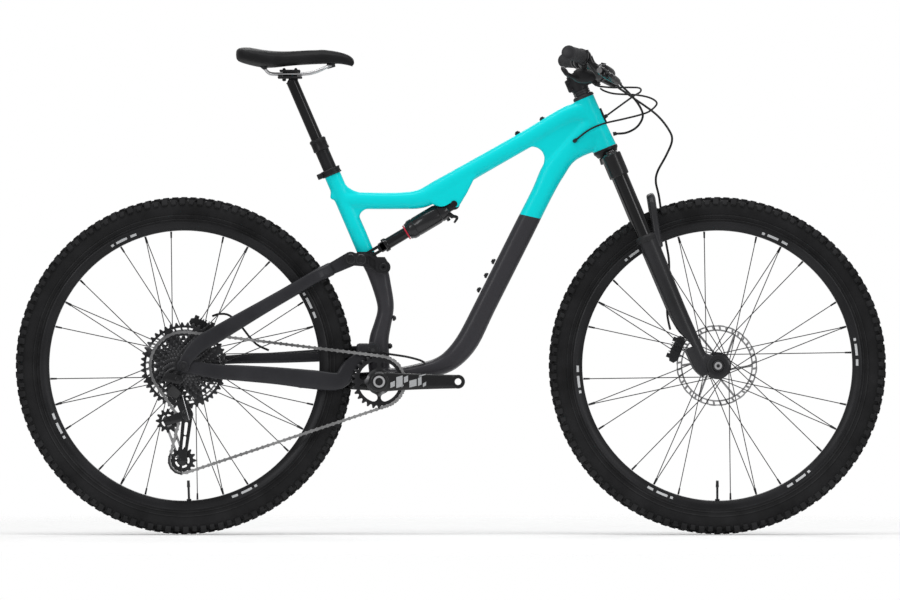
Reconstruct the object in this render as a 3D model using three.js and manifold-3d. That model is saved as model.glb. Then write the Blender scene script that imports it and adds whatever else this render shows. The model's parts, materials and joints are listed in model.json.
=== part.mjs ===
// Full-suspension mountain bike, 29-inch wheels, 120 mm rear and 130 mm front travel.
// Millimetres, +X forward, +Z up, right-hand (drive) side at -Y. The origin lies on the
// ground, midway between the axles, in the middle plane of the frame.
import * as THREE from 'three';
import { mergeVertices } from 'three/addons/utils/BufferGeometryUtils.js';
import Module from 'manifold-3d';

const wasm = await Module();
wasm.setup();

// ---------------------------------------------------------------- driving dimensions
const WHEELBASE = 1183.2;
const TYRE_RADIUS = 374.3;
const TYRE_HALF_WIDTH = 31;
const RIM_INNER_RADIUS = 299.7;
const RIM_OUTER_RADIUS = 317;
const RIM_HALF_WIDTH = 17.5;
const SPOKE_COUNT = 32;
const SPOKE_RADIUS = 1.1;
const REAR_CENTRE = 432.9;
const BB_DROP = 35.1;
const HEAD_TILT = THREE.MathUtils.degToRad(22.7);
const FORK_OFFSET = 44;
const HEAD_TUBE_BOTTOM = 541.4;
const HEAD_TUBE_LENGTH = 120.3;
const STEERER_RADIUS = 14.3;
const STANCHION_RADIUS = 17.3;
const STANCHION_SPACING = 132;
const STANCHION_AHEAD = 6;
const LEG_WALL = 4.2;
const LEG_RADIUS = STANCHION_RADIUS + LEG_WALL;
const LEG_TOP = 327;
const SEAT_TILT = THREE.MathUtils.degToRad(23.4);
const POST_OUTER_RADIUS = 15.45;
const SEAT_TUBE_RADIUS = POST_OUTER_RADIUS + 2.95;
const SEAT_WAIST_HALF_WIDTH = POST_OUTER_RADIUS + 0.95;
const POST_INNER_RADIUS = 13;
const POST_EXPOSED = 88;
const POST_INSERTED = 110;
const DROPPER_DROP = 125;
const BB_SHELL_RADIUS = 25;
const BB_SHELL_HALF_WIDTH = 45;
const SPINDLE_RADIUS = 12;
const PIVOT_BOSS_HALF_WIDTH = 24;
const PIVOT_BOSS_RADIUS = 16;
const PIVOT_EAR_WIDTH = 12;
const PIVOT_AXLE_RADIUS = 7;
const ROCKER_AXLE_RADIUS = 5.5;
const ROCKER_INNER = 29.5;
const ROCKER_THICKNESS = 9;
const CRANK_LENGTH = 174.7;
const CRANK_BOSS_RADIUS = 23.3;
const CRANK_END_RADIUS = 15.5;
const HANDLEBAR_WIDTH = 780;
const BAR_RADIUS = 11.1;
const BAR_CLAMP_RADIUS = 15.9;
const STEM_LENGTH = 44;
const GRIP_RADIUS = 15.5;
const GRIP_LENGTH = 132;
const REAR_DROPOUT_HALF = 74;
const FRONT_DROPOUT_HALF = 55;
const AXLE_RADIUS = 6;
const ROTOR_RADIUS = 90;
const ROTOR_THICKNESS = 1.8;
const CHAIN_PITCH = 12.7;
const RING_TEETH = 28;
const COG_TEETH = [11, 13, 15, 17, 19, 21, 24, 28, 32, 37, 46];
const COG_SPACING = 3.9;
const COG_OUTBOARD = 69.5;
const CHAIN_COG = 9;
const CHAINLINE = 52;
const PULLEY_TEETH = [12, 14];
const HOSE_RADIUS = 2.5;
const HOUSING_RADIUS = 2.1;
const SHOCK_CAN_RADIUS = 22;
const SHOCK_SHAFT_RADIUS = 12.4;

// ---------------------------------------------------------------- named clearances
const FIT = 0.35;
const RUNNING = 0.7;
const TYRE_GAP = 3;
const CHAIN_DEPTH = 3.4;
const CHAIN_WIDTH = 5.4;

// ---------------------------------------------------------------- places
const REAR_AXLE = [-WHEELBASE / 2, TYRE_RADIUS];
const FRONT_AXLE = [WHEELBASE / 2, TYRE_RADIUS];
const BB = [REAR_AXLE[0] + REAR_CENTRE, TYRE_RADIUS - BB_DROP];
const from = (place, dx, dz) => [place[0] + dx, place[1] + dz];
const MAIN_PIVOT = from(BB, -14, 69.7);
const ROCKER_PIVOT = from(BB, 9.3, 253.8);
const STAY_PIVOT = from(BB, -63.1, 271.8);
const YOKE_PIVOT = from(BB, -40.4, 270.6);
const SHOCK_MOUNT = from(BB, 165.8, 393.8);
const SEAT_TOP = from(BB, -103.9, 458.2);
const STEER_FOOT = from(FRONT_AXLE, -FORK_OFFSET * Math.cos(HEAD_TILT), -FORK_OFFSET * Math.sin(HEAD_TILT));
const STEERER_BORE = STEERER_RADIUS + 1.5;
const HEAD_TUBE_TOP = HEAD_TUBE_BOTTOM + HEAD_TUBE_LENGTH;

// A place given ahead of and along the steering axis, turned into the bike's own X and Z.
function steer(ahead, up) {
  const x = STEER_FOOT[0] + ahead * Math.cos(HEAD_TILT) - up * Math.sin(HEAD_TILT);
  const z = STEER_FOOT[1] + ahead * Math.sin(HEAD_TILT) + up * Math.cos(HEAD_TILT);
  return [x, z];
}

// A place given behind and up the seat tube's axis from its top.
function seat(ahead, up) {
  const x = SEAT_TOP[0] + ahead * Math.cos(SEAT_TILT) - up * Math.sin(SEAT_TILT);
  const z = SEAT_TOP[1] + ahead * Math.sin(SEAT_TILT) + up * Math.cos(SEAT_TILT);
  return [x, z];
}

const ACROSS = new THREE.Vector3(0, 1, 0);
const mix = (a, b, t) => [a[0] + (b[0] - a[0]) * t, a[1] + (b[1] - a[1]) * t];
// The corner radius that gives a many-sided bore this much room on its flats.
const roomy = (radius, sides) => radius / Math.cos(Math.PI / sides);
const pitchRadius = (teeth) => CHAIN_PITCH / (2 * Math.sin(Math.PI / teeth));

// ---------------------------------------------------------------- solids
function tidy(geometry) {
  const bare = geometry.clone();
  for (const name of Object.keys(bare.attributes)) {
    if (name !== 'position') bare.deleteAttribute(name);
  }
  const merged = mergeVertices(bare, 1e-3);
  const kept = [];
  const index = merged.index.array;
  for (let i = 0; i < index.length; i += 3) {
    const [a, b, c] = [index[i], index[i + 1], index[i + 2]];
    if (a !== b && b !== c && c !== a) kept.push(a, b, c);
  }
  merged.setIndex(kept);
  return outward(merged);
}

// Turns the faces of an inside-out closed mesh round, going by the sign of its volume.
function outward(geometry) {
  const [a, b, c] = [new THREE.Vector3(), new THREE.Vector3(), new THREE.Vector3()];
  const { position } = geometry.attributes;
  const index = geometry.index.array;
  let volume = 0;
  for (let i = 0; i < index.length; i += 3) {
    a.fromBufferAttribute(position, index[i]);
    b.fromBufferAttribute(position, index[i + 1]);
    c.fromBufferAttribute(position, index[i + 2]);
    volume += a.dot(b.cross(c));
  }
  if (volume < 0) {
    for (let i = 0; i < index.length; i += 3) [index[i], index[i + 1]] = [index[i + 1], index[i]];
  }
  return geometry;
}

function solid(geometry) {
  const bare = tidy(geometry);
  const vertProperties = new Float32Array(bare.attributes.position.array);
  const triVerts = new Uint32Array(bare.index.array);
  return new wasm.Manifold(new wasm.Mesh({ numProp: 3, vertProperties, triVerts }));
}

function surface(manifold) {
  const mesh = manifold.getMesh();
  const geometry = new THREE.BufferGeometry();
  geometry.setAttribute('position', new THREE.BufferAttribute(mesh.vertProperties, 3));
  geometry.setIndex(new THREE.BufferAttribute(mesh.triVerts, 1));
  return geometry;
}

const join = (...pieces) => surface(pieces.map(solid).reduce((a, b) => a.add(b)));
const cut = (piece, ...tools) => surface(tools.map(solid).reduce((a, b) => a.subtract(b), solid(piece)));

function mirrored(geometry) {
  return outward(tidy(geometry).scale(1, -1, 1));
}

// A round bar, tube or disc across the bike, between two stations of Y.
function cross(place, radius, y0, y1, sides = 20) {
  const bar = new THREE.CylinderGeometry(radius, radius, y1 - y0, sides);
  bar.rotateY(Math.PI / sides);
  return bar.translate(place[0], (y0 + y1) / 2, place[1]);
}

// A round bar between two points.
function rod(a, b, radius, sides = 12, endRadius = radius) {
  const start = new THREE.Vector3(...a);
  const along = new THREE.Vector3(...b).sub(start);
  const bar = new THREE.CylinderGeometry(endRadius, radius, along.length(), sides);
  const turn = new THREE.Quaternion().setFromUnitVectors(ACROSS, along.clone().normalize());
  bar.applyQuaternion(turn);
  return bar.translate(...start.addScaledVector(along, 0.5));
}

function block(x0, x1, y0, y1, z0, z1) {
  const box = new THREE.BoxGeometry(x1 - x0, y1 - y0, z1 - z0);
  return box.translate((x0 + x1) / 2, (y0 + y1) / 2, (z0 + z1) / 2);
}

// A side outline in X and Z, given thickness across the bike.
function plate(outline, y0, y1) {
  const shape = new THREE.Shape(outline.map((p) => new THREE.Vector2(...p)));
  const slab = new THREE.ExtrudeGeometry(shape, { depth: y1 - y0, bevelEnabled: false });
  slab.rotateX(Math.PI / 2);
  return slab.translate(0, y1, 0);
}

// A bar outline with a round end about each of two places.
function strap(a, ra, b, rb, segments = 6) {
  const along = Math.atan2(b[1] - a[1], b[0] - a[0]);
  const length = Math.hypot(b[0] - a[0], b[1] - a[1]);
  const lean = Math.acos((ra - rb) / length);
  const points = [];
  for (let i = 0; i <= segments; i++) {
    const angle = along + lean + ((2 * Math.PI - 2 * lean) * i) / segments;
    points.push([a[0] + ra * Math.cos(angle), a[1] + ra * Math.sin(angle)]);
  }
  for (let i = 0; i <= segments; i++) {
    const angle = along - lean + (2 * lean * i) / segments;
    points.push([b[0] + rb * Math.cos(angle), b[1] + rb * Math.sin(angle)]);
  }
  return points;
}

// A tube whose section changes along its way. A station is [x, y, z, half depth, half width];
// the width lies along the given direction, which is across the bike unless one is named.
function loft(stations, sides = 14, steps = stations.length * 2, squareness = 2.5, across = ACROSS) {
  const centre = new THREE.CatmullRomCurve3(stations.map((s) => new THREE.Vector3(s[0], s[1], s[2])));
  const section = new THREE.CatmullRomCurve3(stations.map((s) => new THREE.Vector3(s[3], s[4], 0)));
  const tube = new THREE.CylinderGeometry(1, 1, 1, sides, steps);
  const position = tube.attributes.position;
  const power = 2 / squareness;
  for (let i = 0; i < position.count; i++) {
    const t = Math.min(Math.max(position.getY(i) + 0.5, 0), 1);
    const size = section.getPoint(t);
    const ahead = centre.getTangent(t);
    const deep = new THREE.Vector3().crossVectors(ahead, across).normalize();
    const wide = new THREE.Vector3().crossVectors(deep, ahead).normalize();
    const [u, v] = [position.getX(i), position.getZ(i)];
    const place = centre.getPoint(t);
    place.addScaledVector(deep, Math.sign(u) * Math.abs(u) ** power * size.x);
    place.addScaledVector(wide, Math.sign(v) * Math.abs(v) ** power * size.y);
    position.setXYZ(i, place.x, place.y, place.z);
  }
  return tube;
}

// A hose or housing of one thickness through hand-chosen points.
function hose(points, radius, steps) {
  const route = new THREE.CatmullRomCurve3(points.map((p) => new THREE.Vector3(...p)), false, 'centripetal');
  const section = new THREE.Shape();
  for (let i = 0; i < 8; i++) {
    const angle = (Math.PI * (i + 0.5)) / 4;
    const corner = [radius * Math.cos(angle), radius * Math.sin(angle)];
    if (i === 0) section.moveTo(...corner);
    else section.lineTo(...corner);
  }
  return new THREE.ExtrudeGeometry(section, { steps, extrudePath: route, bevelEnabled: false });
}

// A turned ring or disc about a cross axle: profile points are [radius, y].
function turned(place, profile, segments) {
  const ring = new THREE.LatheGeometry(profile.map((p) => new THREE.Vector2(p[0], p[1])), segments);
  ring.rotateY(Math.PI / segments);
  return ring.translate(place[0], 0, place[1]);
}
const closed = (profile) => [...profile, profile[0]];

// ---------------------------------------------------------------- finishes and nodes
const FINISHES = {
  teal: [0x00cdd4, 0.28, 0.0],
  carbon: [0x34343a, 0.45, 0.0],
  black: [0x1d1d20, 0.5, 0.2],
  darkMetal: [0x2a2a2e, 0.4, 0.8],
  steel: [0x9a9ca0, 0.3, 0.9],
  rubber: [0x232325, 0.85, 0.0],
  padding: [0x2c2c30, 0.7, 0.0],
};
const bike = new THREE.Group();
const steering = new THREE.Group();
steering.position.set(STEER_FOOT[0], 0, STEER_FOOT[1]);
steering.rotation.y = -HEAD_TILT;
const seatPost = new THREE.Group();
seatPost.position.set(SEAT_TOP[0], 0, SEAT_TOP[1]);
seatPost.rotation.y = -SEAT_TILT;
bike.add(steering, seatPost);

function add(group, name, geometry, finish) {
  const [color, roughness, metalness] = FINISHES[finish];
  const mesh = new THREE.Mesh(geometry, new THREE.MeshStandardMaterial({ color, roughness, metalness }));
  mesh.name = name;
  group.add(mesh);
  return mesh;
}

// ---------------------------------------------------------------- main frame
function shockGusset() {
  const outline = [[-60, 758], [-13, 724], [18, 727], [51.7, 790], [30, 812]];
  const cheeks = plate(outline.map(([x, z]) => from(SHOCK_MOUNT, x - 7.1, z - 733)), -25, 25);
  const eyeSlot = cross(SHOCK_MOUNT, SHOCK_CAN_RADIUS + 4, -15, 15, 12);
  const wayOut = rod(
    [SHOCK_MOUNT[0], 0, SHOCK_MOUNT[1]],
    [YOKE_PIVOT[0], 0, YOKE_PIVOT[1]],
    SHOCK_CAN_RADIUS + 4, 12,
  );
  return cut(cheeks, eyeSlot, wayOut);
}

function mainFrame() {
  const headLow = steer(0, HEAD_TUBE_BOTTOM);
  const headHigh = steer(0, HEAD_TUBE_TOP);
  const headTube = loft([
    [headLow[0], 0, headLow[1], 27, 27],
    [...at3(steer(0, HEAD_TUBE_BOTTOM + HEAD_TUBE_LENGTH / 2)), 24, 25],
    [headHigh[0], 0, headHigh[1], 22.7, 24],
  ], 16, 2, 2);
  const bend = from(SHOCK_MOUNT, -73, 12);
  const rise = from(SHOCK_MOUNT, 7, 56);
  const collar = steer(-44, HEAD_TUBE_BOTTOM + 99);
  const neck = steer(-6, HEAD_TUBE_BOTTOM + 86);
  const topTube = loft([
    [...at3(seat(0, -60)), 17.5, 18],
    [...at3(from(SEAT_TOP, 72, -57)), 18.3, 19],
    [...at3(from(SEAT_TOP, 150, -57)), 18.3, 21],
    [...at3(bend), 21, 24],
    [...at3(from(SHOCK_MOUNT, -30, 33)), 23, 25],
    [...at3(rise), 20.5, 25],
    [...at3(mix(rise, collar, 0.33)), 19.5, 24],
    [...at3(mix(rise, collar, 0.66)), 19.5, 23],
    [...at3(collar), 21, 23],
    [...at3(neck), 26, 22],
  ], 10, 11);
  const throat = steer(-8, HEAD_TUBE_BOTTOM + 44);
  const shoulder = steer(-124, HEAD_TUBE_BOTTOM - 1);
  const belly = from(BB, 197.2, 91.8);
  const downTube = loft([
    [...at3(from(BB, 6, 8)), 20, 36],
    [...at3(from(BB, 50, 15)), 17, 36],
    [...at3(from(BB, 92, 23)), 18, 34],
    [...at3(from(BB, 132, 33)), 20, 32],
    [...at3(from(BB, 164, 52)), 23, 30],
    [...at3(belly), 25, 29],
    [...at3(mix(belly, shoulder, 0.19)), 23.5, 29],
    [...at3(mix(belly, shoulder, 0.47)), 23.5, 29],
    [...at3(mix(belly, shoulder, 0.66)), 23.5, 28],
    [...at3(mix(belly, shoulder, 0.86)), 23, 27],
    [...at3(shoulder), 26, 26],
    [...at3(steer(-76, HEAD_TUBE_BOTTOM + 25)), 25, 25],
    [...at3(throat), 44, 24],
  ], 10, 14);
  const web = plate([
    steer(-164.8, HEAD_TUBE_BOTTOM + 64.8),
    steer(-143.8, HEAD_TUBE_BOTTOM + 65.8),
    steer(-130, HEAD_TUBE_BOTTOM + 47),
    steer(-131.5, HEAD_TUBE_BOTTOM + 30.4),
    steer(-142.3, HEAD_TUBE_BOTTOM + 17.5),
    shoulder,
    steer(-76, HEAD_TUBE_BOTTOM + 25),
    steer(-20, HEAD_TUBE_BOTTOM + 40),
    steer(-20, HEAD_TUBE_BOTTOM + 90),
    collar,
    mix(rise, collar, 0.6),
  ], -18, 18);
  const seatTube = loft([
    [...at3(seat(0, 0)), SEAT_TUBE_RADIUS, SEAT_TUBE_RADIUS],
    [...at3(seat(0, -60)), SEAT_TUBE_RADIUS, SEAT_TUBE_RADIUS],
    [...at3(seat(0, -118)), SEAT_TUBE_RADIUS, SEAT_TUBE_RADIUS],
    [...at3(seat(0, -145)), SEAT_TUBE_RADIUS, SEAT_WAIST_HALF_WIDTH],
    [...at3(seat(0, -205)), SEAT_TUBE_RADIUS, SEAT_WAIST_HALF_WIDTH],
    [...at3(from(BB, -4.8, 244.8)), 23.5, SEAT_WAIST_HALF_WIDTH + 0.6],
    [...at3(from(BB, 5.7, 209.8)), 21, 20],
    [...at3(from(BB, 13.5, 173.8)), 18.7, 22],
    [...at3(from(BB, 12.7, 150)), 18, 22],
    [...at3(from(BB, 5.7, 120.8)), 19.5, 23],
    [...at3(from(BB, -1, 90)), 22, PIVOT_BOSS_HALF_WIDTH],
    [...at3(from(BB, -1, 40)), 24, PIVOT_BOSS_HALF_WIDTH],
    [...at3(from(BB, 0, 4)), 20, 30],
  ], 10, 13);
  const shell = cross(BB, BB_SHELL_RADIUS, -BB_SHELL_HALF_WIDTH, BB_SHELL_HALF_WIDTH, 20);
  const boss = cross(MAIN_PIVOT, PIVOT_BOSS_RADIUS, -PIVOT_BOSS_HALF_WIDTH, PIVOT_BOSS_HALF_WIDTH, 16);
  const rockerBoss = cross(ROCKER_PIVOT, 12, -(ROCKER_INNER - RUNNING), ROCKER_INNER - RUNNING, 16);
  const body = join(headTube, topTube, downTube, web, seatTube, shell, boss, rockerBoss, shockGusset());
  const steererBore = rod(
    [...at3(steer(0, HEAD_TUBE_BOTTOM - 5))],
    [...at3(steer(0, HEAD_TUBE_TOP + 5))],
    STEERER_BORE, 12,
  );
  const postBore = rod(
    [...at3(seat(0, -POST_INSERTED - 4))],
    [...at3(seat(0, 5))],
    roomy(POST_OUTER_RADIUS + FIT, 12), 12,
  );
  const shellBore = cross(BB, SPINDLE_RADIUS + 7, -BB_SHELL_HALF_WIDTH - 1, BB_SHELL_HALF_WIDTH + 1, 20);
  const bossHalf = PIVOT_BOSS_HALF_WIDTH + 1;
  const pivotBore = cross(MAIN_PIVOT, PIVOT_AXLE_RADIUS + FIT, -bossHalf, bossHalf, 12);
  const rockerBore = cross(ROCKER_PIVOT, ROCKER_AXLE_RADIUS + FIT, -ROCKER_INNER, ROCKER_INNER, 12);
  const underHead = inSteering(block(-60, 60, -60, 60, HEAD_TUBE_BOTTOM - 70, HEAD_TUBE_BOTTOM));
  const overHead = inSteering(block(-45, 60, -60, 60, HEAD_TUBE_TOP, HEAD_TUBE_TOP + 60));
  const seatCollar = rod(at3(seat(0, 0)), at3(seat(0, 30)), 26, 12);
  const squeezedYoke = from(YOKE_PIVOT, -6.8, 12.2);
  const shockRoom = rod(at3(SHOCK_MOUNT), at3(mix(SHOCK_MOUNT, squeezedYoke, 0.55)), SHOCK_CAN_RADIUS + 1.5, 16);
  return cut(
    body,
    underHead, overHead, seatCollar, shockRoom,
    steererBore, postBore, shellBore, pivotBore, rockerBore,
  );
}

function inSteering(geometry) {
  return geometry.rotateY(-HEAD_TILT).translate(STEER_FOOT[0], 0, STEER_FOOT[1]);
}

function at3(place, y = 0) {
  return [place[0], y, place[1]];
}

add(bike, 'main_frame', mainFrame(), 'teal');

// A ring turned about the group's own Z axis: profile points are [radius, z].
function upright(profile, segments = 24) {
  return new THREE.LatheGeometry(profile.map((p) => new THREE.Vector2(...p)), segments).rotateX(Math.PI / 2);
}

const UPPER_CUP_HEIGHT = 8;
const LOWER_CUP_HEIGHT = 16;
const upperCupLow = HEAD_TUBE_TOP + FIT;
const upperCupHigh = upperCupLow + UPPER_CUP_HEIGHT;
add(steering, 'headset_upper_cup', upright(closed([
  [STEERER_BORE, upperCupLow],
  [24, upperCupLow],
  [23, upperCupHigh - 2],
  [19.5, upperCupHigh],
  [STEERER_BORE, upperCupHigh],
]), 16), 'black');
const lowerCupHigh = HEAD_TUBE_BOTTOM - FIT;
const lowerCupLow = lowerCupHigh - LOWER_CUP_HEIGHT;
add(steering, 'headset_lower_cup', upright(closed([
  [STEERER_BORE, lowerCupLow],
  [22, lowerCupLow],
  [28, lowerCupHigh - 6],
  [28, lowerCupHigh],
  [STEERER_BORE, lowerCupHigh],
]), 16), 'black');

// ---------------------------------------------------------------- seat clamp, dropper post
add(seatPost, 'seat_clamp', (() => {
  const bore = POST_OUTER_RADIUS + FIT;
  const collar = upright(closed([[bore, FIT], [22, FIT], [22, 15], [bore, 15]]), 16);
  const lug = block(-36, -18, -7, 7, 2, 14);
  const slot = block(-40, -bore + 4, -0.8, 0.8, 0, 16);
  const inside = upright([[0, -1], [bore, -1], [bore, 17], [0, 17]]);
  return cut(join(collar, lug), slot, inside);
})(), 'black');

const postBottom = -POST_INSERTED;
const sleeve = POST_INNER_RADIUS + FIT;
add(seatPost, 'dropper_outer_tube', upright(closed([
  [sleeve, postBottom],
  [POST_OUTER_RADIUS, postBottom],
  [POST_OUTER_RADIUS, POST_EXPOSED - 28],
  [18.6, POST_EXPOSED - 26],
  [18.6, POST_EXPOSED - 3],
  [16.5, POST_EXPOSED],
  [sleeve, POST_EXPOSED],
]), 16), 'black');

const POST_OVERLAP = 36;
const postHead = POST_EXPOSED + DROPPER_DROP + 13;
add(seatPost, 'dropper_inner_tube', upright([
  [0, POST_EXPOSED - POST_OVERLAP],
  [POST_INNER_RADIUS, POST_EXPOSED - POST_OVERLAP],
  [POST_INNER_RADIUS, postHead],
  [0, postHead],
], 16), 'darkMetal');

// ---------------------------------------------------------------- saddle
const SADDLE = from(SEAT_TOP, -94.4, 224.2);
const RAIL_RADIUS = 3.5;
const RAIL_SPACING = 44;
add(bike, 'rail_clamp', (() => {
  const half = RAIL_SPACING / 2;
  const [x, z] = SADDLE;
  const cradle = block(x - 20, x + 20, -half - 7, half + 7, z - 10, z - RAIL_RADIUS - FIT - 1);
  const lid = block(x - 17, x + 17, -half - 7, half + 7, z + RAIL_RADIUS + FIT + 1, z + 9.5);
  const core = block(x - 16, x + 16, -half + RAIL_RADIUS + 2, half - RAIL_RADIUS - 2, z - 9, z + 9);
  const top = seat(0, postHead + FIT);
  const foot = rod(at3(top), at3(seat(0, postHead + 12)), POST_INNER_RADIUS + 1, 20);
  const level = block(x - 60, x + 60, -40, 40, z - 3, z + 40);
  return join(cradle, lid, core, cut(foot, level));
})(), 'black');

add(bike, 'saddle_rails', (() => {
  const half = RAIL_SPACING / 2;
  const side = [
    [-59, half + 12, 16],
    [-50, half + 6, 5],
    [-38, half, 0],
    [0, half, 0],
    [36, half, 0.5],
    [60, half - 2, 6],
    [84, 12, 17],
  ].map(([dx, y, dz]) => [SADDLE[0] + dx, y, SADDLE[1] + dz]);
  const nose = [SADDLE[0] + 92, 0, SADDLE[1] + 20];
  const other = side.map(([x, y, z]) => [x, -y, z]).reverse();
  return hose([...side, nose, ...other], RAIL_RADIUS, 24);
})(), 'steel');

add(bike, 'saddle', loft([
  [-118, 0, 46, 10, 50],
  [-108, 0, 47, 13, 66],
  [-85, 0, 44, 15, 71],
  [-50, 0, 40, 14, 66],
  [-15, 0, 37, 13, 50],
  [25, 0, 38, 13, 34],
  [65, 0, 39, 13, 26],
  [105, 0, 38, 13, 22],
  [130, 0, 32, 12, 19],
  [143, 0, 27, 8, 12],
].map(([dx, y, dz, h, w]) => [SADDLE[0] + dx, y, SADDLE[1] + dz, h, w]), 12, 12, 2.6), 'padding');

// ---------------------------------------------------------------- pivots and bearings
add(bike, 'bottom_bracket', turned(BB, closed([
  [SPINDLE_RADIUS + RUNNING, -BB_SHELL_HALF_WIDTH - 3],
  [22, -BB_SHELL_HALF_WIDTH - 3],
  [22, -BB_SHELL_HALF_WIDTH - FIT],
  [SPINDLE_RADIUS + 7 - FIT, -BB_SHELL_HALF_WIDTH - FIT],
  [SPINDLE_RADIUS + 7 - FIT, BB_SHELL_HALF_WIDTH + FIT],
  [22, BB_SHELL_HALF_WIDTH + FIT],
  [22, BB_SHELL_HALF_WIDTH + 3],
  [SPINDLE_RADIUS + RUNNING, BB_SHELL_HALF_WIDTH + 3],
]), 20), 'darkMetal');

const earInner = PIVOT_BOSS_HALF_WIDTH + RUNNING;
const earOuter = earInner + PIVOT_EAR_WIDTH;
function hollowAxle(place, radius, bore, half, headRadius, head) {
  return turned(place, closed([
    [bore, -half - head],
    [headRadius, -half - head],
    [headRadius, -half],
    [radius, -half],
    [radius, half],
    [headRadius, half],
    [headRadius, half + head],
    [bore, half + head],
  ]), 10);
}
const mainAxle = hollowAxle(MAIN_PIVOT, PIVOT_AXLE_RADIUS, 3, earOuter + RUNNING, 11, 2.5);
add(bike, 'main_pivot_axle', mainAxle, 'black');
const rockerOuter = ROCKER_INNER + ROCKER_THICKNESS;
const rockerAxle = hollowAxle(ROCKER_PIVOT, ROCKER_AXLE_RADIUS, 2.6, rockerOuter + RUNNING, 9, 2);
add(bike, 'rocker_pivot_axle', rockerAxle, 'black');

// ---------------------------------------------------------------- rocker link
// Two plates, one each side of the seat tube. Each carries a short pin for the seatstay's ear,
// so that nothing crosses the middle while the stays pass the tube.
const STAY_PIN_RADIUS = 5;
const STAY_PIN_PLAY = 6.5;
const EAR_INNER = SEAT_WAIST_HALF_WIDTH + 1;
const EAR_OUTER = SEAT_TUBE_RADIUS + 2.9;
const rockerPlate = (() => {
  const body = plate([
    from(ROCKER_PIVOT, 13.6, 15.5),
    from(ROCKER_PIVOT, 3, 22.5),
    from(YOKE_PIVOT, 0, 14.7),
    from(STAY_PIVOT, -7, 13.5),
    from(STAY_PIVOT, -14.5, 2),
    from(STAY_PIVOT, -9, -12),
    from(STAY_PIVOT, 2, -15.5),
    from(YOKE_PIVOT, 4, -15),
    from(ROCKER_PIVOT, -8, -12),
    from(ROCKER_PIVOT, 8, -12.5),
    from(ROCKER_PIVOT, 14.4, 1),
  ], ROCKER_INNER, rockerOuter);
  const pin = cross(STAY_PIVOT, STAY_PIN_RADIUS, EAR_INNER + 0.2, ROCKER_INNER + 1, 16);
  const pinHole = cross(STAY_PIVOT, 2.6, -rockerOuter - 1, rockerOuter + 1, 12);
  const axleHole = cross(ROCKER_PIVOT, ROCKER_AXLE_RADIUS + FIT, -rockerOuter - 1, rockerOuter + 1, 16);
  return cut(join(body, pin), pinHole, axleHole);
})();
add(bike, 'rocker_link_left', rockerPlate, 'black');
add(bike, 'rocker_link_right', mirrored(rockerPlate), 'black');

// ---------------------------------------------------------------- rear stays
const stayInner = REAR_DROPOUT_HALF + 0.5;
const STAY_END = 5.6;
const seatStayInner = stayInner + STAY_END + RUNNING;
const chainStayMid = stayInner + STAY_END / 2;
const seatStayMid = seatStayInner + STAY_END / 2;
const tyreSide = TYRE_HALF_WIDTH + TYRE_GAP;

add(bike, 'chainstay', (() => {
  const right = loft([
    [...at3(from(MAIN_PIVOT, -16, -8), -31), 13, 6],
    [...at3(from(BB, -66, 32), -tyreSide - 6.5), 17, 6.5],
    [...at3(from(BB, -88, 2), -tyreSide - 8), 19, 8],
    [...at3(from(BB, -145, 4.3), -tyreSide - 15), 21, 8],
    [...at3(from(BB, -225, 12.8), -tyreSide - 21), 19, 8],
    [...at3(from(REAR_AXLE, 130, -16.3), -68), 17.5, 7],
    [...at3(from(REAR_AXLE, 70, -12), -chainStayMid), 16, 3.2],
    [...at3(from(REAR_AXLE, 0, 0), -chainStayMid), 14, STAY_END / 2],
  ], 8, 11, 3);
  const left = loft([
    [...at3(from(MAIN_PIVOT, -12, -4), 31), 13, 6],
    [...at3(from(BB, -66, 63), tyreSide + 7), 15, 7],
    [...at3(from(BB, -121, 58.3), tyreSide + 12), 14, 8],
    [...at3(from(BB, -225, 52.8), tyreSide + 24), 12, 8],
    [...at3(from(REAR_AXLE, 92, 12.7), 74), 9.5, 5],
    [...at3(from(REAR_AXLE, 50, 6), chainStayMid), 11, 3.2],
    [...at3(from(REAR_AXLE, 0, 0), chainStayMid), 14, STAY_END / 2],
  ], 8, 11, 3);
  const dropoutRound = (mid) => cross(REAR_AXLE, 16, mid - STAY_END / 2, mid + STAY_END / 2);
  const ends = [-chainStayMid, chainStayMid].map(dropoutRound);
  const ears = cross(MAIN_PIVOT, PIVOT_BOSS_RADIUS + 1, -earOuter, earOuter, 20);
  const [px, pz] = MAIN_PIVOT;
  const bridge = block(px - 37, px - 7, -earOuter, earOuter, pz - 14, pz + 15);
  const between = block(px - PIVOT_BOSS_RADIUS - 2, px + 40, -earInner, earInner, pz - 40, pz + 40);
  const pivotBore = cross(MAIN_PIVOT, PIVOT_AXLE_RADIUS + FIT, -earOuter - 1, earOuter + 1, 16);
  const axleBore = cross(REAR_AXLE, AXLE_RADIUS + FIT, -REAR_DROPOUT_HALF - 20, REAR_DROPOUT_HALF + 20, 16);
  const hubRoom = cross(REAR_AXLE, 40, -stayInner, stayInner, 24);
  return cut(join(right, left, ...ends, ears, bridge), between, pivotBore, axleBore, hubRoom);
})(), 'carbon');

add(bike, 'rear_axle', turned(REAR_AXLE, closed([
  [2.6, -seatStayInner - STAY_END - 4],
  [10, -seatStayInner - STAY_END - 4],
  [10, -seatStayInner - STAY_END - RUNNING],
  [AXLE_RADIUS, -seatStayInner - STAY_END - RUNNING],
  [AXLE_RADIUS, seatStayInner + STAY_END + RUNNING],
  [10, seatStayInner + STAY_END + RUNNING],
  [10, seatStayInner + STAY_END + 4],
  [2.6, seatStayInner + STAY_END + 4],
]), 12), 'darkMetal');

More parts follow.
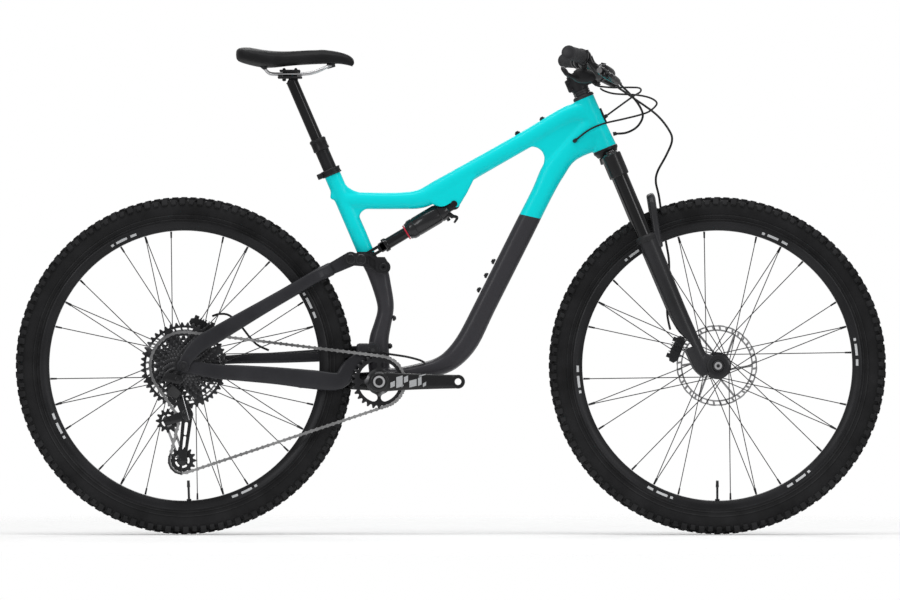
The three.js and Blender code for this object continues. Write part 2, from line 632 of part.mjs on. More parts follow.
add(bike, 'seatstay', (() => {
  const arm = loft([
    [...at3(from(STAY_PIVOT, -44, -22), 25), 14.5, 6.5],
    [...at3(from(STAY_PIVOT, -58, -29), 33), 14.5, 8],
    [...at3(from(STAY_PIVOT, -80, -40), tyreSide + 9), 14, 8],
    [...at3(from(STAY_PIVOT, -135, -72.5), tyreSide + 15), 14, 7.5],
    [...at3(from(STAY_PIVOT, -188, -103), tyreSide + 22), 14.5, 7.5],
    [...at3(from(REAR_AXLE, 127.6, 102.2), 65), 16, 7],
    [...at3(from(REAR_AXLE, 74.6, 71), 75), 17.5, 6.5],
    [...at3(from(REAR_AXLE, 32, 45), seatStayMid), 17, 4],
    [...at3(from(REAR_AXLE, 8, 16), seatStayMid), 14.5, STAY_END / 2],
    [...at3(from(REAR_AXLE, 0, 0), seatStayMid), 13, STAY_END / 2],
  ], 8, 14, 3);
  const end = cross(REAR_AXLE, 14, seatStayInner, seatStayInner + STAY_END);
  const bridge = plate([
    from(STAY_PIVOT, -49, -8),
    from(STAY_PIVOT, -58, -12),
    from(STAY_PIVOT, -53, -28),
    from(STAY_PIVOT, -43, -32),
  ], -26, 26);
  const ear = plate(strap(STAY_PIVOT, 16.5, from(STAY_PIVOT, -46, -23), 13), EAR_INNER, EAR_OUTER);
  const bore = cross(STAY_PIVOT, STAY_PIN_RADIUS + STAY_PIN_PLAY, -30, 30, 16);
  const axleBore = cross(REAR_AXLE, AXLE_RADIUS + FIT, -REAR_DROPOUT_HALF - 20, REAR_DROPOUT_HALF + 20, 16);
  const dropoutRoom = cross(REAR_AXLE, 40, -seatStayInner, seatStayInner, 24);
  return cut(join(arm, mirrored(arm), end, mirrored(end), bridge, ear, mirrored(ear)), bore, axleBore, dropoutRoom);
})(), 'carbon');

// ---------------------------------------------------------------- shock
const shockLean = Math.atan2(SHOCK_MOUNT[1] - YOKE_PIVOT[1], SHOCK_MOUNT[0] - YOKE_PIVOT[0]);
const shockLength = Math.hypot(SHOCK_MOUNT[0] - YOKE_PIVOT[0], SHOCK_MOUNT[1] - YOKE_PIVOT[1]);
const shock = new THREE.Group();
shock.position.set(YOKE_PIVOT[0], 0, YOKE_PIVOT[1]);
shock.rotation.y = Math.PI / 2 - shockLean;
bike.add(shock);
const CAN_LOW = 120;
const CAN_HIGH = shockLength - 20;
const SHAFT_LOW = 64;
add(shock, 'shock_can', (() => {
  const bore = SHOCK_SHAFT_RADIUS + FIT;
  const can = upright(closed([
    [bore, CAN_LOW],
    [18, CAN_LOW],
    [SHOCK_CAN_RADIUS, CAN_LOW + 8],
    [SHOCK_CAN_RADIUS, CAN_HIGH - 16],
    [17, CAN_HIGH],
    [bore, CAN_HIGH],
  ]), 16);
  const cap = upright([[0, CAN_HIGH - 6], [17, CAN_HIGH - 6], [17, CAN_HIGH + 3], [0, CAN_HIGH + 3]], 16);
  const eye = rod([0, -12, shockLength], [0, 12, shockLength], 13, 16);
  const neck = block(-11, 11, -11, 11, CAN_HIGH - 4, shockLength - 2);
  const eyeBore = rod([0, -14, shockLength], [0, 14, shockLength], 6, 10);
  return cut(join(can, cap, neck, eye), eyeBore);
})(), 'black');
add(shock, 'shock_shaft', (() => {
  const shaft = rod([0, 0, SHAFT_LOW - 2], [0, 0, CAN_LOW + 22], SHOCK_SHAFT_RADIUS, 16);
  const armInner = SEAT_TUBE_RADIUS + 3.6;
  const armOuter = ROCKER_INNER - RUNNING;
  const bridge = block(-11, 11, -armOuter, armOuter, SHAFT_LOW - 16, SHAFT_LOW);
  const arms = [-1, 1].map((s) => {
    const [y0, y1] = s < 0 ? [-armOuter, -armInner] : [armInner, armOuter];
    const bar = block(-8.5, 8.5, y0, y1, 0, SHAFT_LOW - 2);
    return join(bar, rod([0, y0, 0], [0, y1, 0], 9, 16));
  });
  const hole = rod([0, -40, 0], [0, 40, 0], 4, 12);
  return cut(join(shaft, bridge, ...arms), hole);
})(), 'darkMetal');

// ---------------------------------------------------------------- wheels
const TYRE_SEGMENTS = 32;
const RIM_SEGMENTS = 32;
function tyre(place) {
  const crown = TYRE_RADIUS / Math.cos(Math.PI / TYRE_SEGMENTS);
  const bead = RIM_OUTER_RADIUS / Math.cos(Math.PI / TYRE_SEGMENTS) + FIT;
  const w = TYRE_HALF_WIDTH;
  return turned(place, closed([
    [bead, -14],
    [bead + 16, -w + 2],
    [crown - 20, -w],
    [crown - 6, -w + 5],
    [crown, -w + 18],
    [crown, w - 18],
    [crown - 6, w - 5],
    [crown - 20, w],
    [bead + 16, w - 2],
    [bead, 14],
  ]), TYRE_SEGMENTS);
}
function rim(place) {
  return turned(place, closed([
    [RIM_INNER_RADIUS, -8],
    [RIM_OUTER_RADIUS, -RIM_HALF_WIDTH],
    [RIM_OUTER_RADIUS, RIM_HALF_WIDTH],
    [RIM_INNER_RADIUS, 8],
  ]), RIM_SEGMENTS);
}
// Spokes cross three times: each leaves its flange at a slant, every other one the other way.
function laced(place, flanges, hubProfile, bore) {
  const spokes = [];
  const perFlange = SPOKE_COUNT / 2;
  const flangeRadius = 27;
  const reach = RIM_INNER_RADIUS * Math.cos(Math.PI / RIM_SEGMENTS) - 0.6;
  flanges.forEach((y, side) => {
    for (let i = 0; i < perFlange; i++) {
      const turn = i % 2 ? 1 : -1;
      const foot = (2 * Math.PI * (i + side / 2)) / perFlange;
      const head = foot + turn * (5.5 * 2 * Math.PI) / SPOKE_COUNT;
      const startY = y + 2.1 * turn;
      const start = from(place, flangeRadius * Math.cos(foot), flangeRadius * Math.sin(foot));
      const end = from(place, reach * Math.cos(head), reach * Math.sin(head));
      spokes.push(rod(at3(start, startY), at3(end, side ? 1.5 : -1.5), SPOKE_RADIUS, 4));
    }
  });
  const hub = turned(place, closed(hubProfile), 12);
  return cut(join(hub, ...spokes), cross(place, bore, -100, 100, 12));
}
function rotor(place, y, carrier) {
  const half = ROTOR_THICKNESS / 2;
  const disc = turned(place, closed([
    [20, y - half],
    [ROTOR_RADIUS, y - half],
    [ROTOR_RADIUS, y + half],
    [20, y + half],
  ]), 24);
  return join(disc, turned(place, closed(carrier), 12));
}

const hubBore = AXLE_RADIUS + RUNNING;
const rearWheelRight = -24;
const rearWheelLeft = 39;
add(bike, 'rear_tyre', tyre(REAR_AXLE), 'rubber');
add(bike, 'rear_rim', rim(REAR_AXLE), 'black');
add(bike, 'rear_hub', laced(REAR_AXLE, [-21, 35], [
  [4, rearWheelRight],
  [30, rearWheelRight],
  [30, -18],
  [17, -12],
  [17, 26],
  [30, 32],
  [30, rearWheelLeft],
  [4, rearWheelLeft],
], hubBore), 'black');
const REAR_ROTOR_Y = 57;
add(bike, 'rear_rotor', rotor(REAR_AXLE, REAR_ROTOR_Y, [
  [hubBore, rearWheelLeft + FIT],
  [23, rearWheelLeft + FIT],
  [23, REAR_ROTOR_Y + 3],
  [12, REAR_ROTOR_Y + 6],
  [12, REAR_DROPOUT_HALF],
  [hubBore, REAR_DROPOUT_HALF],
]), 'steel');

const frontHubHalf = 33;
const FRONT_ROTOR_Y = 41;
add(bike, 'front_tyre', tyre(FRONT_AXLE), 'rubber');
add(bike, 'front_rim', rim(FRONT_AXLE), 'black');
add(bike, 'front_hub', laced(FRONT_AXLE, [-29, 24], [
  [4, -FRONT_DROPOUT_HALF],
  [12, -FRONT_DROPOUT_HALF],
  [12, -38],
  [29, -frontHubHalf],
  [29, -26],
  [15, -20],
  [15, 16],
  [29, 21],
  [29, 28],
  [4, 28],
], hubBore), 'black');
add(bike, 'front_rotor', rotor(FRONT_AXLE, FRONT_ROTOR_Y, [
  [hubBore, 28 + FIT],
  [23, 28 + FIT],
  [23, FRONT_ROTOR_Y + 3],
  [12, FRONT_ROTOR_Y + 5],
  [12, FRONT_DROPOUT_HALF],
  [hubBore, FRONT_DROPOUT_HALF],
]), 'steel');

// ---------------------------------------------------------------- cassette
const COG_HALF = 0.9;
const beltGap = CHAIN_DEPTH / 2 + 0.7;
const cogPlace = (i) => -(COG_OUTBOARD - COG_SPACING * i);
add(bike, 'cassette', (() => {
  const outerFace = -REAR_DROPOUT_HALF + 0.2;
  const profile = [[hubBore, outerFace], [13, outerFace], [13, cogPlace(0) - 1.2]];
  COG_TEETH.forEach((teeth, i) => {
    const radius = pitchRadius(teeth) - beltGap;
    const last = i === COG_TEETH.length - 1;
    profile.push([radius, cogPlace(i) - COG_HALF]);
    profile.push([radius, last ? cogPlace(i) + COG_HALF : cogPlace(i + 1) - COG_HALF]);
  });
  profile.push([40, cogPlace(COG_TEETH.length - 1) + 1.5]);
  profile.push([17, rearWheelRight - FIT - 0.5], [hubBore, rearWheelRight - FIT - 0.5]);
  return turned(REAR_AXLE, closed(profile), 18);
})(), 'darkMetal');

// ---------------------------------------------------------------- fork
const CROWN_TOP = lowerCupLow - FIT;
const CROWN_UNDER = CROWN_TOP - 15;
const SOCKET_BOTTOM = 470;
const SOCKET_RADIUS = STANCHION_RADIUS + 4.2;
const legSide = STANCHION_SPACING / 2;
const STEERER_TOP = upperCupHigh + 52;
const STANCHION_BELOW_SEAL = 95;
add(steering, 'fork_crown', (() => {
  const parts = [
    rod([0, 0, CROWN_TOP - 6], [0, 0, STEERER_TOP], STEERER_RADIUS, 12),
    rod([0, 0, CROWN_UNDER], [0, 0, CROWN_TOP], 24, 12),
    block(-17, 24, -legSide + 4, legSide - 4, CROWN_UNDER, CROWN_TOP - 3),
  ];
  for (const y of [-legSide, legSide]) {
    const place = (up) => [STANCHION_AHEAD, y, up];
    parts.push(rod(place(SOCKET_BOTTOM), place(CROWN_TOP - 1), SOCKET_RADIUS, 12));
    parts.push(rod(place(LEG_TOP - STANCHION_BELOW_SEAL), place(SOCKET_BOTTOM + 4), STANCHION_RADIUS, 12));
  }
  return join(...parts);
})(), 'black');

add(steering, 'fork_lowers', (() => {
  const ahead = STANCHION_AHEAD + 2;
  const leg = loft([
    [ahead, legSide, LEG_TOP, LEG_RADIUS, LEG_RADIUS],
    [ahead, legSide, 250, LEG_RADIUS - 1, LEG_RADIUS - 1],
    [ahead, legSide, 170, LEG_RADIUS - 2, LEG_RADIUS - 2],
    [ahead + 1, legSide, 90, LEG_RADIUS - 2, LEG_RADIUS - 3],
    [ahead + 6, legSide + 1, 45, 21, 15],
    [ahead + 22, legSide + 1, 14, 24, 11],
  ], 12, 6, 2);
  const inLeg = (up, dx = 0) => [STANCHION_AHEAD + dx, legSide, up];
  const seal = rod(inLeg(LEG_TOP - 13, 1), inLeg(LEG_TOP, 1), LEG_RADIUS + 1.1, 16);
  const foot = rod([FORK_OFFSET, FRONT_DROPOUT_HALF + 0.5, 0], [FORK_OFFSET, legSide + 12, 0], 26, 16);
  const slider = rod(inLeg(80), inLeg(LEG_TOP + 30), STANCHION_RADIUS + FIT + 0.3, 12);
  const side = join(leg, seal, foot);
  const arch = loft([
    [ahead + 17, -legSide + 2, LEG_TOP - 34, 13, 9],
    [ahead + 29, -legSide + 8, LEG_TOP + 14, 12, 9],
    [ahead + 42, -36, LEG_TOP + 66, 11, 9],
    [ahead + 44, 0, LEG_TOP + 74, 10, 9],
    [ahead + 42, 36, LEG_TOP + 66, 11, 9],
    [ahead + 29, legSide - 8, LEG_TOP + 14, 12, 9],
    [ahead + 17, legSide - 2, LEG_TOP - 34, 13, 9],
  ], 8, 10, 3, new THREE.Vector3(1, 0, 0));
  const bores = [-1, 1].map((s) => slider.clone().translate(0, s < 0 ? -2 * legSide : 0, 0));
  const axleBore = rod([FORK_OFFSET, -100, 0], [FORK_OFFSET, 100, 0], AXLE_RADIUS + FIT, 16);
  const dropout = FRONT_DROPOUT_HALF + 0.4;
  const hubRoom = rod([FORK_OFFSET, -dropout, 0], [FORK_OFFSET, dropout, 0], 32, 16);
  return cut(join(side, mirrored(side), arch), ...bores, axleBore, hubRoom);
})(), 'carbon');

add(steering, 'front_axle', (() => {
  const out = legSide + 12.6;
  const shaft = rod([FORK_OFFSET, -out - 3, 0], [FORK_OFFSET, out + 1, 0], AXLE_RADIUS, 16);
  const head = rod([FORK_OFFSET, -out - 4, 0], [FORK_OFFSET, -out - 0.4, 0], 9.5, 16);
  return cut(join(shaft, head), rod([FORK_OFFSET, -out - 9, 0], [FORK_OFFSET, out + 9, 0], 2.6, 12));
})(), 'darkMetal');

// A calliper body with its pad slot, sat over a rotor's edge at an angle about the axle.
function caliper(centre, angle, discY) {
  const body = new THREE.BoxGeometry(30, 22, 56).translate(ROTOR_RADIUS + 8, discY - 3, 0);
  const slot = new THREE.BoxGeometry(24, 7, 70).translate(ROTOR_RADIUS + 0.5, discY, 0);
  return cut(body, slot).rotateY(-angle).translate(centre[0], 0, centre[1]);
}
const REAR_CALIPER_ANGLE = THREE.MathUtils.degToRad(66);
const FRONT_CALIPER_ANGLE = THREE.MathUtils.degToRad(158);
add(bike, 'rear_brake_caliper', caliper(REAR_AXLE, REAR_CALIPER_ANGLE, REAR_ROTOR_Y), 'darkMetal');
add(bike, 'front_brake_caliper', caliper(FRONT_AXLE, FRONT_CALIPER_ANGLE, FRONT_ROTOR_Y), 'darkMetal');

// ---------------------------------------------------------------- cockpit
const stemLow = upperCupHigh + 11;
const stemHigh = stemLow + 38;
const barHeight = (stemLow + stemHigh) / 2;
add(steering, 'stem', (() => {
  const body = block(0, STEM_LENGTH - 4, -19, 19, stemLow + 4, stemHigh - 4);
  const column = rod([0, 0, stemLow], [0, 0, stemHigh], 19.5, 16);
  const clamp = rod([STEM_LENGTH, -24, barHeight], [STEM_LENGTH, 24, barHeight], 21, 16);
  const lug = block(-27, -8, -12, 12, stemLow + 4, stemHigh - 6);
  const steererHole = rod([0, 0, stemLow - 1], [0, 0, stemHigh + 1], STEERER_RADIUS + FIT, 12);
  const barHole = rod([STEM_LENGTH, -30, barHeight], [STEM_LENGTH, 30, barHeight], BAR_CLAMP_RADIUS + FIT, 16);
  const lugSlot = block(-30, -8, -1.2, 1.2, stemLow, stemHigh);
  const window = block(STEM_LENGTH - 23, STEM_LENGTH - 15, -11, 11, stemLow - 1, stemHigh + 1);
  return cut(join(body, column, clamp, lug), steererHole, barHole, lugSlot, window);
})(), 'black');

const barHalf = HANDLEBAR_WIDTH / 2;
const gripFoot = [25.7, barHalf - GRIP_LENGTH, barHeight + 45.5];
const gripEnd = [0, barHalf, barHeight + 61.7];
const alongGrip = (t) => gripFoot.map((v, i) => v + (gripEnd[i] - v) * t);
const flip = (p) => [p[0], -p[1], p[2]];
add(steering, 'handlebar', (() => {
  const half = [
    [STEM_LENGTH, barHalf - 352, barHeight],
    [STEM_LENGTH - 3, barHalf - 318, barHeight + 7],
    [STEM_LENGTH - 9, barHalf - 272, barHeight + 28],
    [STEM_LENGTH - 13, barHalf - 225, barHeight + 37],
    alongGrip(-0.3),
    alongGrip(0),
    alongGrip(0.5),
    alongGrip(0.97),
  ];
  const tube = hose([...half.map(flip).reverse(), [STEM_LENGTH, 0, barHeight], ...half], BAR_RADIUS, 30);
  const middle = rod([STEM_LENGTH, -32, barHeight], [STEM_LENGTH, 32, barHeight], BAR_CLAMP_RADIUS, 12);
  return join(tube, middle);
})(), 'black');

const BAR_PLAY = 1.2;
const gripSleeve = rod(alongGrip(0.03), alongGrip(1), GRIP_RADIUS, 16);
const gripCollar = rod(alongGrip(0), alongGrip(0.09), GRIP_RADIUS + 1.5, 16);
const grip = cut(
  join(gripSleeve, gripCollar),
  rod(alongGrip(-0.1), alongGrip(0.98), BAR_RADIUS + BAR_PLAY, 12),
);
add(steering, 'grip_right', mirrored(grip), 'rubber');
add(steering, 'grip_left', grip, 'rubber');

// Brake master cylinder on its bar clamp, left hand; the lever blade hangs on a pin in it.
const clampAt = -0.16;
const LEVER_PIVOT = [63, alongGrip(-0.06)[1], barHeight - 13];
const leverBody = (() => {
  const collar = rod(alongGrip(clampAt - 0.05), alongGrip(clampAt + 0.05), BAR_RADIUS + 5.5, 12);
  const neck = rod(alongGrip(clampAt), [50, barHalf - 156, barHeight + 3], 8, 8, 9);
  const cylinder = rod([52, barHalf - 140, barHeight + 1], [80, barHalf - 218, barHeight - 37], 9.5, 8, 7.5);
  const reservoir = rod([60, barHalf - 160, barHeight + 4], [76, barHalf - 196, barHeight - 14], 10, 6);
  const barHole = rod(alongGrip(clampAt - 0.4), alongGrip(clampAt + 0.3), BAR_RADIUS + BAR_PLAY, 12);
  return cut(join(collar, neck, cylinder, reservoir), barHole);
})();
add(steering, 'brake_master_right', mirrored(leverBody), 'black');
add(steering, 'brake_master_left', leverBody, 'black');
const leverBlade = (() => {
  const [x, y, z] = LEVER_PIVOT;
  return loft([
    [x + 1, y + 4, z - 2, 6.5, 6],
    [x + 8, y + 18, z - 12, 5.5, 5],
    [x + 9, y + 48, z - 13.4, 5.5, 4],
    [x + 4, y + 80, z - 6, 5.5, 4],
    [x + 5, y + 104, z - 7.4, 6, 4.5],
  ], 8, 8, 2.5, new THREE.Vector3(0.56, 0, -0.83));
})();
add(steering, 'brake_lever_right', mirrored(leverBlade), 'black');
add(steering, 'brake_lever_left', leverBlade, 'black');

// Gear shifter under the right-hand bar and dropper remote under the left-hand one.
const shifterSide = -(barHalf - GRIP_LENGTH - 62);
const controlsOnBar = [
  alongGrip(0.2),
  alongGrip(0),
  alongGrip(-0.3),
  [STEM_LENGTH - 13, barHalf - 225, barHeight + 37],
  [STEM_LENGTH - 9, barHalf - 272, barHeight + 28],
];
add(steering, 'shifter_body', (() => {
  const y = shifterSide;
  const pod = loft([
    [-4, y, barHeight + 14, 12, 15],
    [10, y, barHeight + 8, 17, 19],
    [26, y, barHeight - 2, 14, 17],
    [33, y, barHeight - 12, 8, 10],
  ], 8, 4);
  const hanger = rod([20, y, barHeight + 12], [28, y, barHeight + 36], 7, 6);
  const collar = rod([28.5, y - 7, barHeight + 41.2], [30, y + 7, barHeight + 40.2], BAR_RADIUS + 5, 12);
  const barrel = rod([27, y, barHeight - 8], [39, y, barHeight - 29], 6.5, 8, 5);
  const barHole = hose(controlsOnBar.map(flip), BAR_RADIUS + BAR_PLAY, 8);
  return cut(join(pod, hanger, collar, barrel), barHole);
})(), 'black');
add(steering, 'shift_paddle', (() => {
  const y = shifterSide;
  const arm = rod([-3, y - 22, barHeight + 6], [-19, y - 38, barHeight + 24], 4.5, 10);
  const pad = loft([
    [-22, y - 32, barHeight + 38, 4, 8],
    [-20, y - 38, barHeight + 30, 6, 12],
    [-18, y - 40, barHeight + 20, 5, 9],
  ], 10, 4);
  return join(arm, pad);
})(), 'black');
add(steering, 'dropper_remote', (() => {
  const y = -shifterSide;
  const collar = rod([28.5, y + 7, barHeight + 41.2], [30, y - 7, barHeight + 40.2], BAR_RADIUS + 5, 16);
  const body = rod([24, y, barHeight + 30], [44, y, barHeight - 18], 9, 12, 6);
  const barHole = hose(controlsOnBar, BAR_RADIUS + BAR_PLAY, 10);
  return cut(join(collar, body), barHole);
})(), 'black');
add(steering, 'dropper_paddle', (() => {
  const y = -shifterSide;
  const arm = rod([18, y + 14, barHeight + 14], [2, y + 32, barHeight + 10], 5, 10);
  const pad = loft([
    [8, y + 28, barHeight + 16, 4, 8],
    [-2, y + 40, barHeight + 8, 6, 12],
    [-8, y + 52, barHeight + 2, 4, 9],
  ], 10, 4);
  return join(arm, pad);
})(), 'black');

// ---------------------------------------------------------------- hoses and housings
add(bike, 'front_brake_hose', hose([
  [375, 160, 994],
  [408.5, 122, 970],
  [457.8, 72, 932.8],
  [485.7, 48, 897.3],
  [491.7, 38, 873.6],
  [479, 36, 841.8],
  [460, 40, 806.3],
  [456, 42, 782.3],
  [463, 42, 750],
  [470, 41, 700],
  [478.5, 41, 648.7],
  [485.3, 40.5, 604.3],
  [484, 40.5, 545],
  [481.1, 40.5, 492.2],
  [487.9, 41, 454],
], HOSE_RADIUS, 40), 'rubber');
add(bike, 'shift_housing', hose([
  [329, -196, 986],
  [339.2, -192, 980],
  [362.3, -172, 974.5],
  [410.5, -122, 972.8],
  [442.2, -84, 966.6],
  [456.2, -64, 955.1],
  [442.2, -50, 939.5],
  [422.2, -44, 931.1],
  [382.3, -38, 921.1],
  [339.2, -34, 911.1],
  [306.8, -30, 897.3],
  [275.7, -27.5, 873.6],
], HOUSING_RADIUS, 28), 'rubber');
add(bike, 'dropper_housing', hose([
  [333, 196, 998],
  [362.3, 150, 994.5],
  [397.8, 98, 994],
  [420, 60, 991.7],
  [421, 40, 982.6],
  [402.3, 24, 970.6],
  [344, 8, 928],
], HOUSING_RADIUS, 20), 'rubber');
add(bike, 'rear_brake_hose', hose([
  [375, -160, 994],
  [402.3, -108, 968.4],
  [420, -78, 944.8],
  [425, -54, 925.1],
  [413, -34, 904],
  [390, -16, 891.3],
  [364, -9, 889],
], HOSE_RADIUS, 18), 'rubber');
add(bike, 'rear_calliper_hose', hose([
  [-531, 57, 484],
  [-514, 57, 489],
  [-492.4, 57, 485.5],
  [-468, 57.5, 463],
  [-448, 58, 438],
  [-430.2, 59, 420],
  [-405, 60.5, 408],
], HOSE_RADIUS, 12), 'rubber');

// ---------------------------------------------------------------- cranks and chain
const armInner = BB_SHELL_HALF_WIDTH + 4;
add(bike, 'crank_right_arm', (() => {
  const end = from(BB, CRANK_LENGTH, 0);
  const arm = plate(strap(BB, CRANK_BOSS_RADIUS, end, CRANK_END_RADIUS, 8), -76, -62);
  const boss = cross(BB, CRANK_BOSS_RADIUS - 4, -79, -57, 16);
  const spindle = cross(BB, SPINDLE_RADIUS, -60, 66, 16);
  const thread = cross(end, 7.2, -90, -50, 10);
  const lightening = cross(BB, 8, -90, 70, 10);
  return cut(join(arm, boss, spindle), thread, lightening);
})(), 'black');
add(bike, 'crank_left_arm', (() => {
  const end = from(BB, -CRANK_LENGTH, 0);
  const arm = plate(strap(BB, CRANK_BOSS_RADIUS, end, CRANK_END_RADIUS, 8), 62, 76);
  const boss = cross(BB, CRANK_BOSS_RADIUS - 2, armInner, 79, 16);
  const bore = cross(BB, SPINDLE_RADIUS + FIT, armInner - 1, 90, 16);
  const thread = cross(end, 7.2, 50, 90, 10);
  return cut(join(arm, boss), bore, thread);
})(), 'black');
add(bike, 'chainring', (() => {
  const outer = pitchRadius(RING_TEETH) - beltGap;
  const disc = turned(BB, closed([
    [SPINDLE_RADIUS + FIT, -CHAINLINE - 4.5],
    [20, -CHAINLINE - 4.5],
    [22, -CHAINLINE - 1.2],
    [outer, -CHAINLINE - 1.2],
    [outer, -CHAINLINE + 1.2],
    [SPINDLE_RADIUS + FIT, -CHAINLINE + 1.2],
  ]), 24);
  const windows = [0, 1, 2, 3].map((i) => {
    const middle = Math.PI / 4 + (i * Math.PI) / 2;
    const [a, b] = [middle - 0.42, middle + 0.42];
    const [start, end] = [a, b].map((angle) => from(BB, 38 * Math.cos(angle), 38 * Math.sin(angle)));
    return plate(strap(start, 9, end, 9, 2), -CHAINLINE - 8, -CHAINLINE + 8);
  });
  return cut(disc, ...windows);
})(), 'darkMetal');

// The chain's run: round the ring, over the cog, in front of the upper pulley, behind the lower.
const chainSide = cogPlace(CHAIN_COG);
const UPPER_PULLEY = from(REAR_AXLE, -35.6, -122.1);
const LOWER_PULLEY = from(REAR_AXLE, -3.8, -210);
const wraps = [
  { at: BB, radius: pitchRadius(RING_TEETH), side: -CHAINLINE },
  { at: REAR_AXLE, radius: pitchRadius(COG_TEETH[CHAIN_COG]), side: chainSide },
  { at: UPPER_PULLEY, radius: -pitchRadius(PULLEY_TEETH[0]), side: chainSide },
  { at: LOWER_PULLEY, radius: pitchRadius(PULLEY_TEETH[1]), side: chainSide },
];
function chainRun() {
  const runs = wraps.map((wheel, i) => {
    const next = wraps[(i + 1) % wraps.length];
    const [dx, dz] = [next.at[0] - wheel.at[0], next.at[1] - wheel.at[1]];
    const heading = Math.atan2(dz, dx) - Math.asin((next.radius - wheel.radius) / Math.hypot(dx, dz));
    const leave = (r, at) => from(at, r * Math.sin(heading), -r * Math.cos(heading));
    return { heading, start: leave(wheel.radius, wheel.at), end: leave(next.radius, next.at) };
  });
  const route = [];
  wraps.forEach((wheel, i) => {
    const arriving = runs[(i + wraps.length - 1) % wraps.length].heading;
    let turn = runs[i].heading - arriving;
    const wanted = Math.sign(wheel.radius);
    while (turn * wanted < 0) turn += wanted * 2 * Math.PI;
    const steps = Math.ceil(Math.abs(turn) / (Math.abs(wheel.radius) < 40 ? 0.3 : 0.22));
    for (let k = 0; k <= steps; k++) {
      const heading = arriving + (turn * k) / steps;
      const [x, z] = from(wheel.at, wheel.radius * Math.sin(heading), -wheel.radius * Math.cos(heading));
      route.push(new THREE.Vector3(x, wheel.side, z));
    }
    const next = wraps[(i + 1) % wraps.length];
    for (const t of [0.33, 0.67]) {
      const [x, z] = mix(runs[i].start, runs[i].end, t);
      route.push(new THREE.Vector3(x, wheel.side + (next.side - wheel.side) * t, z));
    }
  });
  return route;
}
add(bike, 'chain', (() => {
  const route = chainRun();
  const count = route.length;
  const band = new THREE.BufferGeometry();
  const points = [];
  const index = [];
  route.forEach((place, i) => {
    const ahead = route[(i + 1) % count].clone().sub(route[(i + count - 1) % count]).setY(0).normalize();
    const out = new THREE.Vector3(-ahead.z, 0, ahead.x);
    for (const [u, v] of [[1, 1], [1, -1], [-1, -1], [-1, 1]]) {
      const corner = place.clone().addScaledVector(out, (u * CHAIN_DEPTH) / 2);
      corner.y += (v * CHAIN_WIDTH) / 2;
      points.push(...corner.toArray());
    }
    for (let k = 0; k < 4; k++) {
      const [a, b] = [i * 4 + k, i * 4 + ((k + 1) % 4)];
      const [c, d] = [((i + 1) % count) * 4 + k, ((i + 1) % count) * 4 + ((k + 1) % 4)];
      index.push(a, c, b, b, c, d);
    }
  });
  band.setAttribute('position', new THREE.Float32BufferAttribute(points, 3));
  band.setIndex(index);
  return outward(band);
})(), 'steel');

// ---------------------------------------------------------------- rear derailleur
const HANGER_PIVOT = from(REAR_AXLE, -34, -24);
const KNUCKLE_PIVOT = from(REAR_AXLE, -6, -78);
const CAGE_PIVOT = from(REAR_AXLE, 8, -108);
const hangerY = -(seatStayInner + STAY_END + 5);
add(bike, 'derailleur_hanger', (() => {
  const ear = from(REAR_AXLE, -12, -30);
  const drop = plate(strap(REAR_AXLE, 13, ear, 9), -stayInner - STAY_END, -stayInner);
  const dropoutRoom = cross(REAR_AXLE, 17.3, -100, -60, 20);
  const bolt = cross(ear, 8, hangerY - 9, -stayInner - 1, 12);
  const knuckle = plate(strap(ear, 10, HANGER_PIVOT, 10), hangerY - 11, hangerY);
  return join(cut(drop, dropoutRoom), bolt, knuckle);
})(), 'darkMetal');
const linkStart = [HANGER_PIVOT[0] + 2, hangerY - 3, HANGER_PIVOT[1] - 24];
const linkEnd = [KNUCKLE_PIVOT[0] - 4, -66, KNUCKLE_PIVOT[1] + 10];
const linkMiddle = linkStart.map((v, i) => (v + linkEnd[i]) / 2);
add(bike, 'derailleur_link', loft([
  [...linkStart, 12, 5],
  [...linkMiddle, 13, 6],
  [...linkEnd, 12, 5],
], 12, 4, 4), 'black');
const cageOuter = chainSide - 7.5;
add(bike, 'derailleur_knuckle', (() => {
  return plate(strap(from(KNUCKLE_PIVOT, 2, -4), 12, CAGE_PIVOT, 13), -60, cageOuter - 3.2);
})(), 'black');
add(bike, 'derailleur_cage', (() => {
  const outer = join(
    plate(strap(CAGE_PIVOT, 12, LOWER_PULLEY, 9), cageOuter - 2.2, cageOuter),
    plate(strap(UPPER_PULLEY, 11, CAGE_PIVOT, 12), cageOuter - 2.2, cageOuter),
  );
  const inner = plate(strap(UPPER_PULLEY, 10, LOWER_PULLEY, 9), chainSide + 4.6, chainSide + 6.8);
  const pins = [UPPER_PULLEY, LOWER_PULLEY].map((at) => cross(at, 3, cageOuter - 1, chainSide + 6, 12));
  return join(outer, inner, ...pins);
})(), 'black');
[['pulley_upper', UPPER_PULLEY, 0], ['pulley_lower', LOWER_PULLEY, 1]].forEach(([name, at, i]) => {
  const radius = pitchRadius(PULLEY_TEETH[i]) - beltGap;
  const ring = turned(at, closed([[3.6, -2], [radius, -2], [radius, 2], [3.6, 2]]), 16);
  add(bike, name, ring.translate(0, chainSide, 0), 'black');
});

export default bike;
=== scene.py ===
import json
import math
import random

import bmesh
import bpy
from mathutils import Matrix, Vector

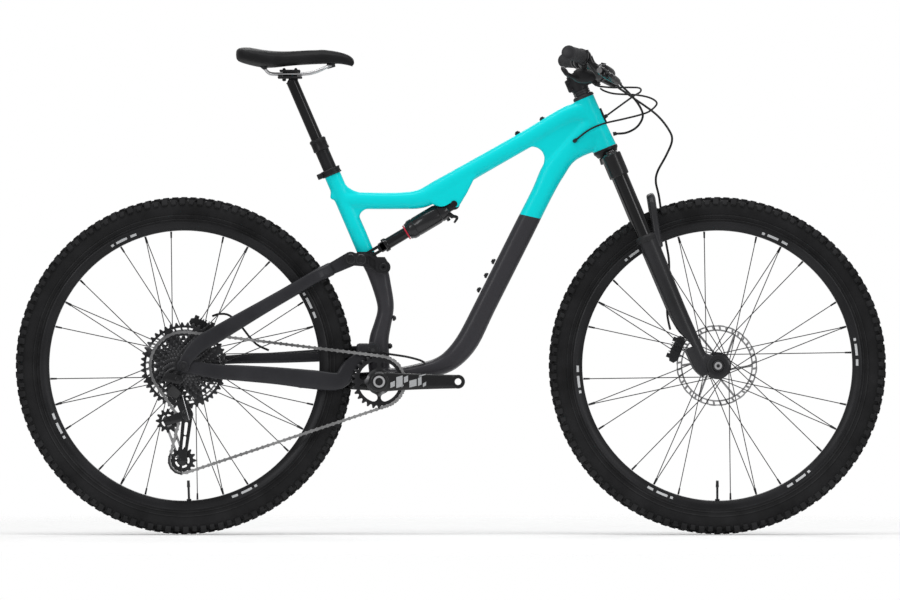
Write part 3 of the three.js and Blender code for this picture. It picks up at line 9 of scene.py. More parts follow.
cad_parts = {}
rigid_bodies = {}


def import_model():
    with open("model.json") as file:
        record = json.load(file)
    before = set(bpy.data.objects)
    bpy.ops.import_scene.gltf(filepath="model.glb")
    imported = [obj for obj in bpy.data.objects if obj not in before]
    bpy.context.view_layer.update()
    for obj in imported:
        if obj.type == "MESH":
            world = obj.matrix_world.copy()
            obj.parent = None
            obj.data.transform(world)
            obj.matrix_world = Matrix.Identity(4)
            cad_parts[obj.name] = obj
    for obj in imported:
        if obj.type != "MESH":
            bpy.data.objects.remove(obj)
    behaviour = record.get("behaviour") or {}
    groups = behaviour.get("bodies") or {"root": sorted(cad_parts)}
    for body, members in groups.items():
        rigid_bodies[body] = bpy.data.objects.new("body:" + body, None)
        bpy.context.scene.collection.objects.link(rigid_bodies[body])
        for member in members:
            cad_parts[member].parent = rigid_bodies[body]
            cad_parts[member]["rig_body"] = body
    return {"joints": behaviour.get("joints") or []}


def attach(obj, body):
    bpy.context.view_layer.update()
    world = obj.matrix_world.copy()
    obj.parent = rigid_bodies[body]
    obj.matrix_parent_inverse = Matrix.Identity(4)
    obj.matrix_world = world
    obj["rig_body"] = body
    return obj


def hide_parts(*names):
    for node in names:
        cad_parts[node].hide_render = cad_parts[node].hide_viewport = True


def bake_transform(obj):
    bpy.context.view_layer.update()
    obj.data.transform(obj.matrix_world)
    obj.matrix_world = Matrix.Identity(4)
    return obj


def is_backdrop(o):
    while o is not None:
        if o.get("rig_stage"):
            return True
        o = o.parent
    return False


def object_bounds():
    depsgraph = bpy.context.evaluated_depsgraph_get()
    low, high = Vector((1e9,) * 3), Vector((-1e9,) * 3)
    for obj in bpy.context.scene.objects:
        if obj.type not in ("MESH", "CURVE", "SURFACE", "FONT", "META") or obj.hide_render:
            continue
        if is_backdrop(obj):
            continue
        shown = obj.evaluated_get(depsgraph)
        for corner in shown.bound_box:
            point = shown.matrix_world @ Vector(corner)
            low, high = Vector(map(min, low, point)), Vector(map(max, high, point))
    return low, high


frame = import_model()
cad_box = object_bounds()
random.seed(29)

# ---------------------------------------------------------------- the studio
# A long lens looks square at the drive side from just above hub height. The bike stands on a
# pale floor that fades into a white room, under one broad lamp overhead and two at the front.
scene = bpy.context.scene
scene.view_settings.view_transform = "Standard"
CAMERA_DISTANCE = 24.0
FIELD_WIDTH = 1.998
VIEW_CENTRE = (-0.0018, 0.520)

camera = bpy.data.objects.new("camera", bpy.data.cameras.new("camera"))
camera.data.sensor_width = 36
camera.data.lens = 36 * CAMERA_DISTANCE / FIELD_WIDTH
camera.data.clip_end = 80
camera.location = (VIEW_CENTRE[0], -CAMERA_DISTANCE, VIEW_CENTRE[1])
camera.rotation_euler = (math.pi / 2, 0, 0)
scene.collection.objects.link(camera)
scene.camera = camera

room = bpy.data.worlds.new("white_room")
room.use_nodes = True
wall = room.node_tree.nodes["Background"]
wall.inputs["Color"].default_value = (1, 1, 1, 1)
seen = room.node_tree.nodes.new("ShaderNodeMapRange")
seen.inputs["To Min"].default_value = 0.42
seen.inputs["To Max"].default_value = 1.0
sight = room.node_tree.nodes.new("ShaderNodeLightPath").outputs["Is Camera Ray"]
room.node_tree.links.new(sight, seen.inputs["Value"])
room.node_tree.links.new(seen.outputs["Result"], wall.inputs["Strength"])
scene.world = room


def studio_lamp(name, place, target, size, watts):
    lamp = bpy.data.lights.new(name, "AREA")
    lamp.shape = "RECTANGLE"
    lamp.size, lamp.size_y = size
    lamp.energy = watts
    holder = bpy.data.objects.new(name, lamp)
    holder.location = place
    holder.rotation_euler = (Vector(target) - Vector(place)).to_track_quat("-Z", "Y").to_euler()
    scene.collection.objects.link(holder)


studio_lamp("overhead", (0, -0.6, 3.6), (0, 0, 0.4), (3.4, 1.4), 62)
studio_lamp("front_left", (-2.6, -3.4, 1.9), (-0.2, 0, 0.5), (1.2, 2.0), 34)
studio_lamp("front_right", (2.8, -3.0, 1.5), (0.2, 0, 0.5), (1.0, 2.0), 26)
studio_lamp("behind", (0.4, 3.2, 2.4), (0, 0, 0.6), (2.4, 1.0), 24)

FLOOR_RADIUS = 2.6
bm = bmesh.new()
bmesh.ops.create_circle(bm, cap_ends=True, segments=96, radius=FLOOR_RADIUS)
floor_mesh = bpy.data.meshes.new("floor")
bm.to_mesh(floor_mesh)
bm.free()
floor = bpy.data.objects.new("floor", floor_mesh)
floor.location.z = -0.0008
scene.collection.objects.link(floor)
floor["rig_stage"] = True
floor_paint = bpy.data.materials.new("floor_paint")
floor_paint.use_nodes = True
nodes, links = floor_paint.node_tree.nodes, floor_paint.node_tree.links
where = nodes.new("ShaderNodeTexCoord")
reach = nodes.new("ShaderNodeVectorMath")
reach.operation = "LENGTH"
links.new(where.outputs["Object"], reach.inputs[0])
fade = nodes.new("ShaderNodeMapRange")
fade.interpolation_type = "SMOOTHSTEP"
fade.inputs["From Min"].default_value = 0.7
fade.inputs["From Max"].default_value = FLOOR_RADIUS * 0.98
fade.inputs["To Min"].default_value = 1
fade.inputs["To Max"].default_value = 0
links.new(reach.outputs["Value"], fade.inputs["Value"])
speckle = nodes.new("ShaderNodeTexNoise")
speckle.inputs["Scale"].default_value = 60
links.new(where.outputs["Object"], speckle.inputs["Vector"])
pale = nodes.new("ShaderNodeMapRange")
pale.inputs["To Min"].default_value = 0.95
pale.inputs["To Max"].default_value = 0.98
links.new(speckle.outputs["Fac"], pale.inputs["Value"])
links.new(pale.outputs["Result"], nodes["Principled BSDF"].inputs["Base Color"])
links.new(fade.outputs["Result"], nodes["Principled BSDF"].inputs["Alpha"])
nodes["Principled BSDF"].inputs["Roughness"].default_value = 0.8
nodes["Principled BSDF"].inputs["Emission Color"].default_value = (1, 1, 1, 1)
nodes["Principled BSDF"].inputs["Emission Strength"].default_value = 0.10
floor_mesh.materials.append(floor_paint)


# ---------------------------------------------------------------- finishes
# Every surface is a Principled finish broken up by the same few things: a fine moulded or cast
# grain, a slow drift of tone, and edges rubbed lighter by use and handling.
def new_group(name, inputs, outputs):
    group = bpy.data.node_groups.new(name, "ShaderNodeTree")
    for label, value in inputs:
        socket = group.interface.new_socket(label, in_out="INPUT", socket_type="NodeSocketFloat")
        socket.default_value = value
    for label in outputs:
        group.interface.new_socket(label, in_out="OUTPUT", socket_type="NodeSocketFloat")
    return group, group.nodes.new("NodeGroupInput"), group.nodes.new("NodeGroupOutput")


def link_range(tree, source, low, high, to_low, to_high):
    """Maps one stretch of a value onto another and gives the result's socket."""
    node = tree.nodes.new("ShaderNodeMapRange")
    for label, value in zip(("From Min", "From Max", "To Min", "To Max"), (low, high, to_low, to_high)):
        if hasattr(value, "links"):
            tree.links.new(value, node.inputs[label])
        else:
            node.inputs[label].default_value = value
    tree.links.new(source, node.inputs["Value"])
    return node.outputs["Result"]


def link_math(tree, operation, a, b):
    node = tree.nodes.new("ShaderNodeMath")
    node.operation = operation
    for socket, value in zip(node.inputs, (a, b)):
        if hasattr(value, "links"):
            tree.links.new(value, socket)
        else:
            socket.default_value = value
    return node.outputs["Value"]


surface_group, given, result = new_group(
    "surface_life",
    [("Grain Scale", 900.0), ("Drift Scale", 9.0), ("Wear", 0.4)],
    ["Grain", "Drift", "Rubbed"],
)
where = surface_group.nodes.new("ShaderNodeTexCoord").outputs["Object"]
grain = surface_group.nodes.new("ShaderNodeTexNoise")
grain.inputs["Detail"].default_value = 3
surface_group.links.new(where, grain.inputs["Vector"])
surface_group.links.new(given.outputs["Grain Scale"], grain.inputs["Scale"])
surface_group.links.new(grain.outputs["Fac"], result.inputs["Grain"])
drift = surface_group.nodes.new("ShaderNodeTexNoise")
drift.inputs["Detail"].default_value = 4
surface_group.links.new(where, drift.inputs["Vector"])
surface_group.links.new(given.outputs["Drift Scale"], drift.inputs["Scale"])
surface_group.links.new(drift.outputs["Fac"], result.inputs["Drift"])
edge = surface_group.nodes.new("ShaderNodeNewGeometry").outputs["Pointiness"]
rubbed = link_range(surface_group, edge, 0.53, 0.62, 0, 1)
patchy = link_range(surface_group, drift.outputs["Fac"], 0.35, 0.65, 0.3, 1)
rubbed = link_math(surface_group, "MULTIPLY", rubbed, patchy)
rubbed = link_math(surface_group, "MULTIPLY", rubbed, given.outputs["Wear"])
surface_group.links.new(rubbed, result.inputs["Rubbed"])


def mix_colour(tree, factor, a, b):
    node = tree.nodes.new("ShaderNodeMix")
    node.data_type = "RGBA"
    for socket, value in ((node.inputs[0], factor), (node.inputs[6], a), (node.inputs[7], b)):
        if hasattr(value, "links"):
            tree.links.new(value, socket)
        elif isinstance(value, (int, float)):
            socket.default_value = value
        else:
            socket.default_value = (*value, 1)
    return node.outputs[2]


def finish(name, dark, light, rough=(0.4, 0.5), metal=0.0, coat=0.0, grain_scale=900,
           drift_scale=9, bump=0.1, depth=0.00005, worn=None, wear=0.4, specular=0.22, overlay=None):
    """A surface between two tones, with grain in its bump and drift in its gloss.
    overlay(material, colour) may paint over the colour before it reaches the shader."""
    material = bpy.data.materials.new(name)
    material.use_nodes = True
    tree = material.node_tree
    shader = tree.nodes["Principled BSDF"]
    life = tree.nodes.new("ShaderNodeGroup")
    life.node_tree = surface_group
    for label, value in (("Grain Scale", grain_scale), ("Drift Scale", drift_scale), ("Wear", wear)):
        life.inputs[label].default_value = value
    tone = link_range(tree, life.outputs["Drift"], 0.3, 0.7, 0, 1)
    colour = mix_colour(tree, tone, dark, light)
    if overlay:
        colour = overlay(tree, colour)
    if worn:
        colour = mix_colour(tree, life.outputs["Rubbed"], colour, worn)
    tree.links.new(colour, shader.inputs["Base Color"])
    gloss = link_math(tree, "MULTIPLY", life.outputs["Grain"], 0.5)
    gloss = link_math(tree, "ADD", gloss, link_math(tree, "MULTIPLY", life.outputs["Drift"], 0.5))
    tree.links.new(link_range(tree, gloss, 0.35, 0.65, *rough), shader.inputs["Roughness"])
    shader.inputs["Metallic"].default_value = metal
    shader.inputs["Coat Weight"].default_value = coat
    shader.inputs["Coat Roughness"].default_value = 0.08
    shader.inputs["Specular IOR Level"].default_value = specular
    relief = tree.nodes.new("ShaderNodeBump")
    relief.inputs["Strength"].default_value = bump
    relief.inputs["Distance"].default_value = depth
    tree.links.new(life.outputs["Grain"], relief.inputs["Height"])
    tree.links.new(relief.outputs["Normal"], shader.inputs["Normal"])
    return material


satin_black = finish("satin_black_alloy", (0.012, 0.012, 0.013), (0.022, 0.022, 0.024), (0.32, 0.45),
                     metal=0.35, bump=0.15, worn=(0.10, 0.10, 0.105), wear=0.5)
gloss_black = finish("gloss_black_alloy", (0.008, 0.008, 0.009), (0.015, 0.015, 0.017), (0.16, 0.26),
                     metal=0.2, coat=0.4, bump=0.05, worn=(0.08, 0.08, 0.085), wear=0.4)
moulded_black = finish("moulded_black", (0.013, 0.013, 0.014), (0.022, 0.022, 0.024), (0.45, 0.6),
                       grain_scale=1600, bump=0.3, worn=(0.05, 0.05, 0.052), wear=0.4)
bare_steel = finish("bare_steel", (0.42, 0.42, 0.43), (0.60, 0.60, 0.61), (0.22, 0.36), metal=1.0,
                    grain_scale=2200, bump=0.08, worn=(0.75, 0.75, 0.76), wear=0.4)
silver_alloy = finish("silver_alloy", (0.50, 0.50, 0.51), (0.66, 0.66, 0.67), (0.25, 0.38), metal=1.0,
                      grain_scale=1800, bump=0.08)


# ---------------------------------------------------------------- main frame
# The front triangle is one carbon fibre shell with a painted upper half and bare, dark lower tubes.
# Its tubes are lofted, run together into one skin with soft junctions, then trimmed at their ends.
MM = 0.001


def place_of(joint_name):
    """Where a joint's axis crosses the middle plane, in millimetres."""
    joint = next(j for j in frame["joints"] if j["name"] == joint_name)
    return Vector(joint["pos_m"]) / MM


REAR_AXLE = place_of("rear_wheel_spin")
FRONT_AXLE = place_of("front_wheel_spin")
BB = place_of("crank_spin")
MAIN_PIVOT = place_of("rear_suspension")
ROCKER_PIVOT = place_of("rocker_pivot")
SHOCK_MOUNT = place_of("shock_swing")
HEAD_TILT = math.radians(22.7)
SEAT_TILT = math.radians(23.4)
FORK_OFFSET = 44
SEAT_TOP = BB + Vector((-103.9, 0, 458.2))
STAY_PIVOT = BB + Vector((-63.1, 0, 271.8))
YOKE_PIVOT = BB + Vector((-40.4, 0, 270.6))
HEAD_TUBE = (541.4, 661.7)
STEERING = Matrix.Rotation(-HEAD_TILT, 4, "Y")
STEER_FOOT = FRONT_AXLE - STEERING.to_3x3() @ Vector((FORK_OFFSET, 0, 0))
STEERING = Matrix.Translation(STEER_FOOT) @ STEERING
SEAT_POST = Matrix.Translation(SEAT_TOP) @ Matrix.Rotation(-SEAT_TILT, 4, "Y")
ACROSS = Vector((0, 1, 0))


def in_steering(ahead, side, up):
    """A place ahead of, beside and along the steering axis, measured from the axle's height."""
    return STEERING @ Vector((ahead, side, up))


def on_post(ahead, side, up):
    return SEAT_POST @ Vector((ahead, side, up))


def eased(stations, per_span):
    """Fills in between chosen stations along a smooth curve through all their numbers."""
    filled = []
    for i in range(len(stations) - 1):
        four = [stations[max(i - 1, 0)], stations[i], stations[i + 1],
                stations[min(i + 2, len(stations) - 1)]]
        for k in range(per_span):
            t = k / per_span
            filled.append(tuple(
                0.5 * (2 * b + (c - a) * t + (2 * a - 5 * b + 4 * c - d) * t * t
                       + (3 * b - a - 3 * c + d) * t**3)
                for a, b, c, d in zip(*four)
            ))
    return filled + [tuple(stations[-1])]


def lofted(bm, stations, sides=24, square=2.0, per_span=4, across=ACROSS, ring=False):
    """A tube through stations of (x, y, z, half depth, half width), with closed ends."""
    line = eased(stations, per_span) if per_span > 1 else stations
    loops = []
    for i, (x, y, z, deep, wide) in enumerate(line):
        before, after = Vector(line[i - 1][:3]), Vector(line[(i + 1) % len(line)][:3])
        if not ring and i == 0:
            before = Vector(line[0][:3])
        if not ring and i == len(line) - 1:
            after = Vector(line[i][:3])
        ahead = (after - before).normalized()
        out = ahead.cross(across).normalized()
        side = out.cross(ahead).normalized()
        turn = Matrix((out, side, ahead)).transposed().to_4x4()
        made = bmesh.ops.create_circle(bm, cap_ends=False, radius=1, segments=sides)["verts"]
        for vert in made:
            u, v = vert.co.x, vert.co.y
            vert.co.x = math.copysign(abs(u) ** (2 / square), u) * deep
            vert.co.y = math.copysign(abs(v) ** (2 / square), v) * wide
        bmesh.ops.transform(bm, matrix=Matrix.Translation((x, y, z)) @ turn, verts=made)
        loops.append(list({edge for vert in made for edge in vert.link_edges}))
    if ring:
        loops.append(loops[0])
    for a, b in zip(loops, loops[1:]):
        bmesh.ops.bridge_loops(bm, edges=a + b)
    if not ring:
        for end in (loops[0], loops[-1]):
            bmesh.ops.edgeloop_fill(bm, edges=end)


def tube(bm, points, radius, sides=12, per_span=4, across=ACROSS, ring=False):
    """A round bar or hose of one thickness, or of a thickness given for each point."""
    sizes = radius if isinstance(radius, (list, tuple)) else [radius] * len(points)
    lofted(bm, [(*p, r, r) for p, r in zip(points, sizes)], sides, 2.0, per_span, across, ring)


def outline_loop(bm, points, y):
    verts = [bm.verts.new((p[0], y, p[1])) for p in points]
    return [bm.edges.new((a, b)) for a, b in zip(verts, verts[1:] + verts[:1])]


def soften_edges(bm, edges, amount):
    bmesh.ops.bevel(bm, geom=list(edges), offset=amount, segments=2, profile=0.5, affect="EDGES",
                    material=-1, clamp_overlap=True)


def slab(bm, loops, y0, y1, soften=0.0):
    """Sheet or plate between two stations across the bike: an outline first, then its windows."""
    before = set(bm.edges)
    edges = [edge for points in loops for edge in outline_loop(bm, points, y0)]
    filled = bmesh.ops.triangle_fill(bm, edges=edges, use_beauty=True)["geom"]
    faces = [part for part in filled if isinstance(part, bmesh.types.BMFace)]
    grown = bmesh.ops.extrude_face_region(bm, geom=faces, use_keep_orig=True)["geom"]
    bmesh.ops.translate(bm, verts=[v for v in grown if isinstance(v, bmesh.types.BMVert)],
                        vec=(0, y1 - y0, 0))
    if soften:
        rim = [e for e in bm.edges if e not in before and len(e.link_faces) == 2
               and e.calc_face_angle(0) > 0.9 and abs(e.verts[0].co.y - e.verts[1].co.y) < 1e-6]
        soften_edges(bm, rim, soften)


def arc(centre, radius, start, end, steps, lift=1.0):
    """Points of a round stretch of outline, angles in degrees from +X towards +Z."""
    return [(centre[0] + radius * math.cos(math.radians(start + (end - start) * i / steps)),
             centre[1] + lift * radius * math.sin(math.radians(start + (end - start) * i / steps)))
            for i in range(steps + 1)]


def drum(bm, place, radius, y0, y1, sides=32, end_radius=None, soften=0.0):
    """A round boss, bolt head or axle across the bike."""
    spot = Matrix.Translation((place[0], (y0 + y1) / 2, place[2])) @ Matrix.Rotation(-math.pi / 2, 4, "X")
    tip = radius if end_radius is None else end_radius
    made = bmesh.ops.create_cone(bm, cap_ends=True, segments=sides, radius1=radius, radius2=tip,
                                 depth=y1 - y0, matrix=spot)["verts"]
    if soften:
        round_rims(bm, made, soften)


def rod(bm, a, b, radius, sides=24, end_radius=None, soften=0.0):
    """A round bar from one point to another."""
    a, b = Vector(a), Vector(b)
    spot = Matrix.Translation((a + b) / 2) @ (b - a).to_track_quat("Z", "Y").to_matrix().to_4x4()
    tip = radius if end_radius is None else end_radius
    made = bmesh.ops.create_cone(bm, cap_ends=True, segments=sides, radius1=radius, radius2=tip,
                                 depth=(b - a).length, matrix=spot)["verts"]
    if soften:
        round_rims(bm, made, soften)


def round_rims(bm, made, soften):
    edges = {edge for vert in made for edge in vert.link_edges}
    soften_edges(bm, {edge for edge in edges if any(len(face.verts) > 4 for face in edge.link_faces)},
                 soften)


def block(bm, matrix, size, soften=0.0):
    made = bmesh.ops.create_cube(bm, size=1, matrix=matrix @ Matrix.Diagonal((*size, 1)))["verts"]
    if soften:
        soften_edges(bm, {edge for vert in made for edge in vert.link_edges}, soften)


def spun(bm, profile, axis_place, segments=96):
    """A ring or disc about a cross axle, from a closed profile of (radius, y)."""
    verts = [bm.verts.new((axis_place[0] + r, y, axis_place[2])) for r, y in profile]
    edges = [bm.edges.new((a, b)) for a, b in zip(verts, verts[1:] + verts[:1])]
    bmesh.ops.spin(bm, geom=verts + edges, cent=axis_place, axis=(0, 1, 0), angle=math.tau,
                   steps=segments, use_merge=True)


def as_object(name, bm, sharp=35):
    """Brings a mesh drawn in millimetres into the frame's metres."""
    bmesh.ops.recalc_face_normals(bm, faces=bm.faces)
    bmesh.ops.scale(bm, vec=(MM, MM, MM), verts=bm.verts)
    mesh = bpy.data.meshes.new(name)
    bm.to_mesh(mesh)
    bm.free()
    mesh.shade_smooth()
    mesh.set_sharp_from_angle(angle=math.radians(sharp))
    made = bpy.data.objects.new(name, mesh)
    scene.collection.objects.link(made)
    return made


def fit_piece(made, material, body, slot, *stands_for):
    """Gives a finished object its material and its body, and hides the nodes it stands for."""
    made.data.materials.clear()
    made.data.materials.append(material)
    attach(made, body)
    if stands_for:
        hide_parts(*stands_for)
    return made


def piece(name, bm, material, body, slot, *stands_for, sharp=35):
    return fit_piece(as_object(name, bm, sharp), material, body, slot, *stands_for)


def apply_modifiers(made):
    """Settles an object's modifiers into its mesh."""
    settled = bpy.data.meshes.new_from_object(made.evaluated_get(bpy.context.evaluated_depsgraph_get()))
    made.modifiers.clear()
    old, made.data = made.data, settled
    settled.name = old.name
    bpy.data.meshes.remove(old)


def run_together(made, voxel, rounds, cutter=None, sharp=50):
    """Runs overlapping tubes into one skin with soft junctions, then trims it with a cutter."""
    skin = made.modifiers.new("skin", "REMESH")
    skin.mode = "VOXEL"
    skin.voxel_size = voxel * MM
    soft = made.modifiers.new("soft", "SMOOTH")
    soft.factor = 0.5
    soft.iterations = rounds
    if cutter:
        trim = made.modifiers.new("trim", "BOOLEAN")
        trim.operation = "DIFFERENCE"
        trim.solver = "MANIFOLD"
        trim.object = cutter
    bpy.context.view_layer.update()
    apply_modifiers(made)
    if cutter:
        bpy.data.objects.remove(cutter)
    made.data.shade_smooth()
    made.data.set_sharp_from_angle(angle=math.radians(sharp))
    return made


def at_bb(dx, dz, side=0.0):
    return (BB[0] + dx, side, BB[2] + dz)


def between(a, b, t):
    return tuple(Vector(a).lerp(Vector(b), t))


bm = bmesh.new()
lofted(bm, [
    (*in_steering(0, 0, HEAD_TUBE[0] - 4), 27.2, 27.2),
    (*in_steering(0, 0, HEAD_TUBE[0] + 22), 25.6, 26),
    (*in_steering(0, 0, (HEAD_TUBE[0] + HEAD_TUBE[1]) / 2), 24, 25),
    (*in_steering(0, 0, HEAD_TUBE[1] - 15), 22.9, 24),
    (*in_steering(0, 0, HEAD_TUBE[1] + 4), 22.7, 24),
], 40, 2)
rise = (SHOCK_MOUNT[0] + 7, 0, SHOCK_MOUNT[2] + 56)
collar = tuple(in_steering(-44, 0, HEAD_TUBE[0] + 99))
lofted(bm, [
    (*on_post(0, 0, -60), 18, 18.5),
    (SEAT_TOP[0] + 72, 0, SEAT_TOP[2] - 57, 18.5, 19.5),
    (SEAT_TOP[0] + 150, 0, SEAT_TOP[2] - 57, 18.5, 21.5),
    (SHOCK_MOUNT[0] - 73, 0, SHOCK_MOUNT[2] + 12, 21, 24.5),
    (SHOCK_MOUNT[0] - 30, 0, SHOCK_MOUNT[2] + 33, 23, 25.6),
    (*rise, 20.8, 25.6),
    (*between(rise, collar, 0.33), 19.9, 24.5),
    (*between(rise, collar, 0.66), 19.9, 23.5),
    (*collar, 21.5, 23.5),
    (*in_steering(-6, 0, HEAD_TUBE[0] + 86), 26.5, 23),
], 40, 2.7)
throat = tuple(in_steering(-8, 0, HEAD_TUBE[0] + 44))
shoulder = tuple(in_steering(-124, 0, HEAD_TUBE[0] - 1))
belly = at_bb(197.2, 91.8)
lofted(bm, [
    (*at_bb(6, 8), 20, 36),
    (*at_bb(50, 15), 17, 36),
    (*at_bb(92, 23), 18, 34),
    (*at_bb(132, 33), 20, 32),
    (*at_bb(164, 52), 23, 30),
    (*belly, 25, 29),
    (*between(belly, shoulder, 0.19), 23.8, 29.4),
    (*between(belly, shoulder, 0.47), 23.8, 29.4),
    (*between(belly, shoulder, 0.66), 23.8, 28.4),
    (*between(belly, shoulder, 0.86), 23.4, 27.4),
    (*shoulder, 26.3, 26.4),
    (*in_steering(-76, 0, HEAD_TUBE[0] + 25), 25.4, 25.4),
    (*throat, 44.2, 24.4),
], 40, 2.8)
lofted(bm, [
    (*on_post(0, 0, 4), 18.4, 18.4),
    (*on_post(0, 0, -60), 18.4, 18.4),
    (*on_post(0, 0, -118), 18.4, 18.4),
    (*on_post(0, 0, -145), 18.6, 16.7),
    (*on_post(0, 0, -205), 18.6, 16.5),
    (*at_bb(-4.8, 244.8), 23.5, 17.2),
    (*at_bb(5.7, 209.8), 21, 20),
    (*at_bb(13.5, 173.8), 18.7, 22),
    (*at_bb(12.7, 150), 18, 22),
    (*at_bb(5.7, 120.8), 19.5, 23),
    (*at_bb(-1, 90), 22, 24),
    (*at_bb(-1, 40), 24, 24),
    (*at_bb(0, 4), 20, 30),
], 40, 2.3)
drum(bm, BB, 25.4, -48, 48, 48)
drum(bm, MAIN_PIVOT, 16.4, -24.4, 24.4, 40)
drum(bm, ROCKER_PIVOT, 12.3, -29, 29, 32)
# Webs fill the corners where the tubes meet.
WEBS = [
    (14,
     [(-268, 745), (-262, 800), (-245, 795), (-238, 782), (-229, 771), (-216, 763), (-200, 758.5),
      (-170, 758),
          (-170, 735), (-240, 735)]),
    (14, [(-225, 745), (-206, 690), (-203.5, 705), (-199, 715), (-190, 721.5), (-176, 723.5), (-170, 745)]),
    (18,
     [(150, 850), (165, 854), (180, 861), (193, 858), (203, 850), (208, 838), (207, 826), (203, 812),
      (228, 808),
          (282, 845), (322, 872), (310, 930), (258, 928), (150, 880)]),
]
for half, outline in WEBS:
    slab(bm, [outline], -half, half, soften=3)
gusset = [(-60, 750), (-40, 732), (-16, 723), (17, 725.5), (36, 757), (52.5, 790), (60, 797), (20, 800)]
for side in (-1, 1):
    slab(bm, [gusset], *sorted((side * 15.6, side * 25.2)), soften=3)
frame_shell = as_object("frame_shell", bm)

trim = bmesh.new()
top_end = Matrix.Translation(in_steering(0, 0, HEAD_TUBE[1] + 20)) @ Matrix.Rotation(-HEAD_TILT, 4, "Y")
block(trim, top_end, (80, 90, 40))
low_end = Matrix.Translation(in_steering(0, 0, HEAD_TUBE[0] - 20)) @ Matrix.Rotation(-HEAD_TILT, 4, "Y")
block(trim, low_end, (80, 90, 40))
rod(trim, on_post(0, 0, 0), on_post(0, 0, 30), 26, 48)
for side in (-1, 1):
    drum(trim, BB, 34, *sorted((side * 45, side * 60)), sides=48)
    drum(trim, MAIN_PIVOT, 24, *sorted((side * 24, side * 34)), sides=48)
trim_object = as_object("frame_trim", trim)
trim = bmesh.new()
rod(trim, SHOCK_MOUNT, SHOCK_MOUNT.lerp(YOKE_PIVOT, 0.5), 26, 40)
drum(trim, SHOCK_MOUNT, 26, -15.2, 15.2, 40)
shock_room = as_object("shock_room", trim)
run_together(frame_shell, 2.4, 9, shock_room)
final_trim = frame_shell.modifiers.new("ends", "BOOLEAN")
final_trim.operation = "DIFFERENCE"
final_trim.solver = "MANIFOLD"
final_trim.object = trim_object
bpy.context.view_layer.update()
apply_modifiers(frame_shell)
bpy.data.objects.remove(trim_object)
frame_shell.data.shade_smooth()
frame_shell.data.set_sharp_from_angle(angle=math.radians(50))

TEAL = (0.001, 0.74, 0.77)
TEAL_DEEP = (0.001, 0.69, 0.72)
CARBON = (0.030, 0.029, 0.033)
CARBON_LIGHT = (0.050, 0.049, 0.055)


def two_tone(tree, colour):
    """Bare dark carbon below a line that steps up from the seat tube to the down tube."""
    spot = tree.nodes.new("ShaderNodeSeparateXYZ")
    tree.links.new(tree.nodes.new("ShaderNodeTexCoord").outputs["Object"], spot.inputs[0])
    line = link_range(tree, spot.outputs["X"], -0.130, 0.151, 0.627, 0.711)
    drop = link_range(tree, spot.outputs["X"], 0.151, 0.1945, 0, 0.010)
    above = link_math(tree, "SUBTRACT", spot.outputs["Z"], link_math(tree, "SUBTRACT", line, drop))
    painted = link_range(tree, above, -0.0003, 0.0003, 0, 1)
    fleck = tree.nodes.new("ShaderNodeTexNoise")
    fleck.inputs["Scale"].default_value = 420
    bare = mix_colour(tree, fleck.outputs["Fac"], CARBON, CARBON_LIGHT)
    return mix_colour(tree, painted, bare, colour)


frame_paint = finish("frame_paint", TEAL_DEEP, TEAL, (0.28, 0.36), coat=0.06, grain_scale=2400,
                     drift_scale=3,
                     bump=0.04, wear=0.0, overlay=two_tone, specular=0.12)
fit_piece(frame_shell, frame_paint, "frame", "frame_paint", "main_frame")

# Small bolts plug the bottle and guide bosses, and a shaped guard keeps the housings off the paint.
bm = bmesh.new()
BOSSES = [
    ((202.5, 922.4), (-0.46, 0.888)),
    ((147.6, 890.7), (-0.46, 0.888)),
    ((78, 575), (-0.89, 0.45)),
    ((94, 606), (-0.89, 0.45)),
    ((62, 543), (-0.89, 0.45)),
    ((-125.5, 480), (0.99, 0.1)),
    ((-134, 418), (0.99, 0.1)),
]
for (x, z), (dx, dz) in BOSSES:
    out = Vector((dx, 0, dz))
    foot = Vector((x, 0, z))
    rod(bm, foot - out * 4, foot + out * 1.5, 6.2, 20, soften=0.5)
    rod(bm, foot + out * 1.2, foot + out * 4.2, 4.4, 20, 3.6, soften=0.6)
for side in (-1, 1):
    drum(bm, SHOCK_MOUNT, 7.4, *sorted((side * 24.6, side * 27.4)), sides=36, soften=0.8)
    drum(bm, SHOCK_MOUNT, 4.6, *sorted((side * 27, side * 28.4)), sides=24, soften=0.4)
piece("boss_bolts", bm, satin_black, "frame", "black_alloy")
bm = bmesh.new()
tube(bm, [(-150, -29.5, 405), (-138, -30, 400.5), (-99.5, -31, 394.5), (-70, -30, 387), (-58, -27, 381)],
     2.5, 14, 5)
piece("exit_hose", bm, satin_black, "frame", "hose_black")

# ---------------------------------------------------------------- rear stays
# The chainstay and the seatstay are moulded in dark carbon. They turn about each other on the
# rear axle, with the chainstay's yoke on the main pivot and the seatstay's two ears on the rocker's pins.
STAY_INNER = 74.5
STAY_END = 5.6
SEATSTAY_INNER = STAY_INNER + STAY_END + 0.7
TYRE_SIDE = 34
CHAINSTAY_MID = STAY_INNER + STAY_END / 2
SEATSTAY_MID = SEATSTAY_INNER + STAY_END / 2

stay_carbon = finish("stay_carbon", (0.017, 0.017, 0.020), (0.027, 0.027, 0.031), (0.34, 0.46), coat=0.05,
                     grain_scale=1500, drift_scale=14, bump=0.12, worn=(0.06, 0.06, 0.063), wear=0.3)


def by_axle(dx, dz, side):
    return (REAR_AXLE[0] + dx, side, REAR_AXLE[2] + dz)


def by_main(dx, dz, side):
    return (MAIN_PIVOT[0] + dx, side, MAIN_PIVOT[2] + dz)


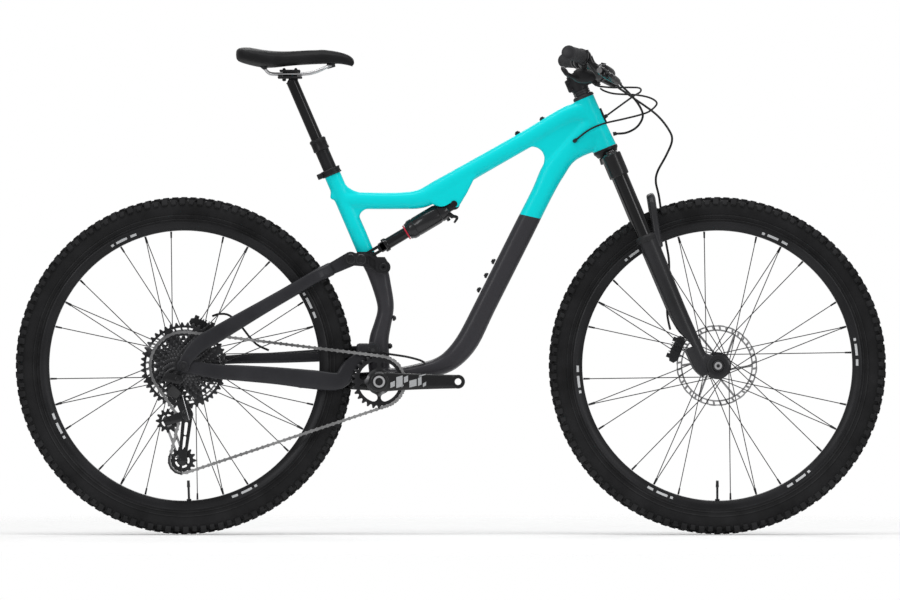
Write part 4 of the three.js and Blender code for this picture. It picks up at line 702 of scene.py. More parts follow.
bm = bmesh.new()
lofted(bm, [
    (*by_main(-16, -8, -31), 13.4, 6.4),
    (*at_bb(-66, 32, -TYRE_SIDE - 6.5), 17.4, 6.8),
    (*at_bb(-88, 2, -TYRE_SIDE - 8), 19.4, 8.3),
    (*at_bb(-145, 4.3, -TYRE_SIDE - 15), 21.3, 8.2),
    (*at_bb(-225, 12.8, -TYRE_SIDE - 21), 19.3, 8.2),
    (*by_axle(130, -16.3, -68), 17.8, 7.3),
    (*by_axle(70, -12, -CHAINSTAY_MID), 16.3, 3.5),
    (*by_axle(0, 0, -CHAINSTAY_MID), 14.3, STAY_END / 2 + 0.2),
], 32, 3.2)
lofted(bm, [
    (*by_main(-12, -4, 31), 13.4, 6.4),
    (*at_bb(-66, 63, TYRE_SIDE + 7), 15.3, 7.3),
    (*at_bb(-121, 58.3, TYRE_SIDE + 12), 14.3, 8.2),
    (*at_bb(-225, 52.8, TYRE_SIDE + 24), 12.3, 8.2),
    (*by_axle(92, 12.7, 74), 9.8, 5.3),
    (*by_axle(50, 6, CHAINSTAY_MID), 11.2, 3.5),
    (*by_axle(0, 0, CHAINSTAY_MID), 14.3, STAY_END / 2 + 0.2),
], 32, 3.2)
for mid in (-CHAINSTAY_MID, CHAINSTAY_MID):
    drum(bm, REAR_AXLE, 16.2, mid - STAY_END / 2, mid + STAY_END / 2, 40)
drum(bm, MAIN_PIVOT, 17.3, -37, 37, 40)
yoke = Matrix.Translation(by_main(-22, 0.5, 0))
block(bm, yoke, (30, 74, 29), 6)
chainstay_shell = as_object("chainstay_shell", bm)
trim = bmesh.new()
block(trim, Matrix.Translation(by_main(11, 0, 0)), (58, 49.4, 80))
for side in (-1, 1):
    drum(trim, MAIN_PIVOT, 26, *sorted((side * 36.7, side * 48)), sides=40)
drum(trim, MAIN_PIVOT, 7.4, -50, 50)
drum(trim, REAR_AXLE, 6.4, -110, 110)
chainstay_trim = as_object("chainstay_trim", trim)
run_together(chainstay_shell, 1.5, 3, chainstay_trim)
fit_piece(chainstay_shell, stay_carbon, "swingarm", "carbon", "chainstay")

bm = bmesh.new()
for side in (-1, 1):
    lofted(bm, [
        (STAY_PIVOT[0] - 44, side * 25, STAY_PIVOT[2] - 22, 14.8, 6.8),
        (STAY_PIVOT[0] - 58, side * 33, STAY_PIVOT[2] - 29, 14.8, 8.4),
        (STAY_PIVOT[0] - 80, side * (TYRE_SIDE + 9), STAY_PIVOT[2] - 40, 14.3, 8.4),
        (STAY_PIVOT[0] - 135, side * (TYRE_SIDE + 15), STAY_PIVOT[2] - 72.5, 14.3, 7.9),
        (STAY_PIVOT[0] - 188, side * (TYRE_SIDE + 22), STAY_PIVOT[2] - 103, 14.8, 7.9),
        (*by_axle(127.6, 102.2, side * 65), 16.3, 7.4),
        (*by_axle(74.6, 71, side * 75), 17.8, 6.8),
        (*by_axle(32, 45, side * SEATSTAY_MID), 17.3, 4.2),
        (*by_axle(8, 16, side * SEATSTAY_MID), 14.8, STAY_END / 2 + 0.2),
        (*by_axle(0, 0, side * SEATSTAY_MID), 13.2, STAY_END / 2 + 0.2),
    ], 32, 3.2)
    drum(bm, REAR_AXLE, 14.2, *sorted((side * SEATSTAY_INNER, side * (SEATSTAY_INNER + STAY_END))), sides=40)
bridge = [(STAY_PIVOT[0] + dx, STAY_PIVOT[2] + dz) for dx, dz in
          [(-49, -8), (-58, -12), (-53, -28), (-43, -32)]]
slab(bm, [bridge], -26, 26, soften=1.5)
EAR = (17.5, 21.2)
ear = arc((STAY_PIVOT[0], STAY_PIVOT[2]), 16.5, -64, 116, 14) + arc(
    (STAY_PIVOT[0] - 46, STAY_PIVOT[2] - 23), 13, 116, 296, 10)
for side in (-1, 1):
    slab(bm, [ear], *sorted((side * EAR[0], side * EAR[1])), soften=0.6)
seatstay_shell = as_object("seatstay_shell", bm)
trim = bmesh.new()
drum(trim, STAY_PIVOT, 11.5, -30, 30)
drum(trim, REAR_AXLE, 6.4, -110, 110)
drum(trim, REAR_AXLE, 34, -SEATSTAY_INNER, SEATSTAY_INNER, 40)
seatstay_trim = as_object("seatstay_trim", trim)
run_together(seatstay_shell, 1.5, 3, seatstay_trim)
fit_piece(seatstay_shell, stay_carbon, "seatstay", "carbon", "seatstay")

# ---------------------------------------------------------------- pivot hardware
# Alloy axles with shallow hex sockets run through the pivots, and plugs close the rocker's ends.
def hex_bolt(bm, place, y0, y1, radius, socket, sides=40):
    """A bolt head whose outer face, at y1, holds a hexagon socket."""
    y_low, y_high = sorted((y0, y1))
    drum(bm, place, radius, y_low, y_high, sides, soften=min(0.8, (y_high - y_low) / 3))
    face = y_high if y1 > y0 else y_low
    lip = 0.25 if y1 > y0 else -0.25
    ring_verts = bmesh.ops.create_circle(bm, cap_ends=True, segments=6, radius=socket,
                                         matrix=Matrix.Translation(
        (place[0], face + lip, place[2])) @ Matrix.Rotation(math.pi / 2, 4, "X"))["verts"]
    faces = list({f for v in ring_verts for f in v.link_faces})
    sunk = bmesh.ops.extrude_face_region(bm, geom=faces)["geom"]
    bmesh.ops.translate(bm, verts=[v for v in sunk if isinstance(v, bmesh.types.BMVert)],
                        vec=(0, -lip * 1.2, 0))


bm = bmesh.new()
for side in (-1, 1):
    hex_bolt(bm, MAIN_PIVOT, side * 37.4, side * 39.9, 11, 4.6)
drum(bm, MAIN_PIVOT, 7, -38, 38)
piece("main_pivot_bolt", bm, gloss_black, "frame", "black_alloy", "main_pivot_axle")
bm = bmesh.new()
ROCKER_INNER, ROCKER_OUTER = 29.5, 38.5
for side in (-1, 1):
    spun(bm, [(2.7, side * 39.2), (9, side * 39.2), (9, side * 40.6), (8.2, side * 41.2), (5, side * 41.2),
              (4.2, side * 40.2), (2.7, side * 40.2)], ROCKER_PIVOT, 40)
spun(bm, [(2.7, -39.4), (5.5, -39.4), (5.5, 39.4), (2.7, 39.4)], ROCKER_PIVOT, 32)
piece("rocker_pivot_bolt", bm, satin_black, "frame", "black_alloy", "rocker_pivot_axle")

# ---------------------------------------------------------------- rocker link
# Two forged plates with a machined pocket on each face. Each turns on the rocker axle and has a
# short pin that carries one ear of the seatstay.
def by_place(place, dx, dz):
    return (place[0] + dx, place[2] + dz)


rocker_outline = [
    *arc(by_place(ROCKER_PIVOT, 0, 0), 15.5, -70, 55, 8),
    by_place(ROCKER_PIVOT, 3, 22.3),
    by_place(ROCKER_PIVOT, -14, 22.6),
    by_place(YOKE_PIVOT, 10, 13.6),
    by_place(YOKE_PIVOT, 0, 14.7),
    *arc(by_place(STAY_PIVOT, 0, 0), 14.4, 112, 262, 10),
    by_place(YOKE_PIVOT, 4, -15),
    by_place(YOKE_PIVOT, 26, -22),
    by_place(ROCKER_PIVOT, -10, -13.5),
]
bm = bmesh.new()
for side in (-1, 1):
    slab(bm, [rocker_outline, arc(by_place(ROCKER_PIVOT, 0, 0), 5.9, 0, 345, 23)],
         *sorted((side * ROCKER_INNER, side * ROCKER_OUTER)), soften=1.1)
rocker = as_object("rocker_plates", bm, 30)
trim = bmesh.new()
pocket = [by_place(YOKE_PIVOT, 16, 9), by_place(ROCKER_PIVOT, -18, 15), by_place(ROCKER_PIVOT, -17, -6),
          by_place(YOKE_PIVOT, 19, -12)]
for side in (-1, 1):
    slab(trim, [pocket], *sorted((side * (ROCKER_OUTER - 3.5), side * (ROCKER_OUTER + 3))))
    slab(trim, [[by_place(YOKE_PIVOT, 12, -9), by_place(YOKE_PIVOT, 12.8, 9), by_place(YOKE_PIVOT, 14, 9),
                 by_place(YOKE_PIVOT, 15.5, -10)]],
         *sorted((side * (ROCKER_OUTER - 1.5), side * (ROCKER_OUTER + 3))))
rocker_trim = as_object("rocker_trim", trim)
cutting = rocker.modifiers.new("pockets", "BOOLEAN")
cutting.operation = "DIFFERENCE"
cutting.solver = "MANIFOLD"
cutting.object = rocker_trim
bpy.context.view_layer.update()
apply_modifiers(rocker)
bpy.data.objects.remove(rocker_trim)
rocker.data.shade_smooth()
rocker.data.set_sharp_from_angle(angle=math.radians(30))
forged_black = finish("forged_black", (0.010, 0.010, 0.011), (0.020, 0.020, 0.022), (0.36, 0.5), metal=0.3,
                      grain_scale=1100, bump=0.25, worn=(0.09, 0.09, 0.095), wear=0.5)
fit_piece(rocker, forged_black, "rocker", "carbon", "rocker_link_left", "rocker_link_right")
bm = bmesh.new()
for side in (-1, 1):
    spun(bm, [(2.6, side * 17.8), (5, side * 17.8), (5, side * 30), (2.6, side * 30)], STAY_PIVOT, 32)
    spun(bm,
         [(2.9, side * 38.4), (11, side * 38.4), (11, side * 39.6), (10, side * 40.3), (6.6, side * 40.3),
              (5.8, side * 39.2), (2.9, side * 39.2)], STAY_PIVOT, 40)
    spun(bm,
         [(0.5, side * 38.4), (11.8, side * 38.4), (11.8, side * 40), (10.8, side * 40.8),
          (7.6, side * 40.8),
              (7, side * 40), (0.5, side * 40)], YOKE_PIVOT, 40)
piece("rocker_caps", bm, gloss_black, "rocker", "carbon")

# ---------------------------------------------------------------- rear shock
# An air shock: a fat can with rolled rims on the frame, a thin polished body on the yoke, a red
# travel band, a lockout lever and a blue rebound dial near the frame mount.
shock_axis = (SHOCK_MOUNT - YOKE_PIVOT).normalized()
shock_length = (SHOCK_MOUNT - YOKE_PIVOT).length
SHOCK = Matrix.Translation(YOKE_PIVOT) @ Matrix.Rotation(math.atan2(shock_axis.x, shock_axis.z), 4, "Y")


def turned_up(bm, matrix, profile, segments=48):
    """A turned part about the given place's own Z axis, from a closed profile of (radius, z)."""
    verts = [bm.verts.new((r, 0, z)) for r, z in profile]
    edges = [bm.edges.new((a, b)) for a, b in zip(verts, verts[1:] + verts[:1])]
    made = bmesh.ops.spin(bm, geom=verts + edges, cent=(0, 0, 0), axis=(0, 0, 1), angle=math.tau,
                          steps=segments, use_merge=True)
    grown = {v for v in verts if v.is_valid} | {v for v in made["geom_last"] if isinstance(v,
                                                                                           bmesh.types.BMVert)}
    reached, edge_of = set(grown), list(grown)
    while edge_of:
        for e in edge_of.pop().link_edges:
            for v in e.verts:
                if v not in reached:
                    reached.add(v)
                    edge_of.append(v)
    bmesh.ops.transform(bm, matrix=matrix, verts=list(reached))


CAN_LOW, CAN_HIGH = 120, shock_length - 20
bm = bmesh.new()
turned_up(bm, SHOCK, [
    (12.9, CAN_LOW), (17.4, CAN_LOW), (18.4, CAN_LOW + 1), (19.4, CAN_LOW + 5), (21.4, CAN_LOW + 8),
    (22, CAN_LOW + 10), (22, CAN_LOW + 19), (21.2, CAN_LOW + 20), (21.2, CAN_LOW + 22), (21.8, CAN_LOW + 23),
    (21.8, CAN_HIGH - 24), (20.6, CAN_HIGH - 22), (20.6, CAN_HIGH - 19), (21.6, CAN_HIGH - 18),
    (21.6, CAN_HIGH - 11), (17, CAN_HIGH + 1), (12.9, CAN_HIGH + 1)])
turned_up(bm, SHOCK, [(0.4, CAN_HIGH - 6), (17, CAN_HIGH - 6), (17, CAN_HIGH + 2), (15, CAN_HIGH + 4),
                      (0.4, CAN_HIGH + 4)])
rod(bm, SHOCK @ Vector((0, -12, shock_length)), SHOCK @ Vector((0, 12, shock_length)), 13, 36, soften=0.8)
block(bm, SHOCK @ Matrix.Translation((0, 0, (CAN_HIGH + shock_length) / 2 - 3)),
      (22, 22, shock_length - CAN_HIGH), 3)
shock_black = finish("shock_black", (0.009, 0.009, 0.010), (0.015, 0.015, 0.017), (0.2, 0.32), metal=0.2,
                     coat=0.4,
                     bump=0.06, worn=(0.08, 0.08, 0.085))
piece("air_can", bm, shock_black, "shock_can", "black_alloy", "shock_can")
bm = bmesh.new()
rod(bm, SHOCK @ Vector((9, -6, CAN_HIGH - 3)), SHOCK @ Vector((24, -6, CAN_HIGH + 4)), 5.5, 24, 5,
    soften=0.6)
tube(bm,
     [SHOCK @ Vector(p) for p in ((21, -6, CAN_HIGH + 2), (27, -6, CAN_HIGH + 10), (31, -7, CAN_HIGH + 9),
                                      (36, -8, CAN_HIGH - 1))], [4, 3.4, 3, 2.2], 12, 3)
rod(bm, SHOCK @ Vector((14, 5, CAN_HIGH - 8)), SHOCK @ Vector((26, 7, CAN_HIGH - 8)), 4, 20, soften=0.5)
piece("lockout_lever", bm, satin_black, "shock_can", "black_alloy")
band_red = finish("band_red", (0.42, 0.012, 0.030), (0.52, 0.020, 0.045), (0.35, 0.45), bump=0.05)
bm = bmesh.new()
turned_up(bm, SHOCK,
          [(12.5, CAN_LOW - 4.2), (16.6, CAN_LOW - 4.2), (17.2, CAN_LOW - 3.4), (17.2, CAN_LOW - 0.8),
                      (12.5, CAN_LOW - 0.8)])
piece("travel_band", bm, band_red, "shock_can", "black_plastic")
bm = bmesh.new()
SHAFT_LOW = 64
YOKE_ARM = (22, 28.8)
turned_up(bm, SHOCK,
          [(0.4, SHAFT_LOW - 4), (12.4, SHAFT_LOW - 4), (12.4, CAN_LOW + 22), (0.4, CAN_LOW + 22)])
turned_up(bm, SHOCK,
          [(0.4, SHAFT_LOW - 6), (14.5, SHAFT_LOW - 6), (15.4, SHAFT_LOW - 4), (15.4, SHAFT_LOW + 3),
                      (14.2, SHAFT_LOW + 5), (0.4, SHAFT_LOW + 5)])
block(bm, SHOCK @ Matrix.Translation((0, 0, SHAFT_LOW - 8)), (22, 2 * YOKE_ARM[1], 16), 3)
shaft_black = finish("shaft_black", (0.010, 0.010, 0.011), (0.016, 0.016, 0.017), (0.12, 0.22), metal=0.5,
                     coat=0.3,
                     bump=0.04)
for side in (-1, 1):
    middle = side * sum(YOKE_ARM) / 2
    arm = [(-8.5, 8), (-8.5, SHAFT_LOW - 2), (8.5, SHAFT_LOW - 2), (8.5, 8), *arc((0, 0), 9, 25, -205, 16)]
    window = [(-2.2, 24), (-2.2, 44), (2.2, 44), (2.2, 24)]
    bore = arc((0, 0), 4, 0, 340, 17)
    made = bmesh.new()
    slab(made, [arm, window, bore], *sorted((side * YOKE_ARM[0], side * YOKE_ARM[1])), soften=0.7)
    bmesh.ops.transform(made, matrix=SHOCK, verts=made.verts)
    arm_mesh = bpy.data.meshes.new("arm")
    made.to_mesh(arm_mesh)
    made.free()
    bm.from_mesh(arm_mesh)
    bpy.data.meshes.remove(arm_mesh)
piece("shock_yoke", bm, shaft_black, "shock_shaft", "hard_chrome_black", "shock_shaft")

# ---------------------------------------------------------------- tyres
# Tubeless rubber tyres: a smooth sidewall under a tread of moulded blocks in staggered rows, the
# shoulder blocks the tallest. Bead wires hold them in the rims' hooks by air pressure.
def repeated(bm, unit, matrices):
    """Sets copies of a small mesh down at many places."""
    template = bpy.data.meshes.new("template")
    unit.to_mesh(template)
    unit.free()
    for matrix in matrices:
        placed = template.copy()
        placed.transform(matrix)
        bm.from_mesh(placed)
        bpy.data.meshes.remove(placed)
    bpy.data.meshes.remove(template)


def about(place, degrees):
    """A turn about a cross axle, then a shift onto it. A positive turn goes from +X towards +Z."""
    return Matrix.Translation(place) @ Matrix.Rotation(-math.radians(degrees), 4, "Y")


tyre_rubber = finish("tyre_rubber", (0.011, 0.011, 0.0115), (0.020, 0.020, 0.021), (0.62, 0.8),
                     grain_scale=1300,
                     drift_scale=20, bump=0.35, depth=0.0002, worn=(0.05, 0.05, 0.052), wear=0.6,
                     specular=0.08)
TREAD_PITCHES = 58
for axle, name in ((REAR_AXLE, "rear"), (FRONT_AXLE, "front")):
    bm = bmesh.new()
    spun(bm,
         [(317.4, -14), (320, -16.6), (323.5, -18), (330, -23.5), (338, -27.6), (346, -29.2), (353, -28.8),
              (359, -25.6), (363.4, -20), (366.6, -13), (368.2, -5), (368.2, 5), (366.6, 13), (363.4, 20),
              (359, 25.6), (353, 28.8), (346, 29.2), (338, 27.6), (330, 23.5), (323.5, 18), (320, 16.6),
              (317.4, 14)], axle, 128)
    for side in (-1, 1):
        for radius in (324.5, 333.5):
            half = 20.2 if radius < 330 else 26.2
            spun(bm, [(radius - 0.8, side * (half - 1)), (radius, side * (half + 0.4)),
                      (radius + 1.4, side * (half + 1.3)), (radius + 2.0, side * (half - 1))], axle, 128)
    unit = bmesh.new()
    KNOBS = [
        (0.00, 5.4, 370.0, (8.6, 7.4, 14.0), 0.0),
        (0.50, -5.4, 370.0, (8.6, 7.4, 14.0), 0.0),
        (0.25, 15.5, 368.4, (7.0, 7.6, 10.5), 0.42),
        (0.75, -15.5, 368.4, (7.0, 7.6, 10.5), -0.42),
        (0.10, 23.4, 363.0, (9.5, 15.0, 12.5), 0.95),
        (0.60, 24.4, 361.4, (8.4, 12.0, 10.0), 0.95),
        (0.60, -23.4, 363.0, (9.5, 15.0, 12.5), -0.95),
        (0.10, -24.4, 361.4, (8.4, 12.0, 10.0), -0.95),
    ]
    step = 360 / TREAD_PITCHES
    for along, side, radius, size, lean in KNOBS:
        seat = Matrix.Rotation(-math.radians(along * step), 4, "Y") @ Matrix.Translation((radius, side, 0))
        block(unit, seat @ Matrix.Rotation(lean, 4, "Z"), size, 0.9)
    repeated(bm, unit, [about(axle, k * step) for k in range(TREAD_PITCHES)])
    piece(f"{name}_tyre_rubber", bm, tyre_rubber, f"{name}_wheel", "tyre_rubber", f"{name}_tyre", sharp=30)

# ---------------------------------------------------------------- rims
# Deep box-section alloy rims, black with plain white stripe marks, and a valve held by its collar.
stripe_white = finish("stripe_white", (0.52, 0.53, 0.54), (0.62, 0.63, 0.64), (0.4, 0.5), bump=0.05)
for axle, name, valve, marks in (
        (REAR_AXLE, "rear", 92, (20, 110, 200, 290)),
        (FRONT_AXLE, "front", 90, (0, 60, 120, 180, 240, 300))):
    bm = bmesh.new()
    spun(bm,
         [(299.7, -5.5), (300.6, -8.6), (307, -13.2), (314.5, -16.6), (318.6, -17.3), (320.4, -16.6),
          (320.2, -14.6),
              (316.6, -13.6), (312, -9), (312, 9), (316.6, 13.6), (320.2, 14.6), (320.4, 16.6),
              (318.6, 17.3),
              (314.5, 16.6), (307, 13.2), (300.6, 8.6), (299.7, 5.5)], axle, 144)
    piece(f"{name}_rim_hoop", bm, satin_black, f"{name}_wheel", "black_alloy", f"{name}_rim", sharp=25)
    bm = bmesh.new()
    for side in (-1, 1):
        for mark in marks:
            for start, end in ((0, 2.6), (4.2, 9.0), (10.2, 11.4)):
                outer = arc((0, 0), 312.6, mark + start, mark + end, 6)
                inner = arc((0, 0), 307.4, mark + end, mark + start, 6)
                patch = bmesh.new()
                slab(patch, [outer + inner], 0, 0.25)
                for vert in patch.verts:
                    reach = math.hypot(vert.co.x, vert.co.z)
                    vert.co.y = side * (13.32 + (reach - 307) * 0.453 + vert.co.y)
                repeated(bm, patch, [Matrix.Translation(axle)])
    piece(f"{name}_rim_marks", bm, stripe_white, f"{name}_wheel", "black_alloy")
    bm = bmesh.new()
    foot = Vector((299, 0, 0))
    spot = about(axle, 270 + (valve - 90))
    rod(bm, spot @ Vector((302, 0, 0)), spot @ Vector((262, 0, 0)), 2.6, 16, soften=0.3)
    rod(bm, spot @ Vector((300, 0, 0)), spot @ Vector((296, 0, 0)), 5.2, 20, soften=0.5)
    rod(bm, spot @ Vector((270, 0, 0)), spot @ Vector((255, 0, 0)), 3.6, 16, 3.0, soften=0.5)
    piece(f"{name}_valve", bm, satin_black, f"{name}_wheel", "black_alloy")

# ---------------------------------------------------------------- hubs and spokes
# Each hub is a turned barrel with two drilled flanges. Thirty-two round spokes cross three times
# and screw into nipples at the rim.
RIM_EDGE = 299.7 * math.cos(math.pi / 32) - 0.6
HUBS = [
    ("rear", REAR_AXLE, (-21, 35), [
        (6.8, -23.9), (24, -23.9), (30.4, -23.4), (31, -22), (31, -20), (29, -18.6), (24, -17.5),
        (18.6, -12), (17, -4),
        (17, 18), (18.6, 26), (24, 31.6), (29, 32.6), (31, 33.6), (31, 36.6), (30, 38.2), (24, 38.9),
        (6.8, 38.9)]),
    ("front", FRONT_AXLE, (-29, 24), [
        (6.8, -54.8), (11.4, -54.8), (12.4, -53.6), (12.4, -40), (14, -37), (26, -33.2), (29.4, -32.4),
        (30.2, -31),
        (30.2, -27.6), (29, -26), (20, -23), (15.6, -18), (14.6, -8), (14.6, 6), (15.6, 14), (20, 19),
        (28.6, 21.2),
        (30, 22.6), (30, 26), (28.8, 27.6), (24, 27.9), (6.8, 27.9)]),
]
spoke_black = finish("spoke_black", (0.016, 0.016, 0.017), (0.030, 0.030, 0.032), (0.28, 0.38), metal=0.5,
                     bump=0.04)
for name, axle, flanges, profile in HUBS:
    bm = bmesh.new()
    spun(bm, profile, axle, 64)
    piece(f"{name}_hub_body", bm, gloss_black, f"{name}_wheel", "black_alloy", f"{name}_hub", sharp=30)
    bm = bmesh.new()
    for number, flange in enumerate(flanges):
        for i in range(16):
            turn = 1 if i % 2 else -1
            foot = math.tau * (i + number / 2) / 16
            head = foot - turn * 5.5 * math.tau / 32
            sides = flange - 2.1 * turn
            root = Vector((axle[0] + 27 * math.cos(foot), sides, axle[2] + 27 * math.sin(foot)))
            tip = Vector((axle[0] + RIM_EDGE * math.cos(head), 1.5 if number else -1.5,
                          axle[2] + RIM_EDGE * math.sin(head)))
            rod(bm, root, tip, 1.05, 8)
            rod(bm, root - Vector((0, 1.4, 0)), root + Vector((0, 1.4, 0)), 2.2, 10)
            rod(bm, tip.lerp(root, 0.046), tip.lerp(root, -0.004), 1.9, 8, 2.3)
    piece(f"{name}_spokes", bm, spoke_black, f"{name}_wheel", "black_alloy")

# ---------------------------------------------------------------- brake rotors
# Stamped steel rotors: two thin rings bridged between long slots, on six leaning arms, bolted to a
# black alloy carrier on the hub.
rotor_steel = finish("rotor_steel", (0.34, 0.34, 0.35), (0.52, 0.52, 0.53), (0.24, 0.4), metal=1.0,
                     grain_scale=2600, drift_scale=40, bump=0.12, worn=(0.7, 0.7, 0.7), wear=0.2)
ARMS = 6
ROTOR_RADIUS = 90
BAND_INNER = 77
SLOT_INNER = 80.4
SLOT_OUTER = 86.6
RIM_NOTCH = 0.8
CARRIER_RADIUS = 20
for name, axle, disc_y, foot_y, end_y in (
        ("rear", REAR_AXLE, 57, 39.4, 73.8), ("front", FRONT_AXLE, 41, 28.4, 54.8)):
    middle = (axle[0], axle[2])
    windows = []
    for k in range(ARMS):
        lean = 360 * k / ARMS
        windows.append(arc(middle, BAND_INNER, lean + 1.6, lean + 57.8, 10) + arc(middle, 30, lean + 39,
                                                                                  lean - 12, 6))
    slots = []
    for turn in range(0, 360, 10):
        slots.append(arc(middle, SLOT_INNER, turn - 3.6, turn + 3.2, 3) + arc(middle, SLOT_OUTER,
                                                                              turn + 4.4, turn - 2.4, 3))
    bm = bmesh.new()
    edge = []
    for k in range(144):
        reach = ROTOR_RADIUS - (RIM_NOTCH if k % 6 in (0, 1) else 0)
        turn = math.tau * k / 144
        edge.append((middle[0] + reach * math.cos(turn), middle[1] + reach * math.sin(turn)))
    slab(bm, [edge, arc(middle, CARRIER_RADIUS, 0, 350, 35), *windows, *slots], disc_y - 0.9, disc_y + 0.9)
    piece(f"{name}_rotor_disc", bm, rotor_steel, f"{name}_wheel", "steel", f"{name}_rotor", sharp=30)
    bm = bmesh.new()
    spun(bm, [(6.8, foot_y), (22.4, foot_y), (23, foot_y + 1), (23, disc_y - 1.2), (20, disc_y - 0.9),
              (20, disc_y + 0.9), (22.6, disc_y + 1), (22.6, disc_y + 2.6), (13, disc_y + 5),
              (12, disc_y + 6),
              (12, end_y), (6.8, end_y)], axle, 48)
    for k in range(ARMS):
        spot = about(axle, 60 * k + 2)
        rod(bm, spot @ Vector((26.5, disc_y - 3, 0)), spot @ Vector((26.5, disc_y + 3, 0)), 3.4, 16,
            soften=0.5)
    piece(f"{name}_rotor_carrier", bm, satin_black, f"{name}_wheel", "steel", sharp=30)

# ---------------------------------------------------------------- headset and seat clamp
# Turned alloy cups pressed into the head tube carry the steerer, with a stack of thin spacers and a
# top cap over them. A bolted collar pinches the seat tube onto the dropper post.
CUP_TOP = HEAD_TUBE[1] + 0.35
bm = bmesh.new()
turned_up(bm, STEERING,
          [(15.8, CUP_TOP), (23.6, CUP_TOP), (24.2, CUP_TOP + 0.8), (23.6, CUP_TOP + 5),
           (22.2, CUP_TOP + 6.4),
                         (19.8, CUP_TOP + 8), (15.8, CUP_TOP + 8)])
piece("headset_top", bm, satin_black, "frame", "black_alloy", "headset_upper_cup")
bm = bmesh.new()
CUP_LOW = HEAD_TUBE[0] - 0.35
turned_up(bm, STEERING,
          [(15.8, CUP_LOW - 16), (21.6, CUP_LOW - 16), (23, CUP_LOW - 15), (26.4, CUP_LOW - 8),
           (27.8, CUP_LOW - 6.4),
                         (28.2, CUP_LOW - 5), (28.2, CUP_LOW - 0.8), (27.6, CUP_LOW), (15.8, CUP_LOW)])
piece("headset_bottom", bm, satin_black, "frame", "black_alloy", "headset_lower_cup")
bm = bmesh.new()
STEM_LOW, STEM_HIGH = 681.05, 719.05
BAR_HEIGHT = (STEM_LOW + STEM_HIGH) / 2
for low, high in ((CUP_TOP + 8.6, CUP_TOP + 13.6), (CUP_TOP + 14, STEM_LOW - 0.2)):
    turned_up(bm, STEERING,
              [(14.6, low), (18.2, low), (18.8, low + 0.6), (18.8, high - 0.6), (18.2, high), (14.6, high)])
turned_up(bm, STEERING,
          [(0.4, STEM_HIGH + 0.2), (16.8, STEM_HIGH + 0.2), (17.6, STEM_HIGH + 1.2), (17, STEM_HIGH + 3.2),
                         (8, STEM_HIGH + 4.2), (5, STEM_HIGH + 4.2), (4.4, STEM_HIGH + 2.4),
                         (0.4, STEM_HIGH + 2.4)])
piece("steerer_spacers", bm, satin_black, "steering", "fork_paint")

bm = bmesh.new()
turned_up(bm, SEAT_POST,
          [(15.9, 0.4), (21.4, 0.4), (22.2, 1.2), (22.2, 3.4), (21.2, 4.2), (21.2, 11), (22.2, 11.8),
                          (22.2, 14.2), (21.4, 15), (15.9, 15)])
for side in (-1, 1):
    block(bm, SEAT_POST @ Matrix.Translation((-25, side * 4.2, 8)), (16, 6.2, 12.5), 1.6)
rod(bm, on_post(-28, -8.4, 8), on_post(-28, 9, 8), 3.1, 16)
rod(bm, on_post(-28, -11.4, 8), on_post(-28, -7, 8), 4.6, 20, soften=0.6)
piece("seat_collar", bm, satin_black, "frame", "black_alloy", "seat_clamp", sharp=30)

# ---------------------------------------------------------------- dropper post
# The lower tube is clamped in the frame and ends in a wiper collar; the polished upper tube slides
# in it and carries the saddle clamp.
POST_EXPOSED = 88
POST_HEAD = POST_EXPOSED + 125 + 13
bm = bmesh.new()
turned_up(bm, SEAT_POST, [
    (13.4, -110), (15.45, -110), (15.45, POST_EXPOSED - 29), (17.4, POST_EXPOSED - 28),
    (18.4, POST_EXPOSED - 27),
    (18.4, POST_EXPOSED - 22), (17.9, POST_EXPOSED - 21), (17.9, POST_EXPOSED - 8), (18.7, POST_EXPOSED - 7),
    (18.7, POST_EXPOSED - 3), (17.2, POST_EXPOSED - 1.4), (14.6, POST_EXPOSED), (13.4, POST_EXPOSED)])
piece("dropper_lower", bm, satin_black, "frame", "black_alloy", "dropper_outer_tube")
bm = bmesh.new()
turned_up(bm, SEAT_POST,
          [(0.4, POST_EXPOSED - 36), (13, POST_EXPOSED - 36), (13, POST_HEAD), (0.4, POST_HEAD)])
piece("dropper_upper", bm, shaft_black, "seat", "hard_chrome_black", "dropper_inner_tube")
SADDLE = SEAT_TOP + Vector((-94.4, 0, 224.2))
bm = bmesh.new()


def by_saddle(dx, side, dz):
    return Vector((SADDLE[0] + dx, side, SADDLE[2] + dz))


block(bm, Matrix.Translation(by_saddle(0, 0, -7.6)), (54, 57.5, 5.4), 1.8)
block(bm, Matrix.Translation(by_saddle(0, 0, 6.9)), (46, 57.5, 4.8), 1.8)
block(bm, Matrix.Translation(by_saddle(0, 0, 0)), (31.5, 32, 17.5), 2.5)
tube(bm, [on_post(0, 0, POST_HEAD - 1), on_post(0, 0, POST_HEAD + 4), by_saddle(-2, 0, -10)],
     [13.8, 13.9, 12], 32, 3)
for dx in (-13, 13):
    rod(bm, by_saddle(dx, 0, -16), by_saddle(dx, 0, 11.6), 2.6, 14)
    rod(bm, by_saddle(dx, 0, -15), by_saddle(dx, 0, -10), 4.4, 18, soften=0.6)
    rod(bm, by_saddle(dx, -5.4, 10), by_saddle(dx, 5.4, 10), 3.6, 18, soften=0.5)
piece("saddle_clamp", bm, satin_black, "seat", "black_alloy", "rail_clamp", sharp=30)

